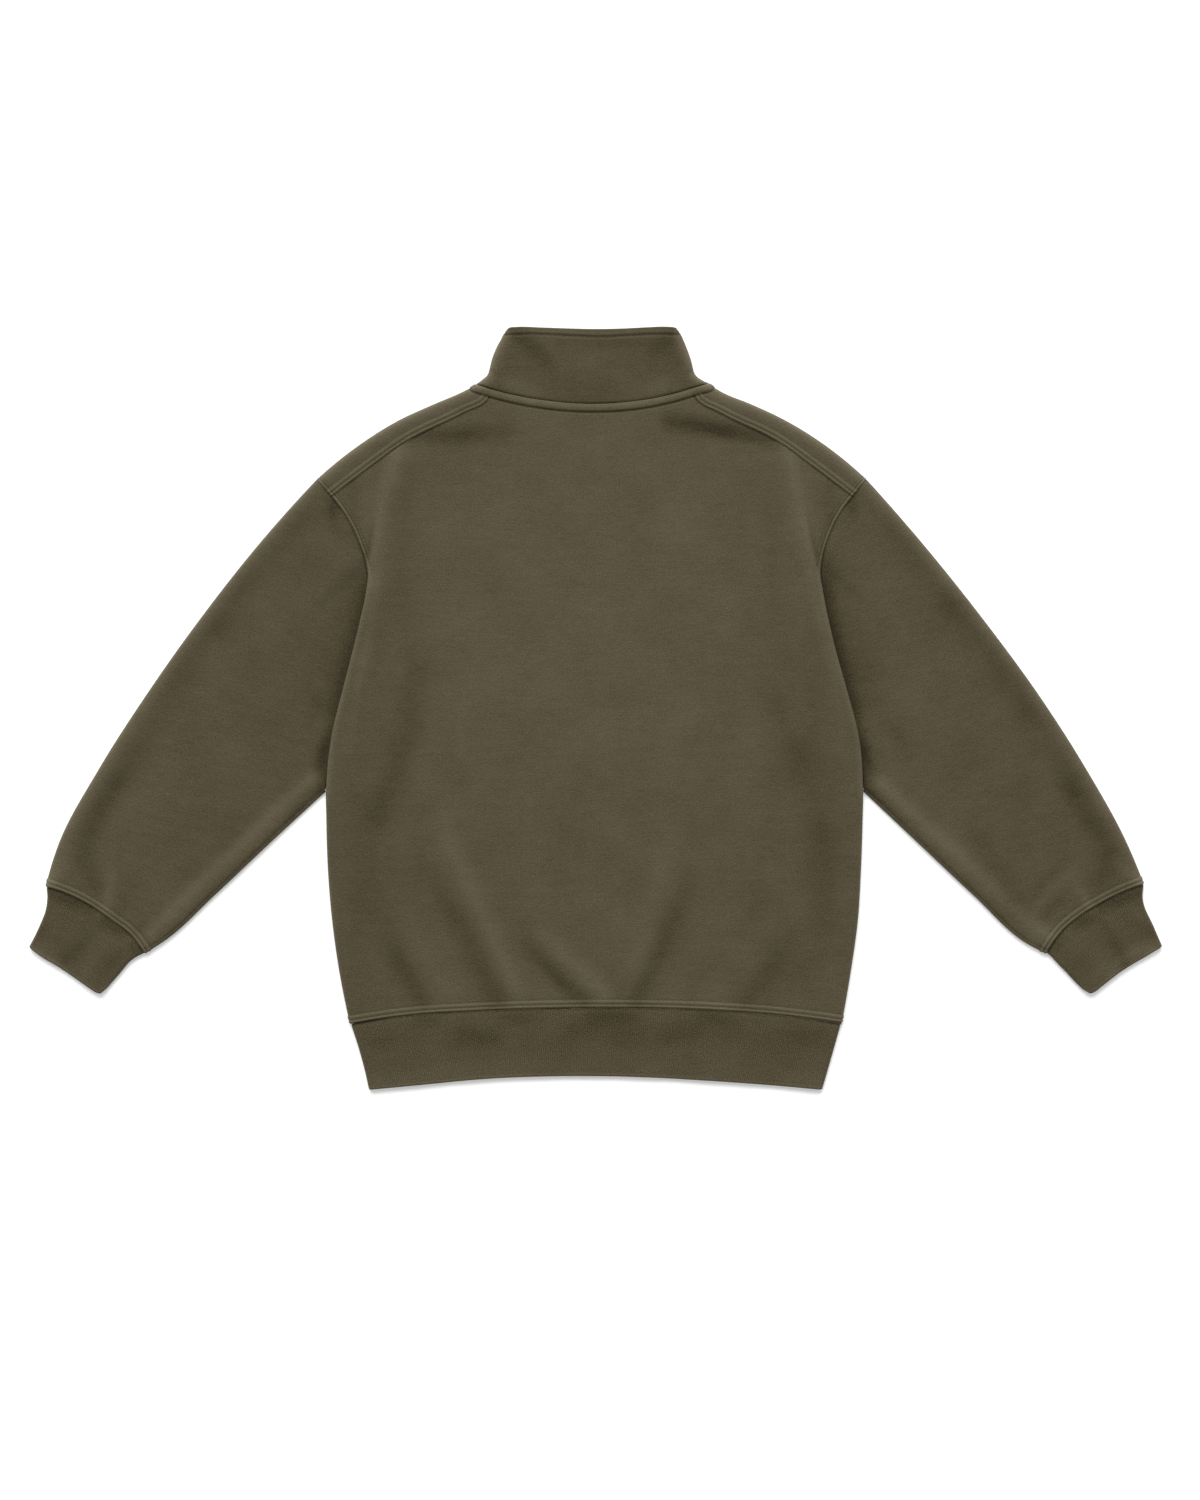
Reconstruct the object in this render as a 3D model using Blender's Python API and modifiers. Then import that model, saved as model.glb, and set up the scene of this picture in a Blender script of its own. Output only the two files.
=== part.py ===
"""Quarter zip sweatshirt with drop shoulders, laid flat on its front.

Every size and table is in millimetres and becomes metres through MM. X runs across
the garment, Y from the hem to the collar, Z up from the surface that it lies on.
"left" and "right" are those of the laid garment as it is looked down on.

Each cloth piece is a grid of points on its outer face, worked out from the plan
curves of its edges and from short tables, and Solidify gives it its wall. The front
lies on the surface at Z = 0 and the back lies on the front. At the folded sides both
roll together, and the front also rolls over the shoulders, where it meets the back.
"""

import math

import bmesh
import bpy
import numpy as np

MM = 0.001
OBJECT = "quarter_zip_sweater"
HELPERS = "helpers"

# Cloth
CLOTH = 2.0  # brushed fleece, one layer
RIB_WALL = 2.5  # rib of cuffs and hem, folded double
COLLAR_WALL = 3.0  # fleece folded double
SEAM_GAP = 0.3
COLLAR_SIDE_GAP = 1.8  # where the collar's thick fold bends out of the neck seam
BODY_HEIGHT = 6.2  # front and back together, away from folds
SLEEVE_HEIGHT = 6.0
SLEEVE_UNDER_BODY = 4.3  # where the body's rolled edge lies over the sleeve
RIB_HEIGHT = 6.8
COLLAR_HEIGHT = 9.2
EDGE_REACH = 28.0  # how far in from a fold the cloth still stands up
SHOULDER_RADIUS = 4.2
COLLAR_RADIUS = 4.8
CUFF_RADIUS = 3.7
HEM_RADIUS = 3.8

# The centre line leans a little towards the left at the collar
CENTRE_AT_HEM = 0.6
CENTRE_LEAN = -0.0061
HEM_Y = -386.0

# The body's edge from shoulder to hem. At the top the back meets the sleeve flat, lower
# down it rolls under on top of the sleeve, and below the armpit it is half a side fold
BODY_SECTIONS = [
    # y, left x, right x, crest height, roll, radius, tail, seam inset
    (222.0, -277.0, 269.5, 6.9, 0, 2.6, 12.0, 0.0),
    (190.0, -255.5, 249.0, 6.7, 0, 2.6, 12.0, 0.0),
    (165.0, -245.5, 240.5, 6.9, 12, 3.0, 9.0, 0.0),
    (143.0, -239.5, 236.5, 8.0, 70, 2.6, 1.5, 0.0),
    (120.0, -241.5, 239.5, 9.6, 130, 2.6, 0.5, 3.0),
    (92.0, -247.5, 245.0, 10.3, 175, 2.6, 4.0, 6.0),
    (60.0, -255.2, 252.7, 10.4, 180, 2.6, 5.0, 7.0),
    (20.0, -265.5, 264.0, 10.4, 180, 2.6, 5.0, 7.0),
    (-32.0, -277.7, 277.0, 10.4, 180, 2.6, 4.0, 6.0),
    (-86.6, -283.0, 281.0, 9.6, 150, 2.4, 0.5, 0.0),
    (-114.0, -282.8, 280.6, 8.9, 90, 4.2, 0.0, 0.0),
    (-170.0, -281.0, 278.8, 8.5, 90, 4.1, 0.0, 0.0),
    (-222.0, -276.7, 275.6, 8.4, 90, 4.0, 0.0, 0.0),
    (-275.0, -269.3, 268.3, 8.4, 90, 4.0, 0.0, 0.0),
    (-331.5, -257.8, 258.4, 8.4, 90, 4.0, 0.0, 0.0),
]
ARMPIT = 9  # its row in BODY_SECTIONS
FLAT_STRIP = 12.0
FRONT_FOLD_RADIUS = 3.4
BODY_MIDDLE = (0.0, -60.0)

# Shoulders, from the sleeve to the neck: the fold, and the seam that lies behind it
SHOULDER_FOLD = {
    "left": [
        (-293.5, 239.9), (-248.3, 276.7), (-206.3, 302.9),
        (-169.6, 319.7), (-140.2, 332.3), (-124.5, 340.5),
    ],
    "right": [
        (285.0, 240.2), (241.0, 276.7), (199.0, 302.9),
        (163.3, 319.7), (132.8, 332.3), (118.0, 341.5),
    ],
}
SHOULDER_SEAM = {
    "left": [
        (-277.0, 222.0), (-235.7, 253.6), (-196.9, 280.9),
        (-139.1, 309.2), (-112.9, 324.0), (-108.5, 335.5),
    ],
    "right": [
        (269.5, 222.0), (228.0, 253.6), (189.5, 280.9),
        (131.5, 309.2), (105.4, 325.0), (101.5, 337.0),
    ],
}
NECK_SEAM = [(-108.5, 335.5), (-55.0, 324.0), (0.0, 320.3), (52.0, 324.5), (101.5, 337.0)]
FRONT_NECK_BENDS = [(-92.0, 303.0), (-54.0, 269.0)]  # left half, measured from the centre line
FRONT_NECK_Y = 258.0
HEM_SEAM = [
    (-257.8, -331.5), (-192.7, -322.0), (-121.3, -317.6), (0.0, -314.5),
    (121.3, -317.0), (192.7, -322.0), (258.4, -330.5),
]

# Sleeves, cuffs, hem rib and collar: their folded edges run away from the body
SLEEVE_OUTER = {
    "left": [
        (-293.5, 239.9), (-354.4, 171.7), (-416.3, 92.9), (-472.0, 14.2),
        (-522.4, -64.6), (-564.4, -143.3), (-577.5, -187.0),
    ],
    "right": [
        (285.0, 240.2), (344.9, 171.7), (407.9, 92.9), (465.7, 14.2),
        (516.1, -64.6), (559.1, -143.3), (576.0, -184.5),
    ],
}
SLEEVE_INNER = {
    "left": [(-283.4, -87.2), (-343.9, -143.3), (-399.5, -195.8), (-454.1, -245.2), (-474.1, -257.5)],
    "right": [(281.4, -87.2), (340.7, -143.3), (396.4, -195.8), (455.2, -248.3), (474.1, -257.5)],
}
CUFF_SEAM = {
    "left": [(-577.5, -187.0), (-536.0, -204.2), (-507.7, -223.1), (-491.9, -234.7), (-474.1, -257.5)],
    "right": [(576.0, -184.5), (529.7, -205.3), (506.6, -220.0), (487.7, -236.8), (474.1, -257.5)],
}
CUFF_OUTER = {
    "left": [(-576.6, -189.5), (-578.5, -209.5), (-595.9, -251.5)],
    "right": [(575.2, -187.0), (576.5, -206.3), (595.4, -250.0)],
}
CUFF_INNER = {
    "left": [(-474.6, -259.8), (-483.5, -265.5), (-515.0, -298.0)],
    "right": [(474.6, -259.8), (482.5, -264.5), (515.5, -298.5)],
}
CUFF_END = {
    "left": [(-595.9, -251.5), (-561.2, -272.5), (-525.0, -298.0), (-515.0, -298.0)],
    "right": [(595.4, -250.0), (546.5, -278.8), (521.0, -299.0), (515.5, -298.5)],
}
SLEEVE_MIDDLE = {"left": (-410.0, -20.0), "right": (410.0, -20.0)}
CUFF_MIDDLE = {"left": (-535.0, -240.0), "right": (535.0, -240.0)}
HEM_LEFT = [(-255.5, -333.5), (-246.2, -365.9), (-238.0, -400.5)]
HEM_RIGHT = [(256.0, -333.0), (248.0, -365.9), (238.0, -400.5)]
HEM_END = [
    (-238.0, -400.5), (-182.2, -395.3), (-121.3, -389.5),
    (7.9, -386.2), (133.9, -392.0), (238.0, -400.5),
]
COLLAR_SIDE = {
    "left": [(-124.9, 341.2), (-112.0, 352.0), (-107.6, 370.1), (-97.5, 395.0)],
    "right": [(118.4, 342.3), (103.8, 352.0), (99.2, 370.1), (90.0, 395.0)],
}
COLLAR_TOP = [(-97.5, 395.0), (-84.5, 400.4), (1.6, 398.3), (67.7, 401.0), (90.0, 395.0)]
COLLAR_FRONT_BENDS = [(-77.0, 374.0), (-41.0, 354.0)]  # left half of its top, from the centre line
COLLAR_FRONT_Y = 347.0
COLLAR_MIDDLE_Y = 365.0
HEM_MIDDLE = (0.0, -365.0)

# How the layers below lift the cloth that lies on them
NECK_RISE = 2.4  # the neck's doubled seams under the top of the back
NECK_RISE_SPREAD = 110.0
NECK_RISE_FROM = 190.0
NECK_RISE_FULL = 325.0
SHOULDER_RISE = 0.6
SHOULDER_RISE_SPREAD = 40.0
HUMP_RISE = 1.5  # over the slider
HUMP_SPREAD = (32.0, 34.0)
HUMP_MIDDLE = 340.0
COLLAR_LIFT = 1.0  # the collar's front lies on the slider
COLLAR_LIFT_FROM = 268.0
COLLAR_LIFT_FULL = 325.0
COLLAR_LIFT_SPREAD = 45.0

# The largest folds of the top layer: ridges have a positive rise, troughs a negative
FOLDS = [
    # x0, y0, x1, y1, half width, rise
    (-168, 299, -96, 291, 13, -0.9),
    (92, 298, 178, 291, 13, -0.9),
    (-214, 268, -230, 160, 13, 0.9),
    (192, 268, 226, 160, 13, 0.9),
    (-190, -8, -228, -125, 17, -1.0),
    (-160, -195, -101, -300, 11, -1.3),
    (-168, -112, -86, -290, 12, 0.9),
    (-200, -278, -180, -306, 9, -0.9),
    (-62, -264, -20, -297, 10, -1.5),
    (94, -200, 38, -300, 11, -1.3),
    (78, -160, 26, -285, 12, 0.8),
    (199, -259, 157, -306, 10, -1.1),
    (174, 4, 242, -100, 16, -0.9),
]

# Zip
SLIT_HALF = 5.0
SLIT_FOOT = 58.0
TAPE_NEAR = 2.95
TAPE_HALF = 14.0
TAPE_THICK = 0.5
TAPE_FOOT_RUN = 16.0
TEETH_HALF = 2.5
TEETH_THICK = 2.0
TEETH_NEAR = 0.15
TEETH_FOOT = 72.0
TEETH_PARTING = 0.9  # how far the slider's wedge opens each side
ZIP_LEVEL = 2.55  # middle of the tape over the front panel
NECK_LIFT = 1.15  # the tape rises over the thicker collar
NECK_LIFT_FROM = 212.0
NECK_LIFT_FULL = 256.0
ZIP_LIFT_FROM = 262.0  # and again in the collar, up to the slider
ZIP_TOP = 346.0
STOP_LENGTH = 2.4
STOP_NEAR = 0.35  # from the zip's centre line
STOP_HALF_THICK = 1.0
BOTTOM_STOP_LENGTH = 3.0
SLIDER_MIDDLE = 336.0
SLIDER_LENGTH = 11.0
SLIDER_WIDTH = 9.0
SLIDER_PLATE = 0.9
SLIDER_MOUTH = 1.35  # from the middle of the tape to each plate
SLIDER_OVERLAP = 0.3  # how far joined boxes run into each other
WEDGE_HALF = 0.6
WEDGE_LENGTH = 2.4
FLANGE_WALL = 0.6
FLANGE_INSET = 0.1  # joined boxes share no face
TAPE_SLOT = 0.65
TAB_THICK = 1.0
TAB_LENGTH = 26.0
TAB_WIDTH = 7.0
TAB_HOLE_HALF = 1.5
TAB_HOLE_LENGTH = 2.9
BAIL_HALF = 0.75
BAIL_REACH = 2.6  # from the hinge to each foot's outer face
BAIL_WALL = 0.7
BAIL_LOWEST = 0.1
BAIL_OVERHANG = 0.05
HINGE_Y = 335.0
HINGE_Z = 1.62

FLEECE = ((0.092, 0.076, 0.044, 1.0), 0.95, 0.0)
RIB_KNIT = ((0.080, 0.066, 0.038, 1.0), 0.95, 0.0)
TAPE_WEAVE = ((0.060, 0.050, 0.030, 1.0), 0.9, 0.0)
ZIP_METAL = ((0.33, 0.27, 0.17, 1.0), 0.35, 1.0)

SIGN = {"left": -1.0, "right": 1.0}
STRIP_SHARES = np.array([0.0, 0.15, 0.3, 0.45, 0.62, 0.8, 1.0])
BEHIND_FOLD_SHARES = (0.35, 0.7, 1.0)
SHOULDER_SPANS = 5
NECK_SPANS = 7
HALF_TURN = np.linspace(0.0, math.pi, 5)


# ---------------------------------------------------------------- plan curves and heights


def eased(value, low, high):
    """Share of the way from low to high, eased at both ends; low may be the larger."""
    share = np.clip((np.asarray(value, float) - low) / (high - low), 0.0, 1.0)
    return share * share * (3.0 - 2.0 * share)


def centre_x(y):
    return CENTRE_AT_HEM + CENTRE_LEAN * (y - HEM_Y)


def chord_shares(points):
    """Each point's share of the length along its row."""
    run = np.r_[0.0, np.cumsum(np.linalg.norm(np.diff(points, axis=0), axis=1))]
    return run / run[-1]


def row_normals(points, away_from):
    """Unit normals of a row of plan points, on the side away from a plan point."""
    tangent = np.gradient(points, chord_shares(points), axis=0)
    normal = np.column_stack([tangent[:, 1], -tangent[:, 0]])
    normal /= np.linalg.norm(normal, axis=1, keepdims=True)
    facing = np.sum(normal * (points - np.array(away_from)), axis=1)
    return np.where(facing[:, None] < 0.0, -normal, normal)


class Curve:
    """A smooth plan curve through a few points, read by its share of length."""

    FINENESS = 24

    def __init__(self, points):
        knots = np.array(points, float)
        chord = np.r_[0.0, np.cumsum(np.linalg.norm(np.diff(knots, axis=0), axis=1))]
        slope = np.gradient(knots, chord, axis=0, edge_order=2 if len(knots) > 2 else 1)
        at = np.linspace(0.0, chord[-1], self.FINENESS * (len(knots) - 1) + 1)
        span = np.clip(np.searchsorted(chord, at, side="right") - 1, 0, len(knots) - 2)
        width = (chord[span + 1] - chord[span])[:, None]
        t = (at - chord[span])[:, None] / width
        self.line = (
            (2 * t**3 - 3 * t**2 + 1) * knots[span]
            + (t**3 - 2 * t**2 + t) * width * slope[span]
            + (3 * t**2 - 2 * t**3) * knots[span + 1]
            + (t**3 - t**2) * width * slope[span + 1]
        )
        self.share = chord_shares(self.line)
        self.length = float(np.linalg.norm(np.diff(self.line, axis=0), axis=1).sum())

    def at(self, share):
        return np.column_stack([np.interp(share, self.share, self.line[:, k]) for k in (0, 1)])

    def y_at(self, x):
        """Height in plan where the curve, which runs from left to right, crosses x."""
        return np.interp(x, self.line[:, 0], self.line[:, 1])


class FoldEdge:
    """A folded edge row by row: outermost plan points, outward normals and fold radii."""

    def __init__(self, points, shares, inside, radii, first=None):
        self.points = Curve(points).at(shares)
        self.normals = row_normals(self.points, inside)
        self.radii = np.interp(shares, np.linspace(0.0, 1.0, len(radii)), radii)[:, None]
        self.crests = self.points - self.normals * self.radii
        if first is not None:
            self.crests[0], self.normals[0] = first
            self.points[0] = self.crests[0] + self.normals[0] * self.radii[0]

    def half_turn(self):
        """The fold's sheet, from the top of its crests round to the bottom."""
        out = self.normals[:, None] * self.radii[:, None] * np.sin(HALF_TURN)[None, :, None]
        height = self.radii * (1.0 + np.cos(HALF_TURN))
        return np.dstack([self.crests[:, None] + out, height])


def coons(top, bottom, left, right):
    """Plan points between four rows, spaced as the top and the left row are."""
    t = chord_shares(left)[:, None, None]
    s = chord_shares(top)[None, :, None]
    top = top + (1 - s[0]) * (left[0] - top[0]) + s[0] * (right[0] - top[-1])
    bottom = bottom + (1 - s[0]) * (left[-1] - bottom[0]) + s[0] * (right[-1] - bottom[-1])
    across = (1 - s) * left[:, None] + s * right[:, None]
    down = (1 - t) * top[None] + t * bottom[None]
    corners = (1 - t) * ((1 - s) * top[0] + s * top[-1]) + t * ((1 - s) * bottom[0] + s * bottom[-1])
    return across + down - corners


def fold_rise(x, y):
    """Height that the ridges and troughs add at plan points."""
    total = np.zeros(np.shape(x))
    for x0, y0, x1, y1, half, rise in FOLDS:
        length = math.hypot(x1 - x0, y1 - y0)
        ux, uy = (x1 - x0) / length, (y1 - y0) / length
        run = (x - x0) * ux + (y - y0) * uy
        side = (x - x0) * uy - (y - y0) * ux
        past_end = np.maximum(np.maximum(-run, run - length), 0.0)
        total = total + rise * np.exp(-((past_end / (1.2 * half)) ** 2) - (side / half) ** 2)
    return total


def body_height(x, y, from_seam):
    """Top of the back away from its edges; from_seam is the distance below its top edge."""
    across = np.exp(-(((x - centre_x(y)) / NECK_RISE_SPREAD) ** 2))
    neck = NECK_RISE * across * eased(y, NECK_RISE_FROM, NECK_RISE_FULL)
    shoulder = SHOULDER_RISE * np.exp(-((from_seam / SHOULDER_RISE_SPREAD) ** 2))
    return BODY_HEIGHT + neck + shoulder


def collar_height(x, y):
    """Top of the collar's back, with a soft hump where the slider lies under it."""
    across = (x - centre_x(y)) / HUMP_SPREAD[0]
    along = (y - HUMP_MIDDLE) / HUMP_SPREAD[1]
    return COLLAR_HEIGHT + HUMP_RISE * np.exp(-(across**2) - along**2)


def collar_lift(x, y):
    """How far the slider holds the collar's front off the surface."""
    across = np.exp(-(((x - centre_x(y)) / COLLAR_LIFT_SPREAD) ** 2))
    return COLLAR_LIFT * eased(y, COLLAR_LIFT_FROM, COLLAR_LIFT_FULL) * across


def zip_level(y):
    """Height of the middle of the zip's tape."""
    at_neck = NECK_LIFT * eased(y, NECK_LIFT_FROM, NECK_LIFT_FULL)
    in_collar = COLLAR_LIFT * eased(y, ZIP_LIFT_FROM, COLLAR_LIFT_FULL)
    return ZIP_LEVEL + at_neck + in_collar


def level_height(height):
    """A height function that is the same all over."""
    return lambda x, y: np.full(np.shape(x), height)


# ---------------------------------------------------------------- building helpers


def collection_for(name):
    found = bpy.data.collections.get(name)
    if found is None:
        found = bpy.data.collections.new(name)
        bpy.context.scene.collection.children.link(found)
    return found


def material_for(name, finish):
    colour, roughness, metallic = finish
    material = bpy.data.materials.new(name + "_finish")
    material.use_nodes = True
    shader = material.node_tree.nodes["Principled BSDF"]
    shader.inputs["Base Color"].default_value = colour
    shader.inputs["Roughness"].default_value = roughness
    shader.inputs["Metallic"].default_value = metallic
    material.diffuse_color = colour
    return material


def object_from(name, mesh, finish, collection=OBJECT):
    data = bpy.data.meshes.new(name)
    mesh.to_mesh(data)
    mesh.free()
    data.materials.append(material_for(name, finish))
    result = bpy.data.objects.new(name, data)
    collection_for(collection).objects.link(result)
    return result


def add_sheet(mesh, points):
    """A grid primitive laid onto rows of 3-D points in millimetres."""
    rows, cols = points.shape[:2]
    made = bmesh.ops.create_grid(mesh, x_segments=cols - 1, y_segments=rows - 1, size=0.5)
    for vert in made["verts"]:
        col = round((vert.co.x + 0.5) * (cols - 1))
        row = round((vert.co.y + 0.5) * (rows - 1))
        vert.co = points[row, col] * MM


def walled(name, sheets, wall, finish):
    """One piece: sheets of outer points welded where they meet, with a wall inwards."""
    mesh = bmesh.new()
    for points in sheets:
        add_sheet(mesh, points)
    bmesh.ops.remove_doubles(mesh, verts=mesh.verts, dist=0.02 * MM)
    bmesh.ops.recalc_face_normals(mesh, faces=mesh.faces)
    mesh.normal_update()
    highest = max(mesh.faces, key=lambda face: face.calc_center_median().z)
    if highest.normal.z < 0.0:
        bmesh.ops.reverse_faces(mesh, faces=mesh.faces)
    result = object_from(name, mesh, finish)
    result.data.shade_smooth()
    shell = result.modifiers.new("Wall", "SOLIDIFY")
    shell.thickness = wall * MM
    shell.offset = -1.0
    return result


# ---------------------------------------------------------------- body


def edge_points(side):
    """The body's visible edge and its outward normals, at each of BODY_SECTIONS."""
    column = 1 if side == "left" else 2
    points = np.array([(row[column], row[0]) for row in BODY_SECTIONS])
    return points, row_normals(points, BODY_MIDDLE)


def armhole_points(side):
    """The armhole seam from shoulder to armpit, which runs under the back's roll."""
    points, normals = edge_points(side)
    inset = np.array([row[7] for row in BODY_SECTIONS])[:, None]
    last = ARMPIT + 1
    return (points - normals * inset)[:last], normals[:last]


class Shoulder:
    """Where the front rolls over one shoulder, from the sleeve to the neck."""

    def __init__(self, side):
        fold, seam = Curve(SHOULDER_FOLD[side]), Curve(SHOULDER_SEAM[side])
        strip = FLAT_STRIP / fold.length
        shares = np.r_[strip * (1.0 - STRIP_SHARES[::-1]), np.linspace(strip, 1.0, SHOULDER_SPANS + 1)[1:]]
        self.fold, self.seam = fold.at(shares), seam.at(shares)
        depth = self.fold - self.seam
        self.outward = depth / np.linalg.norm(depth, axis=1, keepdims=True)
        self.foot = self.fold - self.outward * SHOULDER_RADIUS
        self.strip_spans = len(STRIP_SHARES) - 1

    def along(self, index):
        """Unit direction across the fold's normal at one of its ends, away from its middle."""
        normal = self.outward[index]
        tangent = np.array([normal[1], -normal[0]])
        return tangent if tangent @ (self.fold[index] - self.fold[len(self.fold) // 2]) > 0 else -tangent

    def wrap_sheet(self):
        """The front's cloth from its foot on the surface, over the fold, back to the seam."""
        rows = []
        for turn in HALF_TURN:
            plan = self.foot + self.outward * SHOULDER_RADIUS * math.sin(turn)
            height = np.full(len(plan), SHOULDER_RADIUS * (1.0 - math.cos(turn)))
            rows.append(np.column_stack([plan, height]))
        seam_z = body_height(self.seam[:, 0], self.seam[:, 1], 0.0)
        stop = self.seam + self.outward * SEAM_GAP
        for share in BEHIND_FOLD_SHARES:
            height = 2 * SHOULDER_RADIUS + (seam_z - 2 * SHOULDER_RADIUS) * eased(share, 0.0, 1.0)
            rows.append(np.column_stack([self.foot + (stop - self.foot) * share, height]))
        return np.array(rows)


def rolled_strip(crest, normal, roll, radius, tail):
    """Plan points and drops outside one crest, for cloth that rolls and then runs straight."""
    arc = radius * roll
    run = STRIP_SHARES * (arc + tail)
    turned = np.minimum(run, arc) / radius
    straight = np.maximum(run - arc, 0.0)
    out = radius * np.sin(turned) + straight * math.cos(roll)
    drop = radius * (1.0 - np.cos(turned)) + straight * math.sin(roll)
    return crest + normal * out[:, None], drop


def roll_reach(roll, radius, tail):
    """How far the rolled cloth stands out past its crest."""
    if roll >= math.pi / 2:
        return radius
    return radius * math.sin(roll) + tail * math.cos(roll)


def back_edge(side, shoulder):
    """Crests, strips and crest heights of the back's edge."""
    points, normals = edge_points(side)
    crests, strips, drops = [], [], []
    for point, normal, row in zip(points, normals, BODY_SECTIONS):
        roll, radius, tail = math.radians(row[4]), row[5], row[6]
        crest = point - normal * roll_reach(roll, radius, tail)
        plan, drop = rolled_strip(crest, normal, roll, radius, tail)
        crests.append(crest)
        strips.append(plan)
        drops.append(drop)
    on_seam = shoulder.seam - shoulder.outward * SEAM_GAP
    strips[0] = on_seam[: shoulder.strip_spans + 1][::-1]
    crests[0] = strips[0][0]
    return np.array(crests), np.array(strips), np.array(drops)


def neck_row():
    """The back neck seam from shoulder seam to shoulder seam."""
    return Curve(NECK_SEAM).at(np.linspace(0.0, 1.0, NECK_SPANS + 1))


def hem_row(x):
    return np.column_stack([x, Curve(HEM_SEAM).y_at(x)])


def back_sheets(shoulders):
    edges = {side: back_edge(side, shoulders[side]) for side in SIGN}
    tops = {side: (s.seam - s.outward * SEAM_GAP)[s.strip_spans:] for side, s in shoulders.items()}
    neck = neck_row() - (0.0, SEAM_GAP)
    top = np.vstack([tops["left"][:-1], neck, tops["right"][::-1][1:]])
    left, right = edges["left"][0], edges["right"][0]
    hem = hem_row(left[-1][0] + chord_shares(top) * (right[-1][0] - left[-1][0]))
    plan = coons(top, hem, left, right)
    x, y = plan[..., 0], plan[..., 1]
    from_seam = np.linalg.norm(plan - plan[:1], axis=-1)
    height = body_height(x, y, from_seam)
    crest_height = np.array([row[3] for row in BODY_SECTIONS])
    stands = {col: crest_height - height[:, col] for col in (0, -1)}
    height = height + fold_rise(x, y)
    for col, stand in stands.items():
        distance = np.linalg.norm(plan - plan[:, col][:, None], axis=-1)
        height = height + stand[:, None] * np.exp(-((distance / EDGE_REACH) ** 2))
    sheets = [np.dstack([plan, height])]
    for side, col in (("left", 0), ("right", -1)):
        _, strips, drops = edges[side]
        sheets.append(np.dstack([strips, height[:, col][:, None] - drops]))
    return sheets


def front_neck_row(side, shoulders):
    """The front neck seam from the shoulder's foot down to the slit."""
    sign = SIGN[side]
    bends = [(centre_x(y) - sign * x, y) for x, y in FRONT_NECK_BENDS]
    stop = (centre_x(FRONT_NECK_Y) + sign * SLIT_HALF, FRONT_NECK_Y)
    return Curve([tuple(shoulders[side].foot[-1]), *bends, stop]).at(np.linspace(0.0, 1.0, 5))


def front_edge(side, shoulder):
    """Crests and strips of the front's edge: flat at the armhole, rolled up below it."""
    seam, seam_normals = armhole_points(side)
    points, normals = edge_points(side)
    seam = np.vstack([shoulder.foot[:1], seam])
    seam_normals = np.vstack([seam_normals[:1], seam_normals])
    on_surface = np.zeros(len(STRIP_SHARES))
    crests, strips = [], []
    for point, normal in zip(seam, seam_normals):
        plan = point - normal * (FLAT_STRIP * (1.0 - STRIP_SHARES))[:, None]
        crests.append(plan[0])
        strips.append(np.column_stack([plan, on_surface]))
    for point, normal in zip(points[ARMPIT + 1:], normals[ARMPIT + 1:]):
        crest = point - normal * FRONT_FOLD_RADIUS
        plan, rise = rolled_strip(crest, normal, math.pi / 2, FRONT_FOLD_RADIUS, 0.0)
        crests.append(crest)
        strips.append(np.column_stack([plan, rise]))
    foot = shoulder.foot[: shoulder.strip_spans + 1][::-1]
    strips[0] = np.column_stack([foot, on_surface])
    crests[0] = foot[0]
    return np.array(crests), np.array(strips)


def front_sheets(shoulders):
    edges = {side: front_edge(side, shoulders[side]) for side in SIGN}
    halves = {
        side: np.vstack([s.foot[s.strip_spans:], front_neck_row(side, shoulders)[1:]])
        for side, s in shoulders.items()
    }
    top = np.vstack([halves["left"], halves["right"][::-1]])
    half = len(halves["left"])
    left, right = edges["left"][0], edges["right"][0]
    middle = centre_x(HEM_Y)
    left_half = np.linspace(left[-1][0], middle - SLIT_HALF, half)
    hem_x = np.r_[left_half, np.linspace(middle + SLIT_HALF, right[-1][0], half)]
    plan = coons(top, hem_row(hem_x), left, right)
    for col, sign in ((half - 1, -1.0), (half, 1.0)):
        plan[:, col, 0] = centre_x(plan[:, col, 1]) + sign * SLIT_HALF
    foot_row = int(np.argmin(np.abs(plan[:, half, 1] - SLIT_FOOT)))
    plan[foot_row, half - 1: half + 1, 1] = SLIT_FOOT
    main = np.dstack([plan, np.zeros(plan.shape[:2])])
    sheets = [main[foot_row:], main[: foot_row + 1, :half], main[: foot_row + 1, half:]]
    sheets += [edges["left"][1], edges["right"][1]]
    sheets += [shoulder.wrap_sheet() for shoulder in shoulders.values()]
    return sheets


# ---------------------------------------------------------------- flattened tubes


def top_sheet(start, end, edge_a, edge_b, height, start_height=None):
    """The upper layer of a flattened tube, which stands up to the folds at its edges."""
    plan = coons(start, end, edge_a.crests, edge_b.crests)
    z = height(plan[..., 0], plan[..., 1])
    if start_height is not None:
        share = eased(chord_shares(edge_a.crests), 0.0, 0.35)[:, None]
        z = start_height[None] * (1.0 - share) + z * share
    rise = np.zeros_like(z)
    for edge, col in ((edge_a, 0), (edge_b, -1)):
        distance = np.linalg.norm(plan - edge.crests[:, None], axis=-1)
        stand = 2 * edge.radii[:, 0] - z[:, col]
        rise = rise + stand[:, None] * np.exp(-((distance / EDGE_REACH) ** 2))
    if start_height is not None:
        rise[0] = 0.0
    z = z + rise
    z[:, 0], z[:, -1] = 2 * edge_a.radii[:, 0], 2 * edge_b.radii[:, 0]
    return np.dstack([plan, z])


def bottom_sheet(start, end, edge_a, edge_b):
    """The lower layer of a flattened tube, on the surface."""
    plan = coons(start, end, edge_a.crests, edge_b.crests)
    return np.dstack([plan, np.zeros(plan.shape[:2])])


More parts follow.
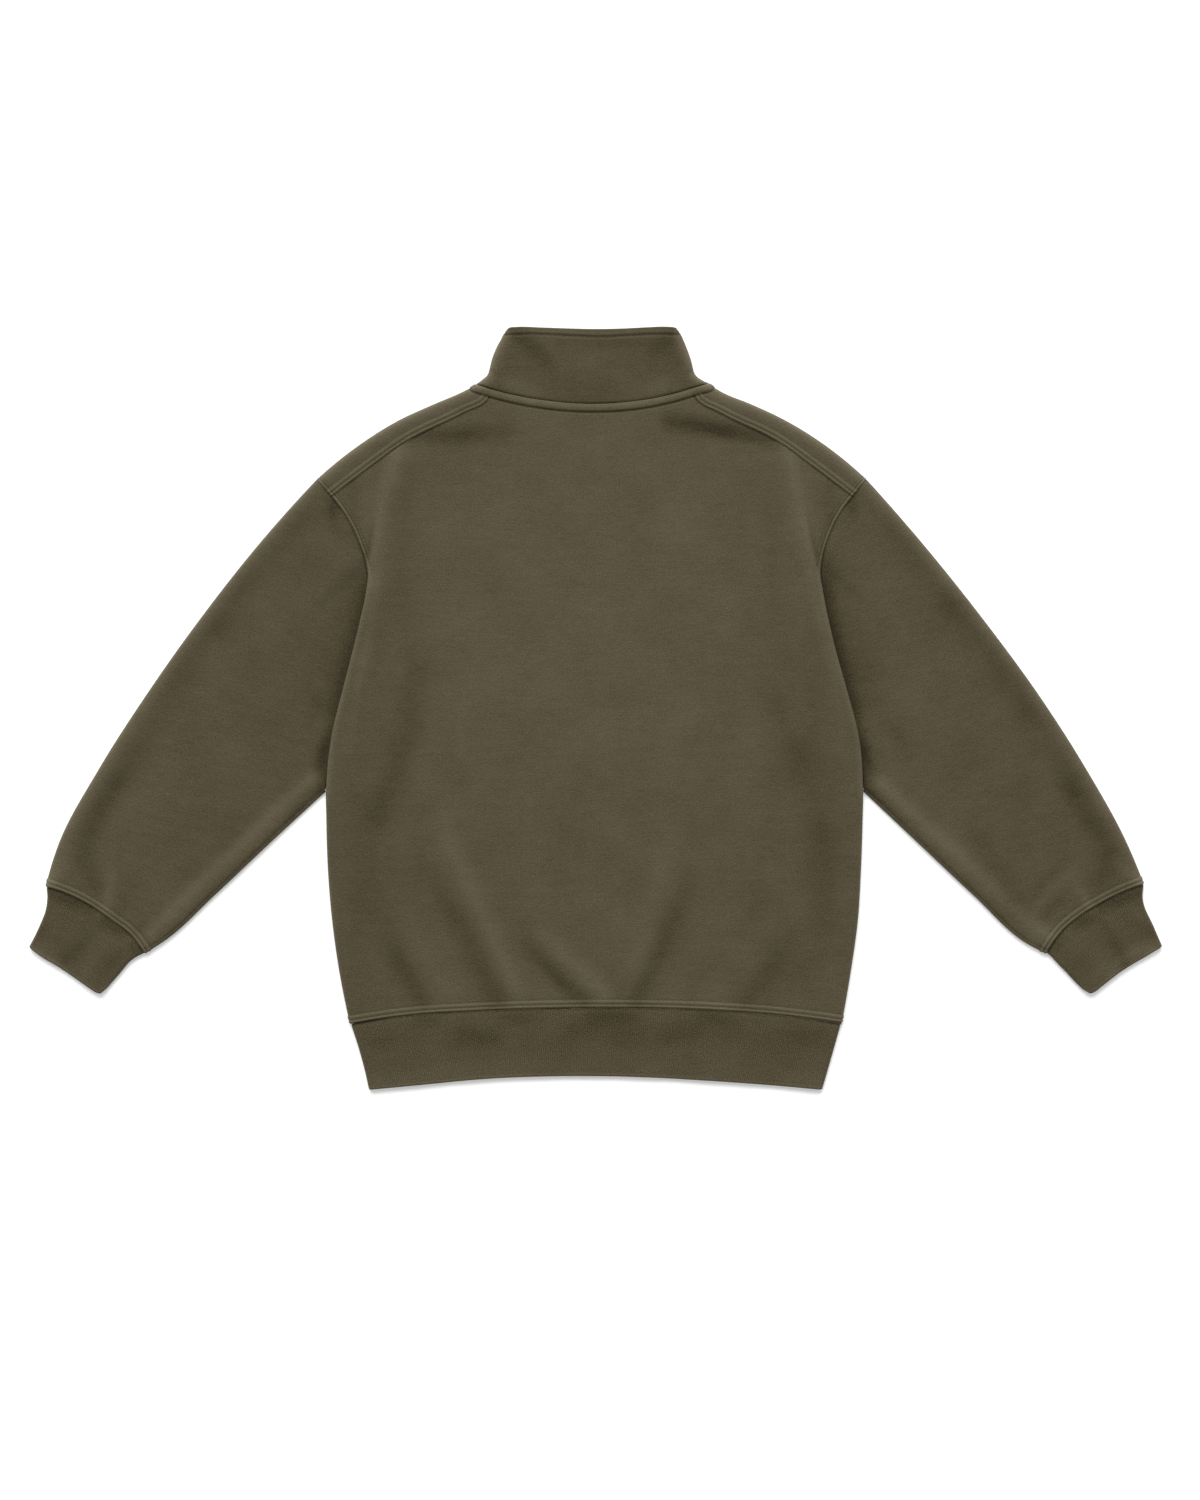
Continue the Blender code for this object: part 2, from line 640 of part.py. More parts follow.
def sleeve_sheets(side, shoulder):
    """Sheets of a sleeve; the first one's last row is where the cuff is sewn on."""
    shares = np.linspace(0.0, 1.0, 11)
    inside = SLEEVE_MIDDLE[side]
    away = shoulder.along(0)
    outer = FoldEdge(
        SLEEVE_OUTER[side], shares, inside, (SHOULDER_RADIUS, 3.9, 3.9),
        first=(shoulder.foot[0] + away * SEAM_GAP, shoulder.outward[0]),
    )
    inner = FoldEdge(SLEEVE_INNER[side], shares, inside, (2.15, 3.6, 3.8, 3.8))
    seam, normals = armhole_points(side)
    seam = (seam + normals * SEAM_GAP)[:-1]
    start = np.vstack([outer.crests[:1], seam, inner.crests[:1]])
    spread = chord_shares(start)
    end = Curve(CUFF_SEAM[side]).at(spread)
    meets_flat = [2 * SHOULDER_RADIUS]
    for row in BODY_SECTIONS[:ARMPIT]:
        flat = row[4] < 45
        meets_flat.append(row[3] - row[6] * math.sin(math.radians(row[4])) if flat else SLEEVE_UNDER_BODY)
    start_height = np.array(meets_flat + [2 * inner.radii[0, 0]])
    upper = top_sheet(start, end, outer, inner, level_height(SLEEVE_HEIGHT), start_height)
    return [upper, bottom_sheet(start, end, outer, inner), outer.half_turn(), inner.half_turn()]


def cuff_sheets(side, sleeve_end):
    """Sheets of a cuff, which starts along the sleeve's last row."""
    shares = np.linspace(0.0, 1.0, 3)
    outer = FoldEdge(CUFF_OUTER[side], shares, CUFF_MIDDLE[side], (CUFF_RADIUS, CUFF_RADIUS))
    inner = FoldEdge(CUFF_INNER[side], shares, CUFF_MIDDLE[side], (CUFF_RADIUS, CUFF_RADIUS))
    normals = row_normals(sleeve_end, (0.0, 0.0))
    start = sleeve_end + normals * SEAM_GAP
    start[0], start[-1] = outer.crests[0], inner.crests[0]
    end = Curve(CUFF_END[side]).at(chord_shares(start))
    upper = top_sheet(start, end, outer, inner, level_height(RIB_HEIGHT))
    return [upper, bottom_sheet(start, end, outer, inner), outer.half_turn(), inner.half_turn()]


def hem_sheets(back_end, front_end):
    """Sheets of the hem rib, which starts along the last rows of the back and front."""
    shares = np.linspace(0.0, 1.0, 4)
    left = FoldEdge(HEM_LEFT, shares, HEM_MIDDLE, (HEM_RADIUS, HEM_RADIUS))
    right = FoldEdge(HEM_RIGHT, shares, HEM_MIDDLE, (HEM_RADIUS, HEM_RADIUS))
    sheets = []
    for body_end, layer in ((back_end, "top"), (front_end, "bottom")):
        start = body_end - (0.0, 2 * SEAM_GAP)
        start[0], start[-1] = left.crests[0], right.crests[0]
        end = Curve(HEM_END).at(chord_shares(start))
        if layer == "top":
            sheets.append(top_sheet(start, end, left, right, level_height(RIB_HEIGHT)))
        else:
            sheets.append(bottom_sheet(start, end, left, right))
    return sheets + [left.half_turn(), right.half_turn()]


def collar_sheets(shoulders):
    """Sheets of the collar: its back, its folded sides, and its front parted at the zip."""
    shares = np.linspace(0.0, 1.0, 5)
    middle = (centre_x(COLLAR_MIDDLE_Y), COLLAR_MIDDLE_Y)
    sides = {}
    for side, shoulder in shoulders.items():
        first = (shoulder.foot[-1] + shoulder.along(-1) * COLLAR_SIDE_GAP, shoulder.outward[-1])
        radii = (COLLAR_RADIUS, COLLAR_RADIUS)
        sides[side] = FoldEdge(COLLAR_SIDE[side], shares, middle, radii, first=first)
    left, right = sides["left"], sides["right"]
    start = np.vstack([left.crests[:1], neck_row() + (0.0, SEAM_GAP), right.crests[:1]])
    end = Curve(COLLAR_TOP).at(chord_shares(start))
    sheets = [top_sheet(start, end, left, right, collar_height), left.half_turn(), right.half_turn()]
    for side, edge in sides.items():
        seam = front_neck_row(side, shoulders)
        seam = seam - row_normals(seam, middle) * 2 * SEAM_GAP
        seam[0] = edge.crests[0]
        bends = [(centre_x(y) - SIGN[side] * x, y) for x, y in COLLAR_FRONT_BENDS]
        stop = (centre_x(COLLAR_FRONT_Y) + SIGN[side] * SLIT_HALF, COLLAR_FRONT_Y)
        rim = Curve([tuple(edge.crests[-1]), *bends, stop]).at(chord_shares(seam))
        slit = seam[-1] + (rim[-1] - seam[-1]) * shares[:, None]
        slit[:, 0] = centre_x(slit[:, 1]) + SIGN[side] * SLIT_HALF
        plan = coons(seam, rim, edge.crests, slit)
        sheets.append(np.dstack([plan, collar_lift(plan[..., 0], plan[..., 1])]))
    return sheets


# ---------------------------------------------------------------- zip


def zip_strip(name, near, far, thick, start_y, stop_y, finish, sign):
    """A flat strip along one side of the zip, from near to far out of its centre line."""
    y = np.linspace(start_y, stop_y, 17)
    parting = TEETH_PARTING * eased(y, SLIDER_MIDDLE - 3.0, SLIDER_MIDDLE + 4.5)
    rows = []
    for reach in (near, far):
        rows.append(np.column_stack([centre_x(y) + sign * (reach + parting), y, zip_level(y) + thick / 2]))
    return walled(name, [np.array(rows)], thick, finish)


def box_mesh(x, y, z):
    """A box between pairs of limits in millimetres."""
    mesh = bmesh.new()
    for vert in bmesh.ops.create_cube(mesh, size=1.0)["verts"]:
        for axis, (low, high) in enumerate((x, y, z)):
            vert.co[axis] = (low if vert.co[axis] < 0 else high) * MM
    return mesh


def helper_box(name, limits):
    """A box that only joins or cuts another object."""
    tool = object_from(name, box_mesh(*limits), ZIP_METAL, collection=HELPERS)
    tool.hide_render = True
    tool.display_type = "WIRE"
    return tool


def combine(target, tool, operation):
    modifier = target.modifiers.new(operation.title(), "BOOLEAN")
    modifier.operation = operation
    modifier.solver = "EXACT"
    modifier.object = tool


def make_slider():
    """Two plates with flanges, joined by the wedge between the teeth, and a bail below."""
    cx = centre_x(SLIDER_MIDDLE)
    half = SLIDER_WIDTH / 2
    low, high = SLIDER_MIDDLE - SLIDER_LENGTH / 2, SLIDER_MIDDLE + SLIDER_LENGTH / 2
    level = float(zip_level(SLIDER_MIDDLE))
    front_face, back_face = level - SLIDER_MOUTH, level + SLIDER_MOUTH
    joint = SLIDER_OVERLAP
    plate = ((cx - half, cx + half), (low, high), (front_face - SLIDER_PLATE, front_face))
    boxes = {
        "back_plate": ((cx - half, cx + half), (low, high), (back_face, back_face + SLIDER_PLATE)),
        "wedge": (
            (cx - WEDGE_HALF, cx + WEDGE_HALF),
            (high - WEDGE_LENGTH - joint, high - joint),
            (front_face - joint, back_face + joint),
        ),
        "bail": (
            (cx - BAIL_HALF - BAIL_OVERHANG, cx + BAIL_HALF + BAIL_OVERHANG),
            (HINGE_Y - BAIL_REACH + BAIL_OVERHANG, HINGE_Y + BAIL_REACH - BAIL_OVERHANG),
            (BAIL_LOWEST, BAIL_LOWEST + BAIL_WALL),
        ),
    }
    along = (low + FLANGE_INSET, high - FLANGE_INSET)
    foot_height = (BAIL_LOWEST + FLANGE_INSET, front_face - joint)
    for name, sign in (("left", -1), ("right", 1)):
        outer = half - FLANGE_INSET
        across = sorted((cx + sign * outer, cx + sign * (outer - FLANGE_WALL)))
        boxes["front_flange_" + name] = (across, along, (front_face - joint, level - TAPE_SLOT))
        boxes["back_flange_" + name] = (across, along, (level + TAPE_SLOT, back_face + joint))
        foot = sorted((HINGE_Y + sign * BAIL_REACH, HINGE_Y + sign * (BAIL_REACH - BAIL_WALL)))
        boxes["bail_foot_" + name] = ((cx - BAIL_HALF, cx + BAIL_HALF), foot, foot_height)
    slider = object_from("zip_slider", box_mesh(*plate), ZIP_METAL)
    for name, limits in boxes.items():
        combine(slider, helper_box("slider_" + name, limits), "UNION")
    return slider


def make_pull_tab():
    """A flat tab with a hole for the bail; it swings about the hinge that it hangs from."""
    hinge = bpy.data.objects.new("pull_tab_hinge", None)
    hinge.location = (centre_x(SLIDER_MIDDLE) * MM, HINGE_Y * MM, HINGE_Z * MM)
    collection_for(OBJECT).objects.link(hinge)
    half_thick = TAB_THICK / 2
    limits = ((-TAB_WIDTH / 2, TAB_WIDTH / 2), (-TAB_LENGTH, half_thick), (-half_thick, half_thick))
    tab = object_from("zip_pull_tab", box_mesh(*limits), ZIP_METAL)
    hole_along = (-half_thick - TAB_HOLE_LENGTH, -half_thick)
    hole_limits = ((-TAB_HOLE_HALF, TAB_HOLE_HALF), hole_along, (-TAB_THICK, TAB_THICK))
    hole = helper_box("pull_tab_hole", hole_limits)
    combine(tab, hole, "DIFFERENCE")
    for child in (tab, hole):
        child.parent = hinge
    return tab


def make_stop(name, across, low, length):
    """A metal block over the teeth, in the middle of the zip's height there."""
    level = float(zip_level(low))
    height = (level - STOP_HALF_THICK, level + STOP_HALF_THICK)
    object_from(name, box_mesh(across, (low, low + length), height), ZIP_METAL)


def make_zip():
    top_stop = ZIP_TOP - SEAM_GAP - STOP_LENGTH
    for side, sign in SIGN.items():
        start = TEETH_FOOT - TAPE_FOOT_RUN
        zip_strip("zip_tape_" + side, TAPE_NEAR, TAPE_HALF, TAPE_THICK, start, ZIP_TOP, TAPE_WEAVE, sign)
        stop = top_stop - SEAM_GAP
        size = (TEETH_NEAR, TEETH_HALF, TEETH_THICK, TEETH_FOOT, stop)
        zip_strip("zip_teeth_" + side, *size, ZIP_METAL, sign)
        reach = TEETH_PARTING + np.array([STOP_NEAR, TEETH_HALF])
        make_stop("zip_stop_top_" + side, sorted(centre_x(ZIP_TOP) + sign * reach), top_stop, STOP_LENGTH)
    middle = centre_x(TEETH_FOOT)
    bottom_stop = TEETH_FOOT - SEAM_GAP - BOTTOM_STOP_LENGTH
    across = (middle - TEETH_HALF, middle + TEETH_HALF)
    make_stop("zip_stop_bottom", across, bottom_stop, BOTTOM_STOP_LENGTH)
    make_slider()
    make_pull_tab()


# ---------------------------------------------------------------- the whole garment


def clear_scene():
    for old in list(bpy.data.objects):
        bpy.data.objects.remove(old)


def build():
    clear_scene()
    shoulders = {side: Shoulder(side) for side in SIGN}
    back = back_sheets(shoulders)
    front = front_sheets(shoulders)
    walled("back", back, CLOTH, FLEECE)
    walled("front", front, CLOTH, FLEECE)
    for side in SIGN:
        sleeve = sleeve_sheets(side, shoulders[side])
        walled("sleeve_" + side, sleeve, CLOTH, FLEECE)
        walled("cuff_" + side, cuff_sheets(side, sleeve[0][-1, :, :2]), RIB_WALL, RIB_KNIT)
    walled("hem_rib", hem_sheets(back[0][-1, :, :2], front[0][-1, :, :2]), RIB_WALL, RIB_KNIT)
    walled("collar", collar_sheets(shoulders), COLLAR_WALL, FLEECE)
    make_zip()


build()
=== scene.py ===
"""Looks of a quarter zip sweatshirt laid flat on its front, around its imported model.

The cloth is built again at a fine pitch from the garment's own plan curves, with its
folds, topstitched seams, ribs and stitches. The zip gets its teeth, slider and pull tab.
Plan sizes and heights are in millimetres: X across the garment, Y from the hem towards
the collar, Z up from the surface that it lies on. Left and right are as looked down on.
"""

from __future__ import annotations

import logging
import math
from dataclasses import dataclass, field
from enum import Enum
from typing import Callable, Sequence

import bmesh
import bpy
import numpy as np
from mathutils import Matrix, Vector
from mathutils.bvhtree import BVHTree


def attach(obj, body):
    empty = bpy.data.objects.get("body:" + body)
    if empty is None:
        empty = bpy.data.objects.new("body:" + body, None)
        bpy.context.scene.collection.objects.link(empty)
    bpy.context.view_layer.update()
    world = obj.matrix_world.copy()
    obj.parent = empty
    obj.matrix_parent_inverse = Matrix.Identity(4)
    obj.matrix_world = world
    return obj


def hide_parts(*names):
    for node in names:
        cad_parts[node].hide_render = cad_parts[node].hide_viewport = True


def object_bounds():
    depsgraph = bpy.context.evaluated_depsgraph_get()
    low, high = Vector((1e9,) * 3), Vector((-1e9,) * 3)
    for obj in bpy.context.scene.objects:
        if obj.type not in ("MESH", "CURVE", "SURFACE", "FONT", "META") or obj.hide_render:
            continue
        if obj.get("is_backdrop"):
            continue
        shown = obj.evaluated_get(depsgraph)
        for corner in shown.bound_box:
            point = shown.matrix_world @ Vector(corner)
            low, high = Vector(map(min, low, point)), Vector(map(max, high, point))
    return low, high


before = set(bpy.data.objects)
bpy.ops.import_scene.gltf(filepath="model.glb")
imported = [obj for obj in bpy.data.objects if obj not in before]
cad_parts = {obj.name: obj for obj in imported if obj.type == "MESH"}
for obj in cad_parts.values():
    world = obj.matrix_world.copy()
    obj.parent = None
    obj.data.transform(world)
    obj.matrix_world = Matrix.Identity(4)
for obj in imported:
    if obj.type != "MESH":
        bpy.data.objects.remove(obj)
CAD_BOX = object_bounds()

logging.basicConfig(level=logging.INFO, format="%(message)s")
LOG = logging.getLogger("sweatshirt")

Array = np.ndarray
Socket = bpy.types.NodeSocket
Value = Socket | float | Sequence[float]
MM = 0.001
GARMENT = "garment"
PULL_TAB = "pull_tab"


# ---------------------------------------------------------------- plan geometry


def eased(value: Array | float, low: float, high: float) -> Array:
    """Share of the way from low to high, eased at both ends; low may be the larger."""
    share = np.clip((np.asarray(value, float) - low) / (high - low), 0.0, 1.0)
    return share * share * (3.0 - 2.0 * share)


def bell(value: Array, half: float | Array) -> Array:
    """A bell curve of height one that falls away over about one half width."""
    return np.exp(-((value / half) ** 2))


def unit(vectors: Array) -> Array:
    """Rows of vectors, each brought to length one."""
    return vectors / np.linalg.norm(vectors, axis=1, keepdims=True)


def plan_length(line: Array) -> float:
    """Length of a row of points."""
    return float(np.linalg.norm(np.diff(line, axis=0), axis=1).sum())


def chord_shares(points: Array) -> Array:
    """Each point's share of the plan length along its row."""
    steps = np.linalg.norm(np.diff(points[:, :2], axis=0), axis=1)
    run = np.r_[0.0, np.cumsum(steps)]
    return run / run[-1]


def row_normals(points: Array, inside: Sequence[float]) -> Array:
    """Unit plan normals along a row, on the side away from a point.

    Args:
        points: Plan points of the row.
        inside: A plan point that the normals face away from.

    Returns:
        One unit vector for each point.
    """
    tangent = np.gradient(points, chord_shares(points), axis=0)
    normal = unit(np.column_stack([tangent[:, 1], -tangent[:, 0]]))
    facing = np.sum(normal * (points - np.array(inside)), axis=1)
    return np.where(facing[:, None] < 0.0, -normal, normal)


GRADING_SAMPLES = 4000
GRADING_FADE = 5.0


def graded(length: float, coarse: float, start: tuple[float, float], end: tuple[float, float]) -> Array:
    """Shares along a length whose steps are finer near its ends.

    Args:
        length: The whole length in millimetres.
        coarse: Step away from the ends.
        start: Step and reach of the fine zone at the start.
        end: Step and reach of the fine zone at the end.

    Returns:
        Rising shares from 0 to 1.
    """
    run = np.linspace(0.0, length, GRADING_SAMPLES)
    step = np.full(run.shape, coarse)
    for (fine, zone), distance in ((start, run), (end, length - run)):
        near = fine + (coarse - fine) * eased(distance, zone, zone + GRADING_FADE * coarse)
        step = np.minimum(step, near)
    count = np.r_[0.0, np.cumsum(2.0 * np.diff(run) / (step[1:] + step[:-1]))]
    return np.interp(np.linspace(0.0, count[-1], math.ceil(count[-1]) + 1), count, run) / length


def placed(name: str, data: bpy.types.ID | None) -> bpy.types.Object:
    """A new object of some data, linked to the scene."""
    made = bpy.data.objects.new(name, data)
    bpy.context.scene.collection.objects.link(made)
    return made


class Curve:
    """A smooth curve through knots, read by its share of plan length.

    The first two numbers of a knot are its plan point. The others go along with it and
    never swing past their neighbours.

    Args:
        knots: Its knots, from end to end.
    """

    FINENESS = 32

    def __init__(self, knots: Sequence[Sequence[float]]) -> None:
        points = np.array(knots, float)
        chord = np.r_[0.0, np.cumsum(np.linalg.norm(np.diff(points[:, :2], axis=0), axis=1))]
        order = 2 if len(points) > 2 else 1
        slope = np.gradient(points, chord, axis=0, edge_order=order)
        slope[:, 2:] = self._held(points[:, 2:], chord)
        at = np.linspace(0.0, chord[-1], self.FINENESS * (len(points) - 1) + 1)
        span = np.clip(np.searchsorted(chord, at, side="right") - 1, 0, len(points) - 2)
        width = (chord[span + 1] - chord[span])[:, None]
        t = (at - chord[span])[:, None] / width
        self.line = (
            (2 * t**3 - 3 * t**2 + 1) * points[span]
            + (t**3 - 2 * t**2 + t) * width * slope[span]
            + (3 * t**2 - 2 * t**3) * points[span + 1]
            + (t**3 - t**2) * width * slope[span + 1]
        )
        self.share = chord_shares(self.line)
        self.length = plan_length(self.line[:, :2])
        self.knot_shares = np.interp(chord, at, self.share)

    @staticmethod
    def _held(values: Array, chord: Array) -> Array:
        """Slopes at the knots that keep each value between its neighbours.

        Args:
            values: Numbers at the knots, one column each.
            chord: Distance along the chords at each knot.

        Returns:
            One slope for each value.
        """
        step = np.diff(values, axis=0) / np.diff(chord)[:, None]
        slope = np.vstack([step[:1], (step[1:] + step[:-1]) / 2.0, step[-1:]])
        least = 3.0 * np.minimum(np.abs(step[1:]), np.abs(step[:-1]))
        inner = np.sign(slope[1:-1]) * np.minimum(np.abs(slope[1:-1]), least)
        slope[1:-1] = np.where(step[1:] * step[:-1] <= 0.0, 0.0, inner)
        return slope

    def at(self, share: Array) -> Array:
        """All the numbers of the curve at shares of its length."""
        return np.column_stack([np.interp(share, self.share, column) for column in self.line.T])

    def y_at(self, x: Array) -> Array:
        """Plan Y where the curve, which runs from left to right, crosses each X."""
        return np.interp(x, self.line[:, 0], self.line[:, 1])


def coons(top: Array, bottom: Array, left: Array, right: Array) -> Array:
    """Plan points between four rows, spaced as the top and the left row are.

    Args:
        top: First row.
        bottom: Last row, with as many points as the first.
        left: First column.
        right: Last column, with as many points as the first.

    Returns:
        Rows of columns of plan points.
    """
    t = chord_shares(left)[:, None, None]
    s = chord_shares(top)[None, :, None]
    top = top + (1 - s[0]) * (left[0] - top[0]) + s[0] * (right[0] - top[-1])
    bottom = bottom + (1 - s[0]) * (left[-1] - bottom[0]) + s[0] * (right[-1] - bottom[-1])
    across = (1 - s) * left[:, None] + s * right[:, None]
    down = (1 - t) * top[None] + t * bottom[None]
    corners = (1 - t) * ((1 - s) * top[0] + s * top[-1]) + t * ((1 - s) * bottom[0] + s * bottom[-1])
    return across + down - corners


def lengthened(line: Array, reach: float = 14.0) -> Array:
    """A plan line that runs straight on past both of its ends.

    Args:
        line: Its plan points.
        reach: How far it runs on.

    Returns:
        The points with one more at each end.
    """
    first = line[0] - line[1]
    last = line[-1] - line[-2]
    start = line[0] + first / np.linalg.norm(first) * reach
    stop = line[-1] + last / np.linalg.norm(last) * reach
    return np.vstack([start, line, stop])


def ends_moved(row: Array, first: Array, last: Array, reach: float = 14.0) -> Array:
    """A row of plan points whose ends are drawn to two points, with its middle left as it is.

    Args:
        row: The plan points.
        first: Where the first one goes.
        last: Where the last one goes.
        reach: Length over which the move dies out.

    Returns:
        The moved points.
    """
    run = chord_shares(row) * plan_length(row)
    near_first = (1.0 - eased(run, 0.0, reach))[:, None]
    near_last = (1.0 - eased(run[-1] - run, 0.0, reach))[:, None]
    return row + near_first * (first - row[0]) + near_last * (last - row[-1])


def spread_along(run: Array, count: int) -> Array:
    """Evenly spaced shares of a line, given as all its numbers at those shares."""
    at, spread = chord_shares(run), np.linspace(0.0, 1.0, count)
    return np.column_stack([np.interp(spread, at, column) for column in run.T])


def beside(line: Array, distance: float, towards: Sequence[float]) -> Array:
    """A plan line at a distance from another, on the side of a plan point."""
    return line - row_normals(line, towards) * distance


PAIRS_AT_ONCE = 3_000_000
FAR_REACHES = 4.0


@dataclass
class Nearness:
    """Where plan points lie beside a line."""

    distance: Array
    share: Array
    across: Array


def nearness(plan: Array, line: Array, reach: float) -> Nearness:
    """Distance from plan points to a line, with the share along it and the way across it.

    Args:
        plan: Plan points.
        line: Points of the line.
        reach: Distance beyond which a point only counts as far.

    Returns:
        Distances, shares, and distances square to the line, above 0 on its left.
    """
    found = Nearness(np.full(len(plan), FAR_REACHES * reach), np.zeros(len(plan)), np.zeros(len(plan)))
    close = np.all((plan > line.min(0) - reach) & (plan < line.max(0) + reach), axis=1)
    index = np.flatnonzero(close)
    start, along = line[:-1], np.diff(line, axis=0)
    square = (along**2).sum(1)
    shares = chord_shares(line)
    for part in np.array_split(index, len(index) * len(start) // PAIRS_AT_ONCE + 1):
        offset = plan[part][:, None] - start
        t = np.clip((offset * along).sum(-1) / square, 0.0, 1.0)
        gap = offset - t[..., None] * along
        best = (gap**2).sum(-1).argmin(1)
        row = np.arange(len(part))
        gap, t, segment = gap[row, best], t[row, best], along[best]
        found.distance[part] = np.linalg.norm(gap, axis=1)
        found.share[part] = shares[best] + t * (shares[best + 1] - shares[best])
        cross = segment[:, 0] * gap[:, 1] - segment[:, 1] * gap[:, 0]
        found.across[part] = cross / np.linalg.norm(segment, axis=1)
    return found


class SoftNoise:
    """Smooth random heights between about -1 and 1 over the plan, the same on each run.

    Args:
        seed: Seed of its own draws.
        cell: Size of one swell.
        turn: Angle of its lattice.
    """

    LATTICE = 96
    OFFSET = 500.5

    def __init__(self, seed: int, cell: float, turn: float = 0.6) -> None:
        self.cell = cell
        self.turn = np.array([[math.cos(turn), -math.sin(turn)], [math.sin(turn), math.cos(turn)]])
        self.values = np.random.default_rng(seed).uniform(-1.0, 1.0, (self.LATTICE, self.LATTICE))

    def at(self, plan: Array) -> Array:
        """The noise at plan points.

        Args:
            plan: The plan points.

        Returns:
            One height for each.
        """
        place = plan @ self.turn / self.cell + self.OFFSET
        low = np.floor(place).astype(int)
        part = place - low
        part = part**3 * (part * (part * 6.0 - 15.0) + 10.0)
        i, j = (low % self.LATTICE).T
        k, m = (i + 1) % self.LATTICE, (j + 1) % self.LATTICE
        x, y = part.T
        near = self.values[i, j] * (1 - x) + self.values[k, j] * x
        far = self.values[i, m] * (1 - x) + self.values[k, m] * x
        return near * (1 - y) + far * y


# ---------------------------------------------------------------- the garment's plan


CENTRE_AT_HEM = 0.6
CENTRE_LEAN = -0.0061
HEM_Y = -386.0
BODY_MIDDLE = (0.0, -60.0)
COLLAR_MIDDLE = (-3.8, 365.0)
NECK_ROW_BENDS = [(-92.0, 303.0), (-54.0, 269.0)]
FRONT_NECK_Y = 258.0
SLIT_HALF = 5.0
SLIT_FOOT = 58.0
SEAM_GAP = -0.15


def centre_x(y: Array | float) -> Array | float:
    """Plan X of the garment's centre line, which leans a little."""
    return CENTRE_AT_HEM + CENTRE_LEAN * (y - HEM_Y)


# Body edge from shoulder to hem: y, left x, right x, crest height, roll, radius, tail, seam inset
BODY_SECTIONS = [
    (222.0, -277.0, 269.5, 6.9, 0, 2.6, 12.0, 0.0),
    (190.0, -255.5, 249.0, 6.7, 0, 2.6, 12.0, 0.0),
    (165.0, -245.5, 240.5, 6.9, 12, 3.0, 9.0, 0.0),
    (143.0, -239.5, 236.5, 8.0, 70, 2.6, 1.5, 0.0),
    (120.0, -241.5, 239.5, 9.6, 130, 2.6, 0.5, 3.0),
    (92.0, -247.5, 245.0, 10.3, 175, 2.6, 4.0, 6.0),
    (60.0, -255.2, 252.7, 10.4, 180, 2.6, 5.0, 7.0),
    (20.0, -265.5, 264.0, 10.4, 180, 2.6, 5.0, 7.0),
    (-32.0, -277.7, 277.0, 10.4, 180, 2.6, 4.0, 6.0),
    (-86.6, -283.0, 281.0, 9.6, 150, 2.4, 0.5, 0.0),
    (-114.0, -282.8, 280.6, 8.9, 90, 4.2, 0.0, 0.0),
    (-170.0, -281.0, 278.8, 8.5, 90, 4.1, 0.0, 0.0),
    (-222.0, -276.7, 275.6, 8.4, 90, 4.0, 0.0, 0.0),
    (-275.0, -269.3, 268.3, 8.4, 90, 4.0, 0.0, 0.0),
    (-331.5, -257.8, 258.4, 8.4, 90, 4.0, 0.0, 0.0),
]
ARMPIT_Y = -86.6
ARMPIT_ROW = 9
TUCK_ROLL = (10.0, 60.0)
SLEEVE_UNDER_BODY = 4.3


@dataclass(frozen=True)
class SidePlan:
    """Plan curves of one side of the garment."""

    name: str
    sign: float
    edge: Curve
    shoulder_fold: Curve
    shoulder_seam: Curve
    sleeve_outer: Curve
    sleeve_inner: Curve
    cuff_seam: Curve
    cuff_outer: Curve
    cuff_inner: Curve
    cuff_end: Curve
    hem_side: Curve
    collar_side: Curve

    def armhole(self, count: int = 120) -> tuple[Array, Array, Array]:
        """The armhole seam down to the armpit.

        Args:
            count: How many points to give.

        Returns:
            Its plan points, outward normals, and its height on the sleeve's side.
        """
        shares = np.linspace(0.0, self.edge.knot_shares[ARMPIT_ROW], count)
        found = self.edge.at(shares)
        normals = row_normals(found[:, :2], BODY_MIDDLE)
        tucked = eased(found[:, 3], *TUCK_ROLL)
        height = found[:, 2] * (1.0 - tucked) + SLEEVE_UNDER_BODY * tucked
        return found[:, :2] - normals * found[:, 6:7], normals, height

    def shoulder_end(self) -> Array:
        """The sleeve's end of the shoulder, from its fold to its seam."""
        return np.vstack([self.shoulder_fold.line[0], self.shoulder_seam.line[0]])


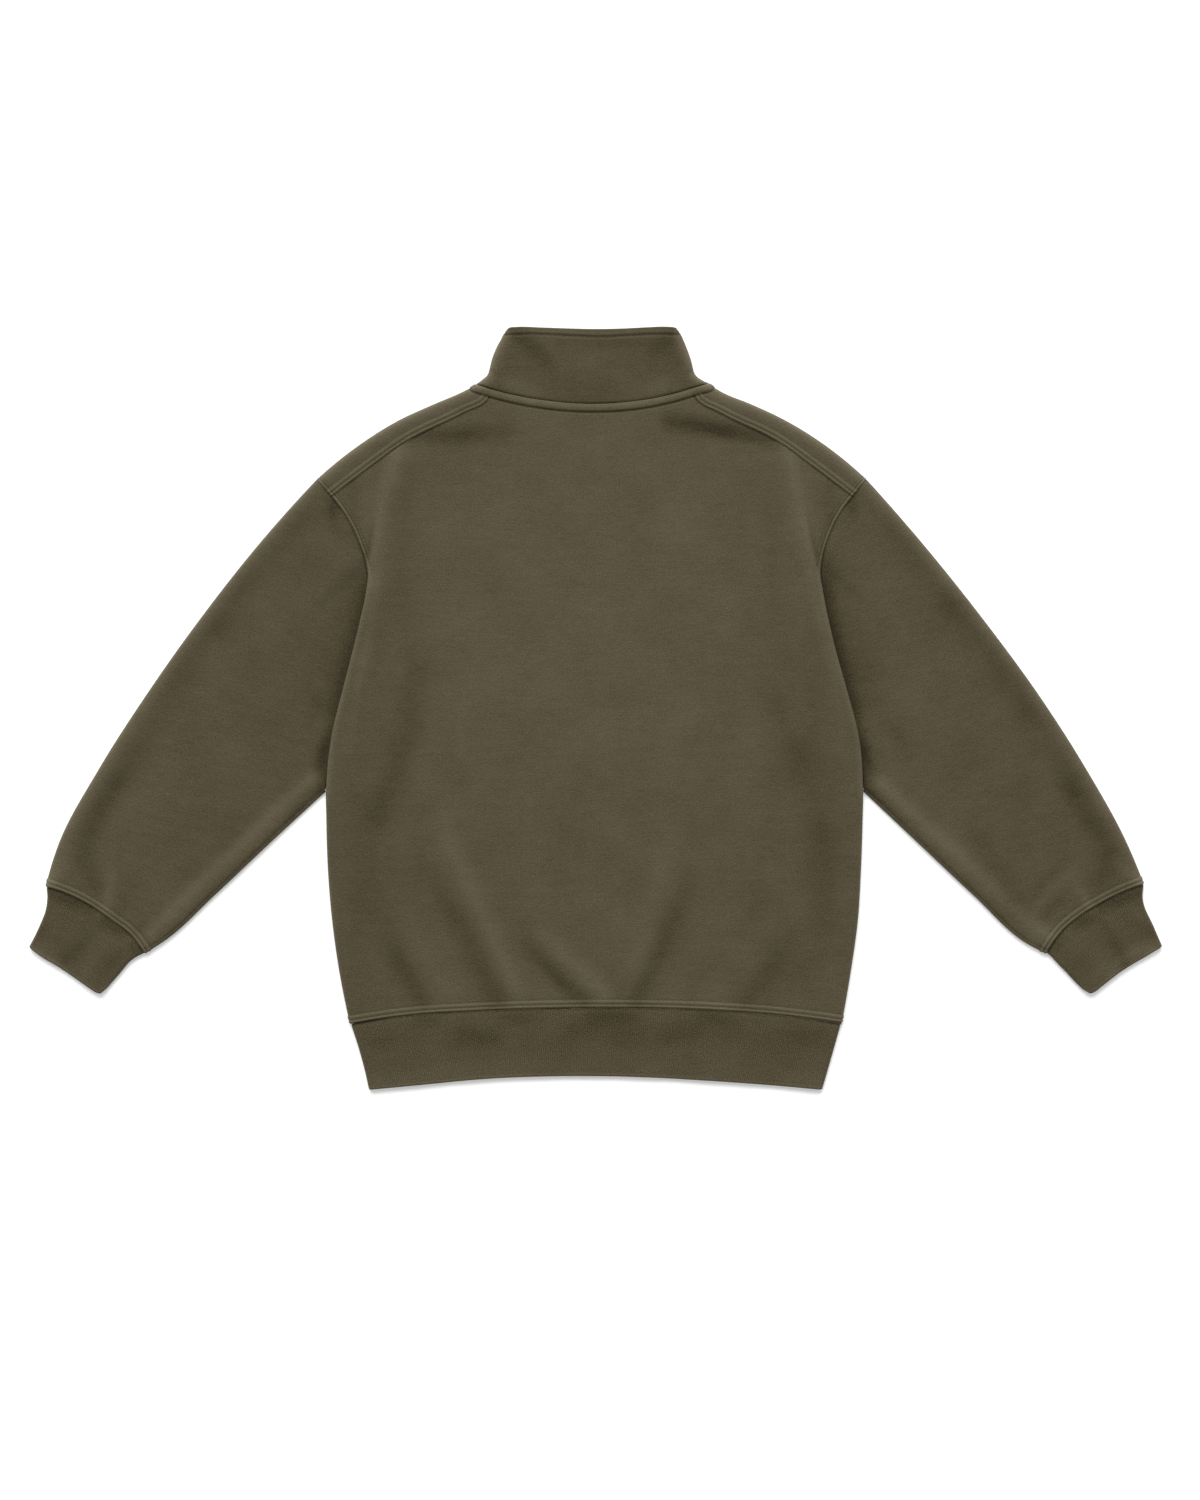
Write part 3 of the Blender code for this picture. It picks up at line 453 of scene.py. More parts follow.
LEFT = SidePlan(
    name="left",
    sign=-1.0,
    edge=Curve([(row[1], row[0], *row[3:]) for row in BODY_SECTIONS]),
    shoulder_fold=Curve([
        (-293.5, 239.9), (-248.3, 276.7), (-206.3, 302.9),
        (-169.6, 319.7), (-140.2, 332.3), (-124.5, 340.5),
    ]),
    shoulder_seam=Curve([
        (-277.0, 222.0), (-235.7, 253.6), (-196.9, 280.9),
        (-139.1, 309.2), (-112.9, 324.0), (-108.5, 335.5),
    ]),
    sleeve_outer=Curve([
        (-293.5, 239.9), (-354.4, 171.7), (-416.3, 92.9), (-472.0, 14.2),
        (-522.4, -64.6), (-564.4, -143.3), (-577.5, -187.0),
    ]),
    sleeve_inner=Curve([
        (-283.4, -87.2), (-343.9, -143.3), (-399.5, -195.8), (-454.1, -245.2), (-474.1, -257.5),
    ]),
    cuff_seam=Curve([
        (-577.5, -187.0), (-536.0, -204.2), (-507.7, -223.1), (-491.9, -234.7), (-474.1, -257.5),
    ]),
    cuff_outer=Curve([
        (-577.0, -188.0), (-575.9, -195.0), (-576.2, -203.5), (-578.2, -213.8),
        (-582.4, -224.4), (-588.6, -238.0), (-595.2, -250.6),
    ]),
    cuff_inner=Curve([
        (-474.2, -257.8), (-481.0, -260.4), (-489.8, -266.8),
        (-497.4, -275.8), (-505.8, -285.6), (-516.0, -297.2),
    ]),
    cuff_end=Curve([
        (-595.2, -250.6), (-583.3, -259.9), (-562.3, -272.6), (-541.3, -287.0),
        (-531.0, -294.2), (-525.0, -298.0), (-520.5, -299.3), (-516.0, -297.2),
    ]),
    hem_side=Curve([(-257.0, -332.0), (-246.2, -365.9), (-238.0, -400.5)]),
    collar_side=Curve([
        (-124.9, 341.2), (-118.5, 345.5), (-113.4, 350.5), (-111.2, 357.0),
        (-109.2, 365.5), (-104.0, 379.0), (-98.6, 389.0), (-96.6, 393.0),
    ]),
)
RIGHT = SidePlan(
    name="right",
    sign=1.0,
    edge=Curve([(row[2], row[0], *row[3:]) for row in BODY_SECTIONS]),
    shoulder_fold=Curve([
        (285.0, 240.2), (241.0, 276.7), (199.0, 302.9),
        (163.3, 319.7), (132.8, 332.3), (118.0, 341.5),
    ]),
    shoulder_seam=Curve([
        (269.5, 222.0), (228.0, 253.6), (189.5, 280.9),
        (131.5, 309.2), (105.4, 325.0), (101.5, 337.0),
    ]),
    sleeve_outer=Curve([
        (285.0, 240.2), (344.9, 171.7), (407.9, 92.9), (465.7, 14.2),
        (516.1, -64.6), (559.1, -143.3), (576.0, -184.5),
    ]),
    sleeve_inner=Curve([
        (280.7, -86.6), (340.7, -143.3), (396.4, -195.8), (455.2, -248.3), (474.1, -257.5),
    ]),
    cuff_seam=Curve([
        (576.0, -184.5), (529.7, -205.3), (506.6, -220.0), (487.7, -236.8), (474.1, -257.5),
    ]),
    cuff_outer=Curve([
        (576.2, -185.6), (574.9, -193.0), (575.2, -202.0), (577.4, -210.0),
        (581.4, -218.5), (585.6, -227.0), (589.2, -235.5), (595.4, -249.8),
    ]),
    cuff_inner=Curve([
        (474.2, -257.8), (477.9, -260.1), (481.9, -264.4), (485.8, -268.6), (494.0, -276.9),
        (501.6, -285.3), (509.8, -293.4), (515.0, -297.8),
    ]),
    cuff_end=Curve([
        (595.4, -249.8), (579.1, -259.9), (564.4, -268.4), (551.0, -276.9), (540.2, -285.1),
        (530.0, -293.2), (524.5, -297.5), (520.0, -299.2), (515.0, -297.8),
    ]),
    hem_side=Curve([(257.6, -331.8), (248.0, -365.9), (238.0, -400.5)]),
    collar_side=Curve([
        (118.4, 342.3), (109.5, 346.2), (104.2, 351.4), (102.2, 357.5),
        (100.8, 364.0), (98.0, 372.5), (94.0, 383.0), (89.3, 393.4),
    ]),
)
SIDES = (LEFT, RIGHT)
NECK_SEAM = Curve([(-108.5, 335.5), (-55.0, 324.0), (0.0, 320.3), (52.0, 324.5), (101.5, 337.0)])
HEM_SEAM = Curve([
    (-257.8, -331.5), (-192.7, -322.0), (-121.3, -317.6), (0.0, -314.5),
    (121.3, -317.0), (192.7, -322.0), (258.4, -330.5),
])
HEM_END = Curve([
    (-238.0, -400.5), (-182.2, -395.3), (-121.3, -389.5),
    (7.9, -386.2), (133.9, -392.0), (238.0, -400.5),
])
COLLAR_TOP = Curve([
    (-96.6, 393.0), (-94.4, 397.2), (-90.4, 399.8), (-84.0, 400.5), (-58.0, 400.0), (-28.0, 399.0),
    (0.0, 398.4), (30.0, 399.0), (54.0, 400.2), (76.0, 400.7), (83.0, 400.0), (87.4, 397.6), (89.3, 393.4),
])
COLLAR_STITCH = Curve([
    (-95.5, 392.0), (-72.0, 393.2), (-44.0, 392.4), (-15.0, 390.9),
    (8.0, 390.2), (29.0, 391.4), (62.0, 393.0), (88.6, 392.6),
])
COLLAR_FRONT_BENDS = [(-77.0, 374.0), (-41.0, 354.0)]
COLLAR_FRONT_Y = 347.0


def neck_line() -> Array:
    """The neck seam as it shows from above, from shoulder fold to shoulder fold."""
    ends = [side.shoulder_fold.line[-1] for side in SIDES]
    return np.vstack([ends[0], NECK_SEAM.line, ends[1]])


NECK_BAND_EDGE = (7.5, 10.0)


def past_neck_band(plan: Array) -> Array:
    """Weight of what the neck's band doesn't cover, at plan points."""
    return eased(nearness(plan, neck_line(), 16.0).distance, *NECK_BAND_EDGE)


def to_slit(side: SidePlan, first: Array, bends: Sequence[tuple[float, float]], stop_y: float) -> Curve:
    """A seam or rim of the front that ends at the zip's slit.

    Args:
        side: The side of the garment.
        first: Plan point where it starts.
        bends: Plan points of the left half that it passes, from the centre line.
        stop_y: Plan Y where it meets the slit.

    Returns:
        Its curve in plan.
    """
    bent = [(centre_x(y) - side.sign * x, y) for x, y in bends]
    return Curve([tuple(first), *bent, (centre_x(stop_y) + side.sign * SLIT_HALF, stop_y)])


def front_neck(side: SidePlan, count: int = 60) -> Array:
    """Plan points of the front neck seam, from the shoulder's foot down to the slit."""
    curve = to_slit(side, SHOULDERS[side.name].foot[-1], NECK_ROW_BENDS, FRONT_NECK_Y)
    return curve.at(np.linspace(0.0, 1.0, count))


def slit_edge(side: SidePlan, low: float, high: float, count: int) -> Array:
    """Plan points of one edge of the zip's slit between two Y values."""
    y = np.linspace(low, high, count)
    return np.column_stack([centre_x(y) + side.sign * SLIT_HALF, y])


def hem_row(x: Array) -> Array:
    """Plan points of the hem seam at each X."""
    return np.column_stack([x, HEM_SEAM.y_at(x)])


# ---------------------------------------------------------------- creases and seams


@dataclass(frozen=True)
class Crease:
    """A soft ridge or trough along a short path.

    A positive rise is a ridge. The shade is painted light, as a share of the cloth's tone:
    painted shade in a trough and painted highlight on a ridge. The strengths are those at its
    start, middle and end, and lean is the share that turns up on its left with the other sign.
    """

    REACH = 4.5
    LEAN_PLACE = 1.7

    path: tuple[tuple[float, float], ...]
    half: float
    rise: float
    shade: float
    strength: tuple[float, float, float] = (0.8, 1.0, 0.8)
    lean: float = 0.0

    def weight(self, plan: Array) -> Array:
        """Strength of the crease at plan points.

        Args:
            plan: The plan points.

        Returns:
            One share for each.
        """
        near = nearness(plan, Curve(self.path).line, self.REACH * self.half)
        past_end = np.sqrt(np.clip(near.distance**2 - near.across**2, 0.0, None))
        beside_it = bell(near.across - self.LEAN_PLACE * self.half, self.half) * bell(past_end, self.half)
        power = np.interp(near.share, (0.0, 0.5, 1.0), self.strength)
        return power * (bell(near.distance, self.half) - self.lean * beside_it)


@dataclass(frozen=True)
class SeamBand:
    """Relief and painted light across a topstitched seam, by distance from the seam line.

    The profile holds distances, heights and shares of tone, which are painted shade in the
    grooves and painted highlight on the ridges. Needles are the distances at which rows of
    stitches show.
    """

    profile: tuple[tuple[float, float, float], ...]
    needles: tuple[float, ...] = ()

    @property
    def width(self) -> float:
        """Distance at which the band ends."""
        return self.profile[-1][0]

    def across(self, distance: Array) -> tuple[Array, Array]:
        """Height, and tone of painted shade and highlight, at distances from the seam."""
        at, height, tone = np.array(self.profile).T
        return np.interp(distance, at, height), np.interp(distance, at, tone)


# Each profile: distance, height, and tone that paints shade in the grooves and highlight on the ridges.
PLAIN_SEAM = SeamBand(((0.0, -0.55, -0.50), (0.9, -0.3, -0.24), (2.0, -0.03, -0.06), (3.4, 0.0, 0.0)))
HEM_BAND = SeamBand(
    (
        (0.0, -0.6, -0.46), (0.7, -0.2, -0.30), (1.4, 0.5, 0.26), (2.3, 0.85, 0.58), (3.3, 0.62, 0.28),
        (4.2, 0.12, -0.34), (5.0, 0.5, 0.14), (6.4, 0.95, 0.42), (7.6, 0.9, 0.38), (8.6, 0.42, 0.04),
        (9.4, -0.02, -0.30), (10.4, 0.0, -0.04), (11.5, 0.0, 0.0),
    ),
    (4.2, 9.3),
)
SHOULDER_BAND = SeamBand(
    (
        (0.0, -0.6, -0.46), (0.7, -0.3, -0.32), (1.5, 0.45, 0.24), (2.3, 0.75, 0.56), (3.3, 0.5, 0.24),
        (4.2, 0.05, -0.32), (5.0, 0.4, 0.12), (6.4, 0.85, 0.42), (7.6, 0.8, 0.36), (8.6, 0.36, 0.05),
        (9.4, 0.0, -0.14), (10.6, 0.0, 0.0),
    ),
    (4.2, 9.3),
)
ARMHOLE_BAND = SeamBand(
    (
        (0.0, -0.5, -0.52), (0.7, -0.2, -0.28), (1.5, 0.25, 0.14), (2.3, 0.42, 0.34), (3.1, 0.2, 0.02),
        (4.0, -0.4, -0.52), (4.9, 0.2, 0.10), (5.8, 0.28, 0.08), (7.0, -0.1, -0.16), (8.2, 0.0, 0.0),
    ),
    (4.1, 7.0),
)
NECK_BAND = SeamBand(
    (
        (0.0, -0.4, -0.40), (0.7, 0.3, -0.12), (1.4, 1.0, 0.50), (2.4, 1.3, 0.46), (4.2, 1.35, 0.18),
        (6.4, 1.25, 0.06), (7.8, 0.85, -0.10), (8.7, 0.1, -0.60), (9.5, -0.45, -0.66), (10.4, -0.1, -0.16),
        (11.4, 0.1, 0.14), (13.0, 0.0, 0.0),
    ),
    (2.0, 7.4),
)
ZIP_BAND = SeamBand(
    (
        (0.0, -0.1, -0.20), (1.2, 0.0, 0.08), (2.4, -0.35, -0.30), (3.4, 0.0, 0.10), (4.6, 0.0, 0.10),
        (5.6, -0.35, -0.30), (6.8, 0.0, 0.0),
    ),
    (2.4, 5.6),
)
COLLAR_EDGE_BAND = SeamBand(
    ((0.0, -0.7, -0.42), (0.8, -0.35, -0.28), (1.8, 0.12, 0.12), (3.2, 0.2, 0.16), (5.0, 0.0, 0.0)), (0.0,)
)


@dataclass
class Surface:
    """Points of a welded outer face, with the relief and tone that are added to them.

    Rise goes along the normals and lift straight up. Tone is a share of the cloth's colour
    and is mostly painted shade and painted highlight along creases, seams, folds and
    outlines. Wall is a share of its thickness.
    """

    UNDER_SHARE = 0.5
    UNDER_LIFT = 0.9
    UNDER_TONE = 0.4
    UPPER_FROM = 4.0
    LOWER_TO = 3.0
    BAND_MARGIN = 4.0
    THINNEST = 0.06
    FOLD_FACING = (0.62, 0.2)
    TUCK_FACING = (0.05, 0.28)

    points: Array
    normals: Array
    cut: Array
    rise: Array = field(init=False)
    lift: Array = field(init=False)
    tone: Array = field(init=False)
    wall: Array = field(init=False)

    def __post_init__(self) -> None:
        count = len(self.points)
        self.rise = np.zeros(count)
        self.lift = np.zeros(count)
        self.tone = np.zeros(count)
        self.wall = np.ones(count)

    @property
    def plan(self) -> Array:
        """Plan points."""
        return self.points[:, :2]

    @property
    def height(self) -> Array:
        """Heights above the surface that the garment lies on, before relief is added."""
        return self.points[:, 2]

    def layers(self, upper_from: float = UPPER_FROM, lower_to: float = LOWER_TO) -> tuple[Array, Array]:
        """Which points are in the layer above, and which in the one below."""
        return self.height > upper_from, self.height < lower_to

    @property
    def up(self) -> Array:
        """Share by which each point faces up."""
        return np.clip(self.normals[:, 2], 0.0, 1.0)

    @property
    def down(self) -> Array:
        """Share by which each point faces down."""
        return np.clip(-self.normals[:, 2], 0.0, 1.0)

    def add_creases(self, creases: Sequence[Crease], where: Array | float = 1.0) -> None:
        """Shapes the points that face up, and only ever lifts those that face down; paints each
        crease's shade into the tone as painted shade and painted highlight.

        Args:
            creases: Ridges and troughs.
            where: Weight of the creases at each point.
        """
        for crease in creases:
            weight = crease.weight(self.plan) * where
            height = crease.rise * weight
            under = np.clip(-self.UNDER_SHARE * height, 0.0, self.UNDER_LIFT)
            self.lift += height * self.up + under * self.down
            self.tone += crease.shade * weight * (self.up + self.UNDER_TONE * self.down)

    def add_band(self, band: SeamBand, line: Array, where: Array | float = 1.0) -> None:
        """Sets a topstitched band along a seam, with painted shade in its grooves and painted
        highlight on its ridges; what lies on the surface gets its grooves only.

        Args:
            band: The band's relief and tone.
            line: Plan points of the seam.
            where: Weight of the band at each point.
        """
        near = nearness(self.plan, line, band.width + self.BAND_MARGIN)
        close = (near.distance < band.width) * where
        height, tone = band.across(near.distance)
        flat = self.down * (self.height < self.UPPER_FROM)
        crown = max(0.0, max(knot[1] for knot in band.profile))
        self.rise += (height - crown * flat) * np.where(flat > 0.0, (height < crown) * 1.0, 1.0) * close
        self.tone += tone * close

    def round_rim(self, line: Array, wall: float, where: Array | float = 1.0) -> None:
        """Rounds the edge of a folded-over rim.

        Args:
            line: Plan points of the rim.
            wall: Thickness of the cloth there.
            where: Weight of the rounding at each point.
        """
        half = wall / 2.0
        near = nearness(self.plan, line, 2.0 * wall)
        inside = np.clip(near.distance / half, 0.0, 1.0)
        full = np.sqrt(np.clip(1.0 - (1.0 - inside) ** 2, 0.0, 1.0))
        full = 1.0 - (1.0 - full) * where
        self.rise -= half * (1.0 - full)
        self.wall *= np.clip(full, self.THINNEST, 1.0)

    def paint_outline_highlight(self, line: Array, share: float, half: float) -> None:
        """Paints highlight onto the cloth towards an outline.

        Args:
            line: Plan points of the outline.
            share: Tone gained on it.
            half: Distance over which that dies out.
        """
        self.tone += share * bell(nearness(self.plan, line, 3.0 * half).distance, half)

    def paint_fold_light(self, fold_highlight: float, tuck_shade: float = 0.0) -> None:
        """Paints highlight where the cloth turns over a fold, and paints shade on what tucks in below.

        Args:
            fold_highlight: Share of tone gained on the fold.
            tuck_shade: Share lost under it.
        """
        (fold, fold_half), (tuck, tuck_half) = self.FOLD_FACING, self.TUCK_FACING
        facing = self.normals[:, 2]
        self.tone += fold_highlight * bell(facing - fold, fold_half) - tuck_shade * bell(facing - tuck, tuck_half)


# ---------------------------------------------------------------- cloth pieces


HALF_TURN = np.linspace(0.0, math.pi, 13)


class FoldEdge:
    """A folded edge row by row: crests, outward normals and fold radii.

    Args:
        curve: Its outermost plan points.
        shares: Where along the curve the rows are.
        inside: A plan point inside the fold.
        radii: Fold radii, evenly spaced along the curve.
        first: Crest and normal that the first row takes.
        blend: Share of the curve over which the first row's own place dies out.
    """

    def __init__(
        self,
        curve: Curve,
        shares: Array,
        inside: Sequence[float],
        radii: Sequence[float],
        first: tuple[Array, Array] | None = None,
        blend: float = 0.1,
    ) -> None:
        points = curve.at(shares)[:, :2]
        self.normals = row_normals(points, inside)
        self.radii = np.interp(shares, np.linspace(0.0, 1.0, len(radii)), radii)[:, None]
        self.crests = points - self.normals * self.radii
        if first is not None:
            share = (1.0 - eased(shares, 0.0, blend))[:, None]
            self.crests = self.crests + (first[0] - self.crests[0]) * share
            self.normals = unit(self.normals * (1.0 - share) + first[1] * share)
        self.shares = shares
        self.lead = np.zeros_like(self.crests)

    def meet(self, corner: Array, reach: float) -> None:
        """Runs the last crests on to a corner of the open end, past the fold's outermost points.

        Args:
            corner: Plan point of the corner.
            reach: Share of the curve over which they get there.
        """
        share = eased(self.shares, 1.0 - reach, 1.0)[:, None]
        self.lead = (corner - self.crests[-1]) * share
        self.crests = self.crests + self.lead

    @property
    def tops(self) -> Array:
        """Height of the fold's crest in each row."""
        return 2.0 * self.radii[:, 0]

    def half_turn(self, turns: Array = HALF_TURN) -> Array:
        """The fold's points, from the top of its crests round to the bottom."""
        reach = self.normals * self.radii - self.lead
        out = reach[:, None] * np.sin(turns)[None, :, None]
        return np.dstack([self.crests[:, None] + out, self.radii * (1.0 + np.cos(turns))])

    def cut_points(self, turns: Array = HALF_TURN) -> Array:
        """The fold's plan points once the cloth is opened out flat beside its crests."""
        out = self.normals[:, None] * self.radii[:, None] * turns[None, :, None]
        return self.crests[:, None] + out


class Shoulder:
    """Where the front rolls over one shoulder, from the sleeve to the neck.

    Args:
        side: The side of the garment.
        strip: Shares across the flat strip at the sleeve.
        spans: How many columns lie between that strip and the fine ones at the neck.
    """

    RADIUS = 4.2
    FLAT_STRIP = 12.0
    NECK_STRIP = 15.0
    NECK_COLUMNS = 19

    def __init__(self, side: SidePlan, strip: Array, spans: int) -> None:
        share = self.FLAT_STRIP / side.shoulder_fold.length
        fine = 1.0 - self.NECK_STRIP / side.shoulder_fold.length
        middle = np.linspace(share, fine, spans + 1)[1:]
        neck = np.linspace(fine, 1.0, self.NECK_COLUMNS)[1:]
        shares = np.r_[share * (1.0 - strip[::-1]), middle, neck]
        self.fold, self.seam = side.shoulder_fold.at(shares), side.shoulder_seam.at(shares)
        self.outward = unit(self.fold - self.seam)
        self.foot = self.fold - self.outward * self.RADIUS
        self.strip_spans = len(strip) - 1

    def along(self, index: int) -> Array:
        """Unit direction along the shoulder at one of its ends, away from its middle.

        Args:
            index: Column at that end.

        Returns:
            A plan vector.
        """
        normal = self.outward[index]
        tangent = np.array([normal[1], -normal[0]])
        away = tangent @ (self.fold[index] - self.fold[len(self.fold) // 2]) > 0.0
        return tangent if away else -tangent

    def wrap(self, step: float) -> Array:
        """The front's cloth from its foot on the surface, over the fold, back to the seam.

        Args:
            step: Distance between rows above the fold.

        Returns:
            Rows of columns of X, Y and Z.
        """
        rows = []
        for turn in HALF_TURN:
            plan = self.foot + self.outward * self.RADIUS * math.sin(turn)
            height = np.full(len(plan), self.RADIUS * (1.0 - math.cos(turn)))
            rows.append(np.column_stack([plan, height]))
        seam_z = body_height(self.seam, np.zeros(len(self.seam)))
        stop = self.seam + self.outward * SEAM_GAP
        count = round(float(np.linalg.norm(self.foot - stop, axis=1).max()) / step)
        for share in np.linspace(0.0, 1.0, count + 1)[1:]:
            top = 2.0 * self.RADIUS
            height = top + (seam_z - top) * eased(share, 0.0, 1.0)
            rows.append(np.column_stack([self.foot + (stop - self.foot) * share, height]))
        return np.array(rows)


BODY_HEIGHT = 6.2
NECK_RISE, NECK_SPREAD = 2.4, 110.0
NECK_RISE_FROM, NECK_RISE_FULL = 190.0, 325.0
SEAM_RISE, SEAM_SPREAD = 0.6, 40.0
STAND_REACH = 28.0


def body_height(plan: Array, from_seam: Array) -> Array:
    """Top of the back away from its edges.

    Args:
        plan: Plan points.
        from_seam: Distance below the back's top edge.

    Returns:
        Heights above the surface.
    """
    x, y = plan[..., 0], plan[..., 1]
    neck = NECK_RISE * bell(x - centre_x(y), NECK_SPREAD) * eased(y, NECK_RISE_FROM, NECK_RISE_FULL)
    return BODY_HEIGHT + neck + SEAM_RISE * bell(from_seam, SEAM_SPREAD)


def add_stand(height: Array, plan: Array, first: FoldEdge | BodyEdge, last: FoldEdge | BodyEdge) -> Array:
    """Raises a layer's edges to the tops of the folds that it runs into.

    Args:
        height: Heights of the layer's rows and columns.
        plan: Its plan points.
        first: The fold along its first column.
        last: The fold along its last column.

    Returns:
        New heights.
    """
    raised = height
    for column, edge in ((0, first), (-1, last)):
        distance = np.linalg.norm(plan - edge.crests[:, None], axis=-1)
        stand = edge.tops - height[:, column]
        raised = raised + stand[:, None] * bell(distance, STAND_REACH)
    raised[:, 0], raised[:, -1] = first.tops, last.tops
    return raised


def flat_cut(points: Array, angle: float = 0.0, opened: Array | None = None) -> Array:
    """Adds the cloth's own coordinates, with its grain turned to run along V.

    Args:
        points: Rows of columns of X, Y and Z.
        angle: Degrees from +Y to the grain, to the left.
        opened: Plan points of the cloth opened out flat, where it isn't flat already.

    Returns:
        The points with two more numbers each.
    """
    turn = math.radians(angle)
    flat = points if opened is None else opened
    x, y = flat[..., 0], flat[..., 1]
    across = x * math.cos(turn) + y * math.sin(turn)
    along = y * math.cos(turn) - x * math.sin(turn)
    return np.dstack([points, across, along])


WELD_DISTANCE = 0.03


def welded(name: str, sheets: Sequence[Array]) -> bpy.types.Mesh:
    """A mesh of sheets welded where they meet, its faces outwards, with a map of the cut.

    Args:
        name: Name of the mesh.
        sheets: Rows of columns of X, Y, Z and the cloth's own two coordinates. A face is
            left out where a corner isn't a number.

    Returns:
        The mesh, in metres.
    """
    points, quads = [], []
    base = 0
    for sheet in sheets:
        rows, cols = sheet.shape[:2]
        index = base + np.arange(rows * cols).reshape(rows, cols)
        corners = (index[:-1, :-1], index[1:, :-1], index[1:, 1:], index[:-1, 1:])
        quads.append(np.stack(corners, axis=-1).reshape(-1, 4))
        points.append(sheet.reshape(-1, 5))
        base += rows * cols
    points, quads = np.vstack(points), np.vstack(quads)
    mesh = bpy.data.meshes.new(name)
    mesh.from_pydata((points[:, :3] * MM).tolist(), [], quads.tolist())
    layer = mesh.uv_layers.new(name="cut")
    layer.uv.foreach_set("vector", (points[quads.ravel(), 3:] * MM).astype(np.float32).ravel())
    work = bmesh.new()
    work.from_mesh(mesh)
    bmesh.ops.remove_doubles(work, verts=work.verts, dist=WELD_DISTANCE * MM)
    bmesh.ops.recalc_face_normals(work, faces=work.faces)
    work.normal_update()
    highest = max(work.faces, key=lambda face: face.calc_center_median().z)
    if highest.normal.z < 0.0:
        bmesh.ops.reverse_faces(work, faces=work.faces)
    work.to_mesh(mesh)
    work.free()
    return mesh


def surface_of(mesh: bpy.types.Mesh) -> Surface:
    """The points, normals and cut coordinates of a welded mesh, in millimetres.

    Args:
        mesh: The mesh.

    Returns:
        Its surface, with nothing added yet.
    """
    count = len(mesh.vertices)
    points, normals = np.zeros(count * 3), np.zeros(count * 3)
    mesh.vertices.foreach_get("co", points)
    mesh.vertex_normals.foreach_get("vector", normals)
    corners = len(mesh.loops)
    vertex, cut = np.zeros(corners, int), np.zeros(corners * 2)
    mesh.loops.foreach_get("vertex_index", vertex)
    mesh.uv_layers["cut"].uv.foreach_get("vector", cut)
    place = np.zeros((count, 2))
    place[vertex] = cut.reshape(-1, 2) / MM
    return Surface(points.reshape(-1, 3) / MM, normals.reshape(-1, 3), place)


CLOUDS = ((0.42, SoftNoise(11, 62.0)), (0.17, SoftNoise(12, 24.0, 1.1)), (0.035, SoftNoise(13, 9.0, 0.3)))


def clouds(plan: Array, size: float = 1.0) -> Array:
    """The small uneven heights of washed cloth that was smoothed out by hand."""
    return size * sum(height * noise.at(plan) for height, noise in CLOUDS)


GATHER_WAVES = ((1.0, SoftNoise(21, 13.0, 0.0)), (0.45, SoftNoise(22, 6.5, 0.0)))
GATHER_STRETCH = 0.12


def gathers(surface: Surface, line: Array, reach: float, size: float) -> Array:
    """Small puckers that run away from a seam where ribbing draws the cloth in.

    Args:
        surface: The piece's surface.
        line: Plan points of the seam.
        reach: How far from the seam they die out.
        size: Height of the larger ones.

    Returns:
        Heights for each point.
    """
    near = nearness(surface.plan, line, 3.0 * reach)
    along = np.column_stack([near.share * plan_length(line), GATHER_STRETCH * near.distance])
    wave = sum(share * noise.at(along) for share, noise in GATHER_WAVES)
    return size * wave * bell(near.distance, reach)


def add_wall(made: bpy.types.Object, thickness: float) -> bpy.types.SolidifyModifier:
    """Gives a sheet of outer faces its thickness in millimetres, towards its inside.

    Args:
        made: The object of the sheet.
        thickness: Thickness of its wall.

    Returns:
        The modifier.
    """
    shell = made.modifiers.new("Wall", "SOLIDIFY")
    shell.thickness = thickness * MM
    shell.offset = -1.0
    return shell


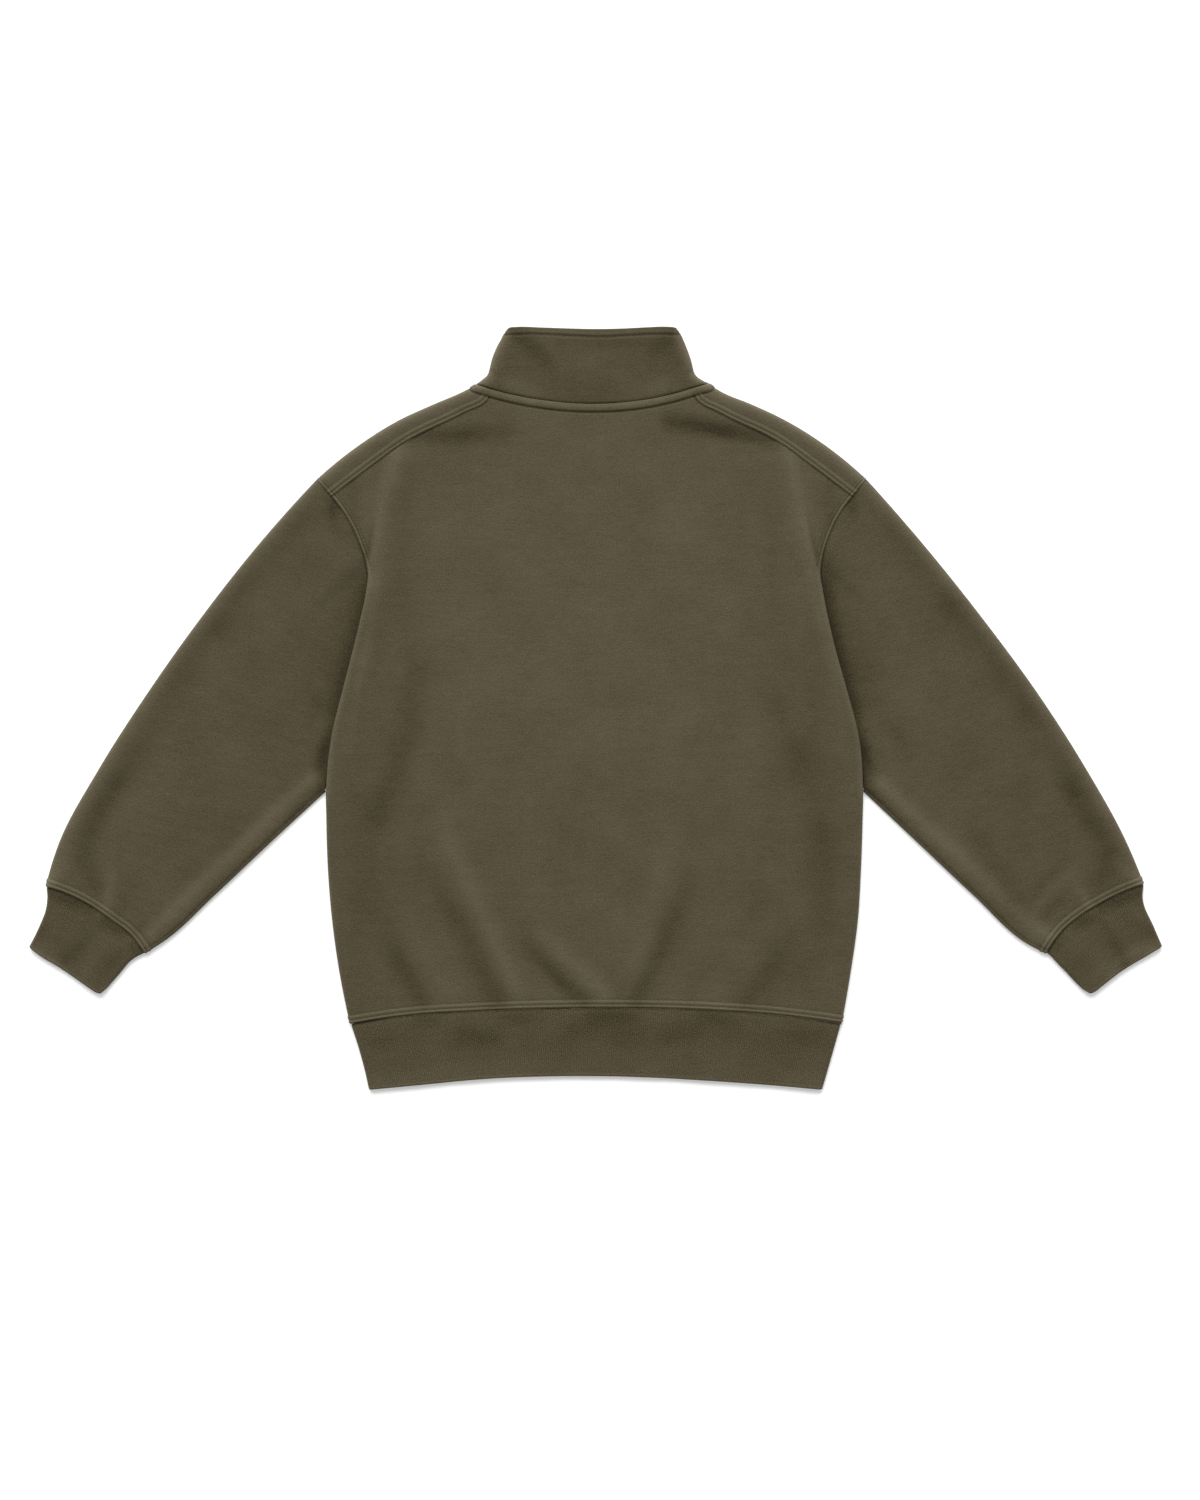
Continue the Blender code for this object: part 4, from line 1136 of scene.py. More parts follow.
@dataclass
class ClothPiece:
    """One cut piece of cloth: welded sheets of outer points, with relief and a wall."""

    THINNEST_WALL = 0.03

    name: str
    nodes: tuple[str, ...]
    cut: tuple[float, float]
    area: float
    wall: float = 2.0
    slot: str = "fleece"
    rests_on: tuple[str, ...] = ()
    made: bpy.types.Object | None = field(default=None, init=False)

    def sheets(self) -> list[Array]:
        """Sheets of outer points with the cloth's own coordinates."""
        raise NotImplementedError

    def shape(self, surface: Surface) -> None:
        """Adds the piece's folds, seams and other relief to its surface."""
        raise NotImplementedError

    def needles(self) -> list[NeedleLine]:
        """The rows of stitches that show on the piece."""
        return []

    def build(self, material: bpy.types.Material) -> bpy.types.Object:
        """Makes the piece's object.

        Args:
            material: The finish of the cloth.

        Returns:
            The object, which stands for the piece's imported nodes.
        """
        mesh = welded(self.name, self.sheets())
        surface = surface_of(mesh)
        self.shape(surface)
        points = surface.points + surface.normals * surface.rise[:, None]
        points[:, 2] += surface.lift
        mesh.vertices.foreach_set("co", (points * MM).ravel())
        # The tone attribute carries painted shade and painted highlight along with the pieces' own tone.
        tone = mesh.attributes.new("tone", "FLOAT", "POINT")
        tone.data.foreach_set("value", surface.tone.astype(np.float32))
        mesh.materials.append(material)
        mesh.shade_smooth()
        mesh.update()
        self.made = placed(self.name, mesh)
        shell = add_wall(self.made, self.wall)
        if surface.wall.min() < 1.0:
            self._thin_rim(surface.wall, shell)
        return self.made

    def _thin_rim(self, wall: Array, shell: bpy.types.SolidifyModifier) -> None:
        """Lets the wall thin out where a rim is rounded.

        Args:
            wall: Share of the thickness at each point.
            shell: The modifier that makes the wall.
        """
        group = self.made.vertex_groups.new(name="wall")
        group.add(np.flatnonzero(wall >= 1.0).tolist(), 1.0, "REPLACE")
        for index in np.flatnonzero(wall < 1.0).tolist():
            group.add([index], float(wall[index]), "REPLACE")
        shell.vertex_group = "wall"
        shell.thickness_vertex_group = self.THINNEST_WALL

    def declare(self) -> None:
        """Puts the piece on the garment in place of its nodes."""
        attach(self.made, GARMENT)
        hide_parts(*self.nodes)
        list(self.rests_on)


def trimmed(curve: Curve, shares: Array, trim: float) -> Array:
    """Plan points along a curve that is cut short by a length at both of its ends."""
    off = trim / curve.length
    return curve.at(off + shares * (1.0 - 2.0 * off))[:, :2]


STRIP = np.linspace(0.0, 1.0, 17)
SHOULDER_SPANS = 34
NECK_SPANS = 60


SHOULDERS = {side.name: Shoulder(side, STRIP, SHOULDER_SPANS) for side in SIDES}


class BodyEdge:
    """The back's edge from shoulder to hem on one side, row by row.

    Args:
        side: The side of the garment.
        shares: Where along the edge the rows are.
    """

    MEETS_SHOULDER = (190.0, 222.0)

    def __init__(self, side: SidePlan, shares: Array) -> None:
        found = side.edge.at(shares)
        self.points, self.tops = found[:, :2], found[:, 2]
        self.normals = row_normals(self.points, BODY_MIDDLE)
        roll, radius, tail = np.radians(found[:, 3:4]), found[:, 4:5], found[:, 5:6]
        flat_reach = radius * np.sin(roll) + tail * np.cos(roll)
        reach = np.where(roll >= math.pi / 2, radius, np.maximum(flat_reach, radius * np.sin(roll)))
        base = self.points - self.normals * reach
        arc = radius * roll
        run = STRIP * (arc + tail)
        turned = np.minimum(run, arc) / radius
        straight = np.maximum(run - arc, 0.0)
        out = radius * np.sin(turned) + straight * np.cos(roll)
        self.drop = radius * (1.0 - np.cos(turned)) + straight * np.sin(roll)
        self.strip = base[:, None] + self.normals[:, None] * out[..., None]
        self._meet_shoulder(SHOULDERS[side.name])
        self.crests = self.strip[:, 0]

    def _meet_shoulder(self, shoulder: Shoulder) -> None:
        """Turns the strip along the shoulder seam towards its top row.

        Args:
            shoulder: The shoulder on the same side.
        """
        on_seam = shoulder.seam - shoulder.outward * SEAM_GAP
        target = on_seam[: shoulder.strip_spans + 1][::-1]
        share = eased(self.points[:, 1], *self.MEETS_SHOULDER)[:, None, None]
        moved = target[None] + (self.points - self.points[0])[:, None]
        self.strip = self.strip * (1.0 - share) + moved * share


BACK_CREASES = (
    # the ridges down from the shoulders, which run out along the rolled edges
    Crease(((-206, 286), (-219, 240), (-226, 190), (-231, 130)), 9, 1.5, 0.26, (1.0, 0.9, 0.4)),
    Crease(((-232, 140), (-239, 70), (-249, 20), (-262, -45)), 6, 0.4, 0.20, (0.6, 0.9, 0.3)),
    Crease(((199, 286), (210, 240), (217, 195), (226, 135)), 9, 1.4, 0.26, (1.0, 0.9, 0.4)),
    Crease(((226, 145), (234, 100), (247, 50), (262, -25)), 6, 0.4, 0.20, (0.6, 0.9, 0.3)),
    Crease(((-226, 214), (-229, 196), (-233, 172), (-238, 148)), 3.2, 0.8, 0.26, (0.2, 1.0, 1.0)),
    Crease(((-231, 206), (-234, 186), (-238, 164), (-242, 148)), 3.6, -0.9, -0.34, (0.2, 0.9, 1.0)),
    Crease(((217, 212), (221, 194), (226, 170), (232, 148)), 3.2, 0.8, 0.26, (0.2, 1.0, 1.0)),
    Crease(((222, 204), (226, 184), (231, 162), (237, 146)), 3.6, -0.9, -0.34, (0.2, 0.9, 1.0)),
    Crease(((-206, 264), (-211, 240)), 9, 0.5, 0.22, (1.0, 1.0, 1.0)),
    Crease(((-256, 232), (-255, 196), (-252, 166)), 9, -0.3, -0.22, (0.7, 1.0, 1.2)),
    Crease(((247, 234), (246, 200), (243, 170)), 9, -0.3, -0.14, (0.8, 1.0, 0.6)),
    Crease(((-216, 278), (-190, 268)), 12, 0.5, 0.12, (0.3, 1.0, 0.5)),
    Crease(((210, 274), (186, 272)), 12, 0.5, 0.12, (0.3, 1.0, 0.5)),
    # hollows under the shoulder seams, with painted shade in them, and what they lift below them
    Crease(((-186, 284), (-146, 285), (-92, 291)), 10, -1.7, -0.50, (0.6, 1.0, 0.4)),
    Crease(((190, 278), (128, 292), (76, 300)), 9.5, -1.9, -0.64, (0.5, 1.1, 0.7)),
    # faint troughs inside the two ridges
    Crease(((-196, 240), (-203, 150), (-199, 90), (-190, 40)), 13, -0.8, -0.11, (0.6, 1.0, 0.8)),
    Crease(((184, 240), (188, 160), (192, 90), (206, 40)), 13, -0.7, -0.09, (0.5, 1.0, 0.8)),
    # long soft troughs down the sides
    Crease(((-184, 38), (-196, -20), (-208, -62), (-226, -115)), 15, -1.3, -0.25, (0.4, 1.0, 0.8), 0.2),
    Crease(((-228, -105), (-236, -160), (-241, -220)), 17, -0.6, -0.13, (0.7, 1.0, 0.4)),
    Crease(((186, 40), (198, -18), (226, -85), (238, -130)), 15, -1.1, -0.21, (0.3, 1.0, 0.6), -0.2),
    Crease(((237, -130), (242, -170), (234, -225)), 17, -0.6, -0.20, (0.5, 1.0, 1.1)),
    # diagonals that run down into the hem, from left to right
    Crease(((-220, -232), (-205, -270), (-182, -308)), 12, -1.4, -0.32, (0.2, 1.0, 0.9), 0.2),
    Crease(((-205, -196), (-187, -246), (-153, -300)), 11, 0.9, 0.11, (0.2, 1.0, 0.8)),
    Crease(((-188, -145), (-158, -200), (-131, -252), (-104, -308)), 14, -1.9, -0.33, (0.25, 0.9, 1.0), 0.2),
    Crease(((-174, -88), (-148, -150), (-121, -212), (-87, -294)), 10, 1.3, 0.15, (0.3, 1.0, 0.9)),
    Crease(((-84, -212), (-78, -232)), 14, -0.4, -0.06, (0.6, 1.0, 0.6)),
    Crease(((-70, -252), (-44, -280), (-12, -309)), 9.5, -2.0, -0.40, (0.4, 1.0, 0.9), 0.25),
    Crease(((-60, -236), (-22, -268), (12, -302)), 8, 1.1, 0.18, (0.2, 0.9, 1.0)),
    Crease(((99, -178), (81, -228), (66, -262), (44, -308)), 10, -1.8, -0.30, (0.3, 1.0, 0.9), -0.2),
    Crease(((88, -120), (62, -205), (40, -280)), 12, 1.0, 0.10, (0.3, 1.0, 0.8)),
    Crease(((205, -238), (186, -274), (157, -309)), 11.5, -1.5, -0.27, (0.2, 1.0, 0.8), -0.2),
    Crease(((178, -222), (150, -262), (124, -303)), 12, 0.6, 0.07, (0.3, 1.0, 0.6)),
    # the sides below the armpits
    Crease(((-256, -60), (-252, -150), (-248, -290)), 15, -0.2, -0.10, (0.8, 1.0, 0.6)),
    Crease(((238, 60), (232, -20), (250, -90)), 14, -0.3, -0.07, (0.6, 1.0, 0.6)),
    Crease(((178, -200), (152, -240)), 14, -0.4, -0.13),
    # faint swells over the middle
    Crease(((-80, 262), (-40, 256)), 16, 0.4, 0.08),
    Crease(((132, 234), (146, 212)), 16, 0.4, 0.08),
    Crease(((48, 104), (70, 92)), 16, 0.3, 0.07),
    Crease(((-168, 196), (-128, 172)), 22, 0.5, 0.07),
    Crease(((-150, 68), (-114, 28)), 22, 0.5, 0.07),
    Crease(((84, 196), (142, 180)), 24, 0.5, 0.06),
    Crease(((108, 132), (146, 116)), 18, 0.3, 0.05),
    Crease(((-36, 76), (-2, 112)), 28, 0.4, 0.04),
    Crease(((10, 262), (60, 250)), 26, 0.4, 0.05),
    Crease(((-282, -14), (-285, -40)), 6, 0.1, 0.14),
    Crease(((278, -10), (281, -38)), 6, 0.1, 0.14),
    Crease(((70, 112), (104, 92), (150, 40)), 15, -0.4, -0.05, (0.6, 1.0, 0.6)),
    Crease(((96, -110), (152, -170)), 36, -0.4, -0.04),
)


@dataclass
class Back(ClothPiece):
    """The back, which lies on the front and shows from above."""

    coarse: float = 4.2
    fine_top: tuple[float, float] = (0.7, 14.0)
    fine_foot: tuple[float, float] = (0.65, 11.5)
    tone: float = 0.045
    upper_tone: float = 0.035
    middle_highlight: float = 0.05
    side_shade: float = 0.06
    side_at: float = 218.0
    edge_highlight: float = 0.14
    edge_highlight_over_sleeve: float = 0.16

    def sheets(self) -> list[Array]:
        """One grid from rolled edge to rolled edge, from the neck and shoulders to the hem."""
        rows = graded(LEFT.edge.length, self.coarse, self.fine_top, self.fine_foot)
        left, right = BodyEdge(LEFT, rows), BodyEdge(RIGHT, rows)
        tops = {}
        for name, shoulder in SHOULDERS.items():
            tops[name] = (shoulder.seam - shoulder.outward * SEAM_GAP)[shoulder.strip_spans:]
        neck = NECK_SEAM.at(np.linspace(0.0, 1.0, NECK_SPANS + 1)) - (0.0, SEAM_GAP)
        top = np.vstack([tops["left"][:-1], neck, tops["right"][::-1][1:]])
        span = right.crests[-1][0] - left.crests[-1][0]
        hem = hem_row(left.crests[-1][0] + chord_shares(top) * span)
        plan = coons(top, hem, left.crests, right.crests)
        height = body_height(plan, np.linalg.norm(plan - plan[:1], axis=-1))
        height = add_stand(height, plan, left, right)
        strips = [np.dstack([edge.strip, edge.tops[:, None] - edge.drop]) for edge in (left, right)]
        grid = np.hstack([strips[0][:, :0:-1], np.dstack([plan, height]), strips[1][:, 1:]])
        return [flat_cut(grid)]

    def shape(self, surface: Surface) -> None:
        """Creases, the neck, hem and armhole bands, and the small waves above the rib, with
        painted shade and painted highlight.

        Args:
            surface: The piece's points and what is added to them.
        """
        plan = surface.plan
        above, _ = surface.layers()
        surface.add_creases(BACK_CREASES)
        x, y = plan.T
        # A little lighter overall and towards the collar; painted highlight down the middle and painted shade
        # at the sides beside the arms.
        surface.tone += self.tone + self.upper_tone * eased(y, -200.0, 60.0) * surface.up
        beside_arms = bell(np.abs(x) - self.side_at, 45.0) * (1.0 - eased(y, 40.0, 130.0))
        middle = bell(x, 130.0) * eased(y, -190.0, 60.0)
        surface.tone += self.middle_highlight * middle - self.side_shade * beside_arms
        surface.lift += clouds(plan) * surface.up
        # Painted highlight where the cloth turns over its folds, and painted shade on what tucks in below.
        surface.paint_fold_light(fold_highlight=0.34, tuck_shade=0.35)
        surface.add_band(NECK_BAND, neck_line())
        hem = lengthened(HEM_SEAM.line)
        surface.rise += gathers(surface, hem, 13.0, 0.3) * surface.up
        surface.add_band(HEM_BAND, hem)
        for side in SIDES:
            # Painted highlight along the rolled edge, stronger where it lies over the sleeve.
            rolled = nearness(plan, side.edge.line[:, :2], 10.0)
            over_sleeve = self.edge_highlight + self.edge_highlight_over_sleeve * eased(y, -110.0, -80.0)
            surface.tone += over_sleeve * bell(rolled.distance - 1.7, 1.3) * surface.up
            surface.add_band(PLAIN_SEAM, side.shoulder_seam.line, past_neck_band(plan))
            seam = side.armhole()[0]
            flat = eased(y, 128.0, 158.0) * above
            surface.add_band(ARMHOLE_BAND, lengthened(seam, 2.0), flat * surface.up)

    def needles(self) -> list[NeedleLine]:
        """Stitches along the neck, the hem and the flat part of the armholes."""
        lines = band_needles(NECK_BAND, NECK_SEAM.line, BODY_MIDDLE, True)
        lines += band_needles(HEM_BAND, HEM_SEAM.line, BODY_MIDDLE, True)
        for side in SIDES:
            seam = side.armhole()[0]
            flat = seam[seam[:, 1] > 150.0]
            lines += band_needles(ARMHOLE_BAND, flat, BODY_MIDDLE, True)
        return lines


FRONT_CREASES = (
    Crease(((-150, 150), (-170, 40), (-196, -90)), 20, -0.8, -0.10, (0.2, 1.0, 0.3)),
    Crease(((-180, -190), (-150, -250), (-120, -306)), 11, -1.2, -0.2, (0.2, 1.0, 0.8)),
    Crease(((-66, -230), (-40, -266), (-22, -304)), 9, -1.2, -0.2, (0.2, 1.0, 0.9)),
    Crease(((96, -190), (72, -240), (44, -304)), 11, -1.2, -0.2, (0.1, 1.0, 0.8)),
    Crease(((200, -230), (172, -270), (150, -306)), 9, -1.1, -0.2, (0.2, 1.0, 0.8)),
    Crease(((150, 120), (186, 20), (212, -80)), 19, -0.8, -0.10, (0.2, 1.0, 0.3)),
    Crease(((-20, 50), (-34, 14), (-40, -30)), 12, -0.8, -0.12, (0.8, 1.0, 0.1)),
    Crease(((24, 48), (36, 6), (38, -44)), 12, -0.8, -0.12, (0.8, 1.0, 0.1)),
)


@dataclass
class Front(ClothPiece):
    """The front, which lies on the surface, is slit for the zip and rolls over the shoulders."""

    fold_radius: float = 3.4
    coarse: float = 6.0
    fine_top: tuple[float, float] = (1.0, 12.0)
    fine_foot: tuple[float, float] = (1.0, 11.5)
    wrap_step: float = 0.8
    wrap_tone: float = 0.09

    def _edge(self, side: SidePlan, rows: Array, shoulder: Shoulder) -> Array:
        """Strips of the front's edge: flat at the armhole, rolled up below the armpit.

        Args:
            side: The side of the garment.
            rows: Shares along the edge.
            shoulder: The shoulder above it.

        Returns:
            Rows of columns of X, Y and Z.
        """
        found = side.edge.at(rows)
        points = found[:, :2]
        normals = row_normals(points, BODY_MIDDLE)
        seam = points - normals * found[:, 6:7]
        reach = shoulder.FLAT_STRIP
        flat = np.dstack([seam[:, None] - normals[:, None] * (reach * (1.0 - STRIP))[:, None],
                          np.zeros((len(rows), len(STRIP)))])
        turned = STRIP * math.pi / 2
        out = self.fold_radius * (np.sin(turned) - 1.0)
        rolled = np.dstack([points[:, None] + normals[:, None] * out[:, None],
                            np.tile(self.fold_radius * (1.0 - np.cos(turned)), (len(rows), 1))])
        below = (1.0 - eased(points[:, 1], -114.0, ARMPIT_Y))[:, None, None]
        strip = flat * (1.0 - below) + rolled * below
        on_foot = np.column_stack([shoulder.foot[: shoulder.strip_spans + 1][::-1], np.zeros(len(STRIP))])
        share = np.linspace(0.0, 1.0, 13)[:-1, None, None]
        return np.vstack([on_foot + (strip[0] - on_foot) * share, strip])

    def sheets(self) -> list[Array]:
        """The front in two halves beside the slit, one below it, and the shoulder wraps."""
        rows = graded(LEFT.edge.length, self.coarse, self.fine_top, self.fine_foot)
        strips = {side.name: self._edge(side, rows, SHOULDERS[side.name]) for side in SIDES}
        halves = {}
        for side in SIDES:
            shoulder = SHOULDERS[side.name]
            foot = shoulder.foot[shoulder.strip_spans:]
            halves[side.name] = np.vstack([foot, front_neck(side, 28)[1:]])
        top = np.vstack([halves["left"], halves["right"][::-1]])
        half = len(halves["left"])
        left, right = strips["left"][:, 0, :2], strips["right"][:, 0, :2]
        middle = centre_x(HEM_Y)
        left_x = np.linspace(left[-1][0], middle - SLIT_HALF, half)
        right_x = np.linspace(middle + SLIT_HALF, right[-1][0], half)
        plan = coons(top, hem_row(np.r_[left_x, right_x]), left, right)
        for column, sign in ((half - 1, -1.0), (half, 1.0)):
            plan[:, column, 0] = centre_x(plan[:, column, 1]) + sign * SLIT_HALF
        foot_row = int(np.argmin(np.abs(plan[:, half, 1] - SLIT_FOOT)))
        plan[foot_row, half - 1: half + 1, 1] = SLIT_FOOT
        main = np.dstack([plan, np.zeros(plan.shape[:2])])
        sheets = [main[foot_row:], main[: foot_row + 1, :half], main[: foot_row + 1, half:]]
        sheets += list(strips.values())
        sheets += [shoulder.wrap(self.wrap_step) for shoulder in SHOULDERS.values()]
        return [flat_cut(sheet) for sheet in sheets]

    def shape(self, surface: Surface) -> None:
        """Bands at every seam, with painted shade and painted highlight; what lies on the surface
        keeps its own level.

        Args:
            surface: The piece's points and what is added to them.
        """
        plan = surface.plan
        above, below = surface.layers()
        surface.add_creases(FRONT_CREASES, below.astype(float))
        surface.lift += np.clip(clouds(plan), 0.0, None) * surface.down * below
        surface.lift += 0.5 * clouds(plan) * surface.up * above
        surface.tone += self.wrap_tone * above * past_neck_band(plan)
        surface.add_band(NECK_BAND, neck_line(), above)
        surface.add_band(HEM_BAND, lengthened(HEM_SEAM.line))
        for side in SIDES:
            # Painted highlight along the shoulder's fold.
            surface.paint_outline_highlight(side.shoulder_fold.line, share=0.75, half=7.5)
            surface.add_band(SHOULDER_BAND, side.shoulder_seam.line, above * past_neck_band(plan))
            surface.add_band(ARMHOLE_BAND, lengthened(side.shoulder_end(), 8.0), above)
            surface.add_band(ARMHOLE_BAND, side.armhole()[0], below)
            surface.add_band(NECK_BAND, front_neck(side), below)
            surface.add_band(ZIP_BAND, slit_edge(side, SLIT_FOOT, FRONT_NECK_Y, 40), below)

    def needles(self) -> list[NeedleLine]:
        """Stitches at the shoulders on top, and at the other seams and the zip below."""
        lines = band_needles(HEM_BAND, HEM_SEAM.line, BODY_MIDDLE, False)
        for side in SIDES:
            outside = (side.sign * 300.0, 500.0)
            lines += band_needles(SHOULDER_BAND, side.shoulder_seam.line, outside, True)
            lines += band_needles(ARMHOLE_BAND, lengthened(side.shoulder_end(), 0.1), BODY_MIDDLE, True)
            lines += band_needles(ARMHOLE_BAND, side.armhole()[0], BODY_MIDDLE, False)
            lines += band_needles(NECK_BAND, front_neck(side), (side.sign * 200.0, 100.0), False)
            slit = slit_edge(side, SLIT_FOOT - 4.0, FRONT_NECK_Y - 2.0, 40)
            lines += band_needles(ZIP_BAND, slit, (side.sign * 200.0, 150.0), False)
        return lines


LEFT_SLEEVE_CREASES = (
    # the trough inside the outer fold, deepest near the cuff
    Crease(((-306, 192), (-330, 168), (-352, 142), (-396, 82)), 13, -0.7, -0.09, (0.9, 0.8, 1.1)),
    Crease(((-396, 82), (-440, 20), (-470, -30), (-500, -80)), 13, -0.7, -0.10, (0.9, 0.9, 1.2)),
    Crease(((-500, -78), (-522, -115), (-536, -150), (-526, -188)), 11, -1.6, -0.27, (0.8, 1.0, 0.7), 0.15),
    Crease(((-550, -150), (-562, -172), (-570, -184)), 7, 0.6, 0.18, (0.4, 1.0, 1.0)),
    # the ridge above the underarm seam and the trough below it
    Crease(((-298, -74), (-340, -114), (-384, -156), (-425, -196), (-466, -238)),
           8.0, 1.1, 0.30, (1.2, 0.8, 1.0)),
    Crease(((-290, -88), (-340, -136), (-395, -190), (-446, -240)), 5.5, -0.5, -0.24, (1.0, 0.9, 0.9)),
    # beside the body's rolled edge, with painted shadow
    Crease(((-252, 134), (-260, 84), (-268, 45), (-279, 0)), 9, -0.7, -0.12, (0.6, 1.0, 1.0)),
    Crease(((-240, 150), (-262, 96), (-288, 10)), 20, -0.3, -0.13, (0.5, 1.0, 0.9)),
    Crease(((-283, -32), (-287, -46), (-291, -66)), 6.0, -1.1, -0.40, (0.4, 1.0, 0.4)),
    Crease(((-273, 218), (-276, 204)), 8, -0.7, -0.40),
    # near the cuff
    Crease(((-508, -168), (-510, -188), (-514, -212)), 6.5, 0.9, 0.20, (0.2, 1.0, 1.0)),
    Crease(((-492, -186), (-494, -202), (-500, -222)), 5, -0.5, -0.10, (0.1, 1.0, 0.9)),
    Crease(((-468, -212), (-476, -226), (-486, -240)), 5.5, -0.4, -0.08, (0.1, 1.0, 0.8)),
    # faint swells
    Crease(((-352, 96), (-338, 84)), 16, 0.4, 0.07),
    Crease(((-404, 30), (-380, 40)), 20, 0.4, 0.06),
    Crease(((-360, 32), (-340, 0), (-328, -40)), 14, -0.3, -0.06, (0.6, 1.0, 0.6)),
    Crease(((-330, -88), (-402, -156), (-448, -182)), 12, -0.3, -0.10, (0.6, 1.0, 0.8)),
    Crease(((-290, 4), (-300, -20)), 10, -0.3, -0.16),
    Crease(((-490, -60), (-440, -100)), 24, 0.3, 0.04),
    Crease(((-252, 172), (-276, 190)), 9, -0.2, -0.12, (1.0, 1.0, 0.8)),
    Crease(((-488, -12), (-500, -26)), 8, -0.2, -0.09, (1.0, 1.0, 0.8)),
    Crease(((-556, -132), (-568, -162)), 7, -0.2, -0.12, (0.6, 1.0, 1.0)),
)
RIGHT_SLEEVE_CREASES = (
    # the trough inside the outer fold, deepest near the cuff
    Crease(((298, 198), (322, 172), (345, 140), (376, 104)), 13, -0.7, -0.12, (0.7, 1.0, 0.8)),
    Crease(((376, 104), (402, 74), (430, 30), (456, -10)), 14, -0.7, -0.12, (0.9, 0.9, 0.9)),
    Crease(((456, -10), (482, -45), (502, -88)), 14, -0.8, -0.13, (0.7, 1.0, 1.2)),
    Crease(((500, -85), (518, -118), (538, -150), (531, -182)), 13, -1.6, -0.30, (0.8, 1.0, 0.8), -0.15),
    Crease(((548, -160), (560, -174), (572, -182)), 7, 0.6, 0.22, (0.4, 1.0, 1.0)),
    # the ridge above the underarm seam and the trough below it
    Crease(((300, -80), (328, -107), (378, -152), (428, -200), (474, -241)), 8.0, 1.1, 0.30, (1.2, 0.8, 0.6)),
    Crease(((290, -90), (340, -140), (395, -192), (448, -242)), 5.5, -0.5, -0.24, (1.0, 0.9, 0.7)),
    # beside the body's rolled edge, with painted shadow
    Crease(((243, 150), (248, 108), (257, 60), (274, 0)), 8.5, -0.7, -0.12, (0.8, 1.0, 1.0)),
    Crease(((236, 160), (256, 90), (284, 10)), 20, -0.3, -0.13, (0.5, 1.0, 0.9)),
    Crease(((280, -34), (284, -50), (289, -64)), 6.0, -1.0, -0.34, (0.4, 1.0, 0.4)),
    Crease(((267, 224), (270, 208)), 8, -0.7, -0.38),
    Crease(((306, -10), (318, -32), (330, -50)), 9, -0.5, -0.09, (0.3, 1.0, 0.5)),
    # near the cuff
    Crease(((506, -154), (484, -172), (462, -196)), 6, -0.9, -0.15, (0.3, 1.0, 0.8)),
    Crease(((496, -196), (484, -206), (472, -220)), 5.5, -0.9, -0.19, (0.4, 1.0, 0.7)),
    Crease(((502, -178), (509, -192), (518, -208)), 6, 0.9, 0.20, (0.3, 1.0, 1.0)),
    Crease(((490, -182), (476, -196), (462, -214)), 4.5, 0.5, 0.08, (0.2, 1.0, 0.6)),
    Crease(((466, -232), (482, -238)), 7, 0.4, 0.12),
    # faint swells
    Crease(((300, 128), (322, 118)), 18, 0.4, 0.06),
    Crease(((326, 22), (352, 12)), 22, 0.4, 0.05),
    Crease(((432, -60), (426, -72)), 16, 0.3, 0.05),
    Crease(((392, -124), (420, -168), (446, -204)), 13, -0.4, -0.12, (0.7, 1.0, 0.8)),
    Crease(((462, -50), (446, -90), (448, -146)), 13, -0.3, -0.09, (0.9, 0.8, 1.0)),
    Crease(((478, -12), (500, -36), (530, -92), (556, -142), (566, -168)), 8, -0.2, -0.13, (1.3, 0.2, 1.4)),
    Crease(((510, -234), (494, -244), (474, -252)), 6, -0.2, -0.20, (1.1, 1.0, 0.9)),
    Crease(((380, 92), (430, 10)), 22, -0.2, -0.03),
)


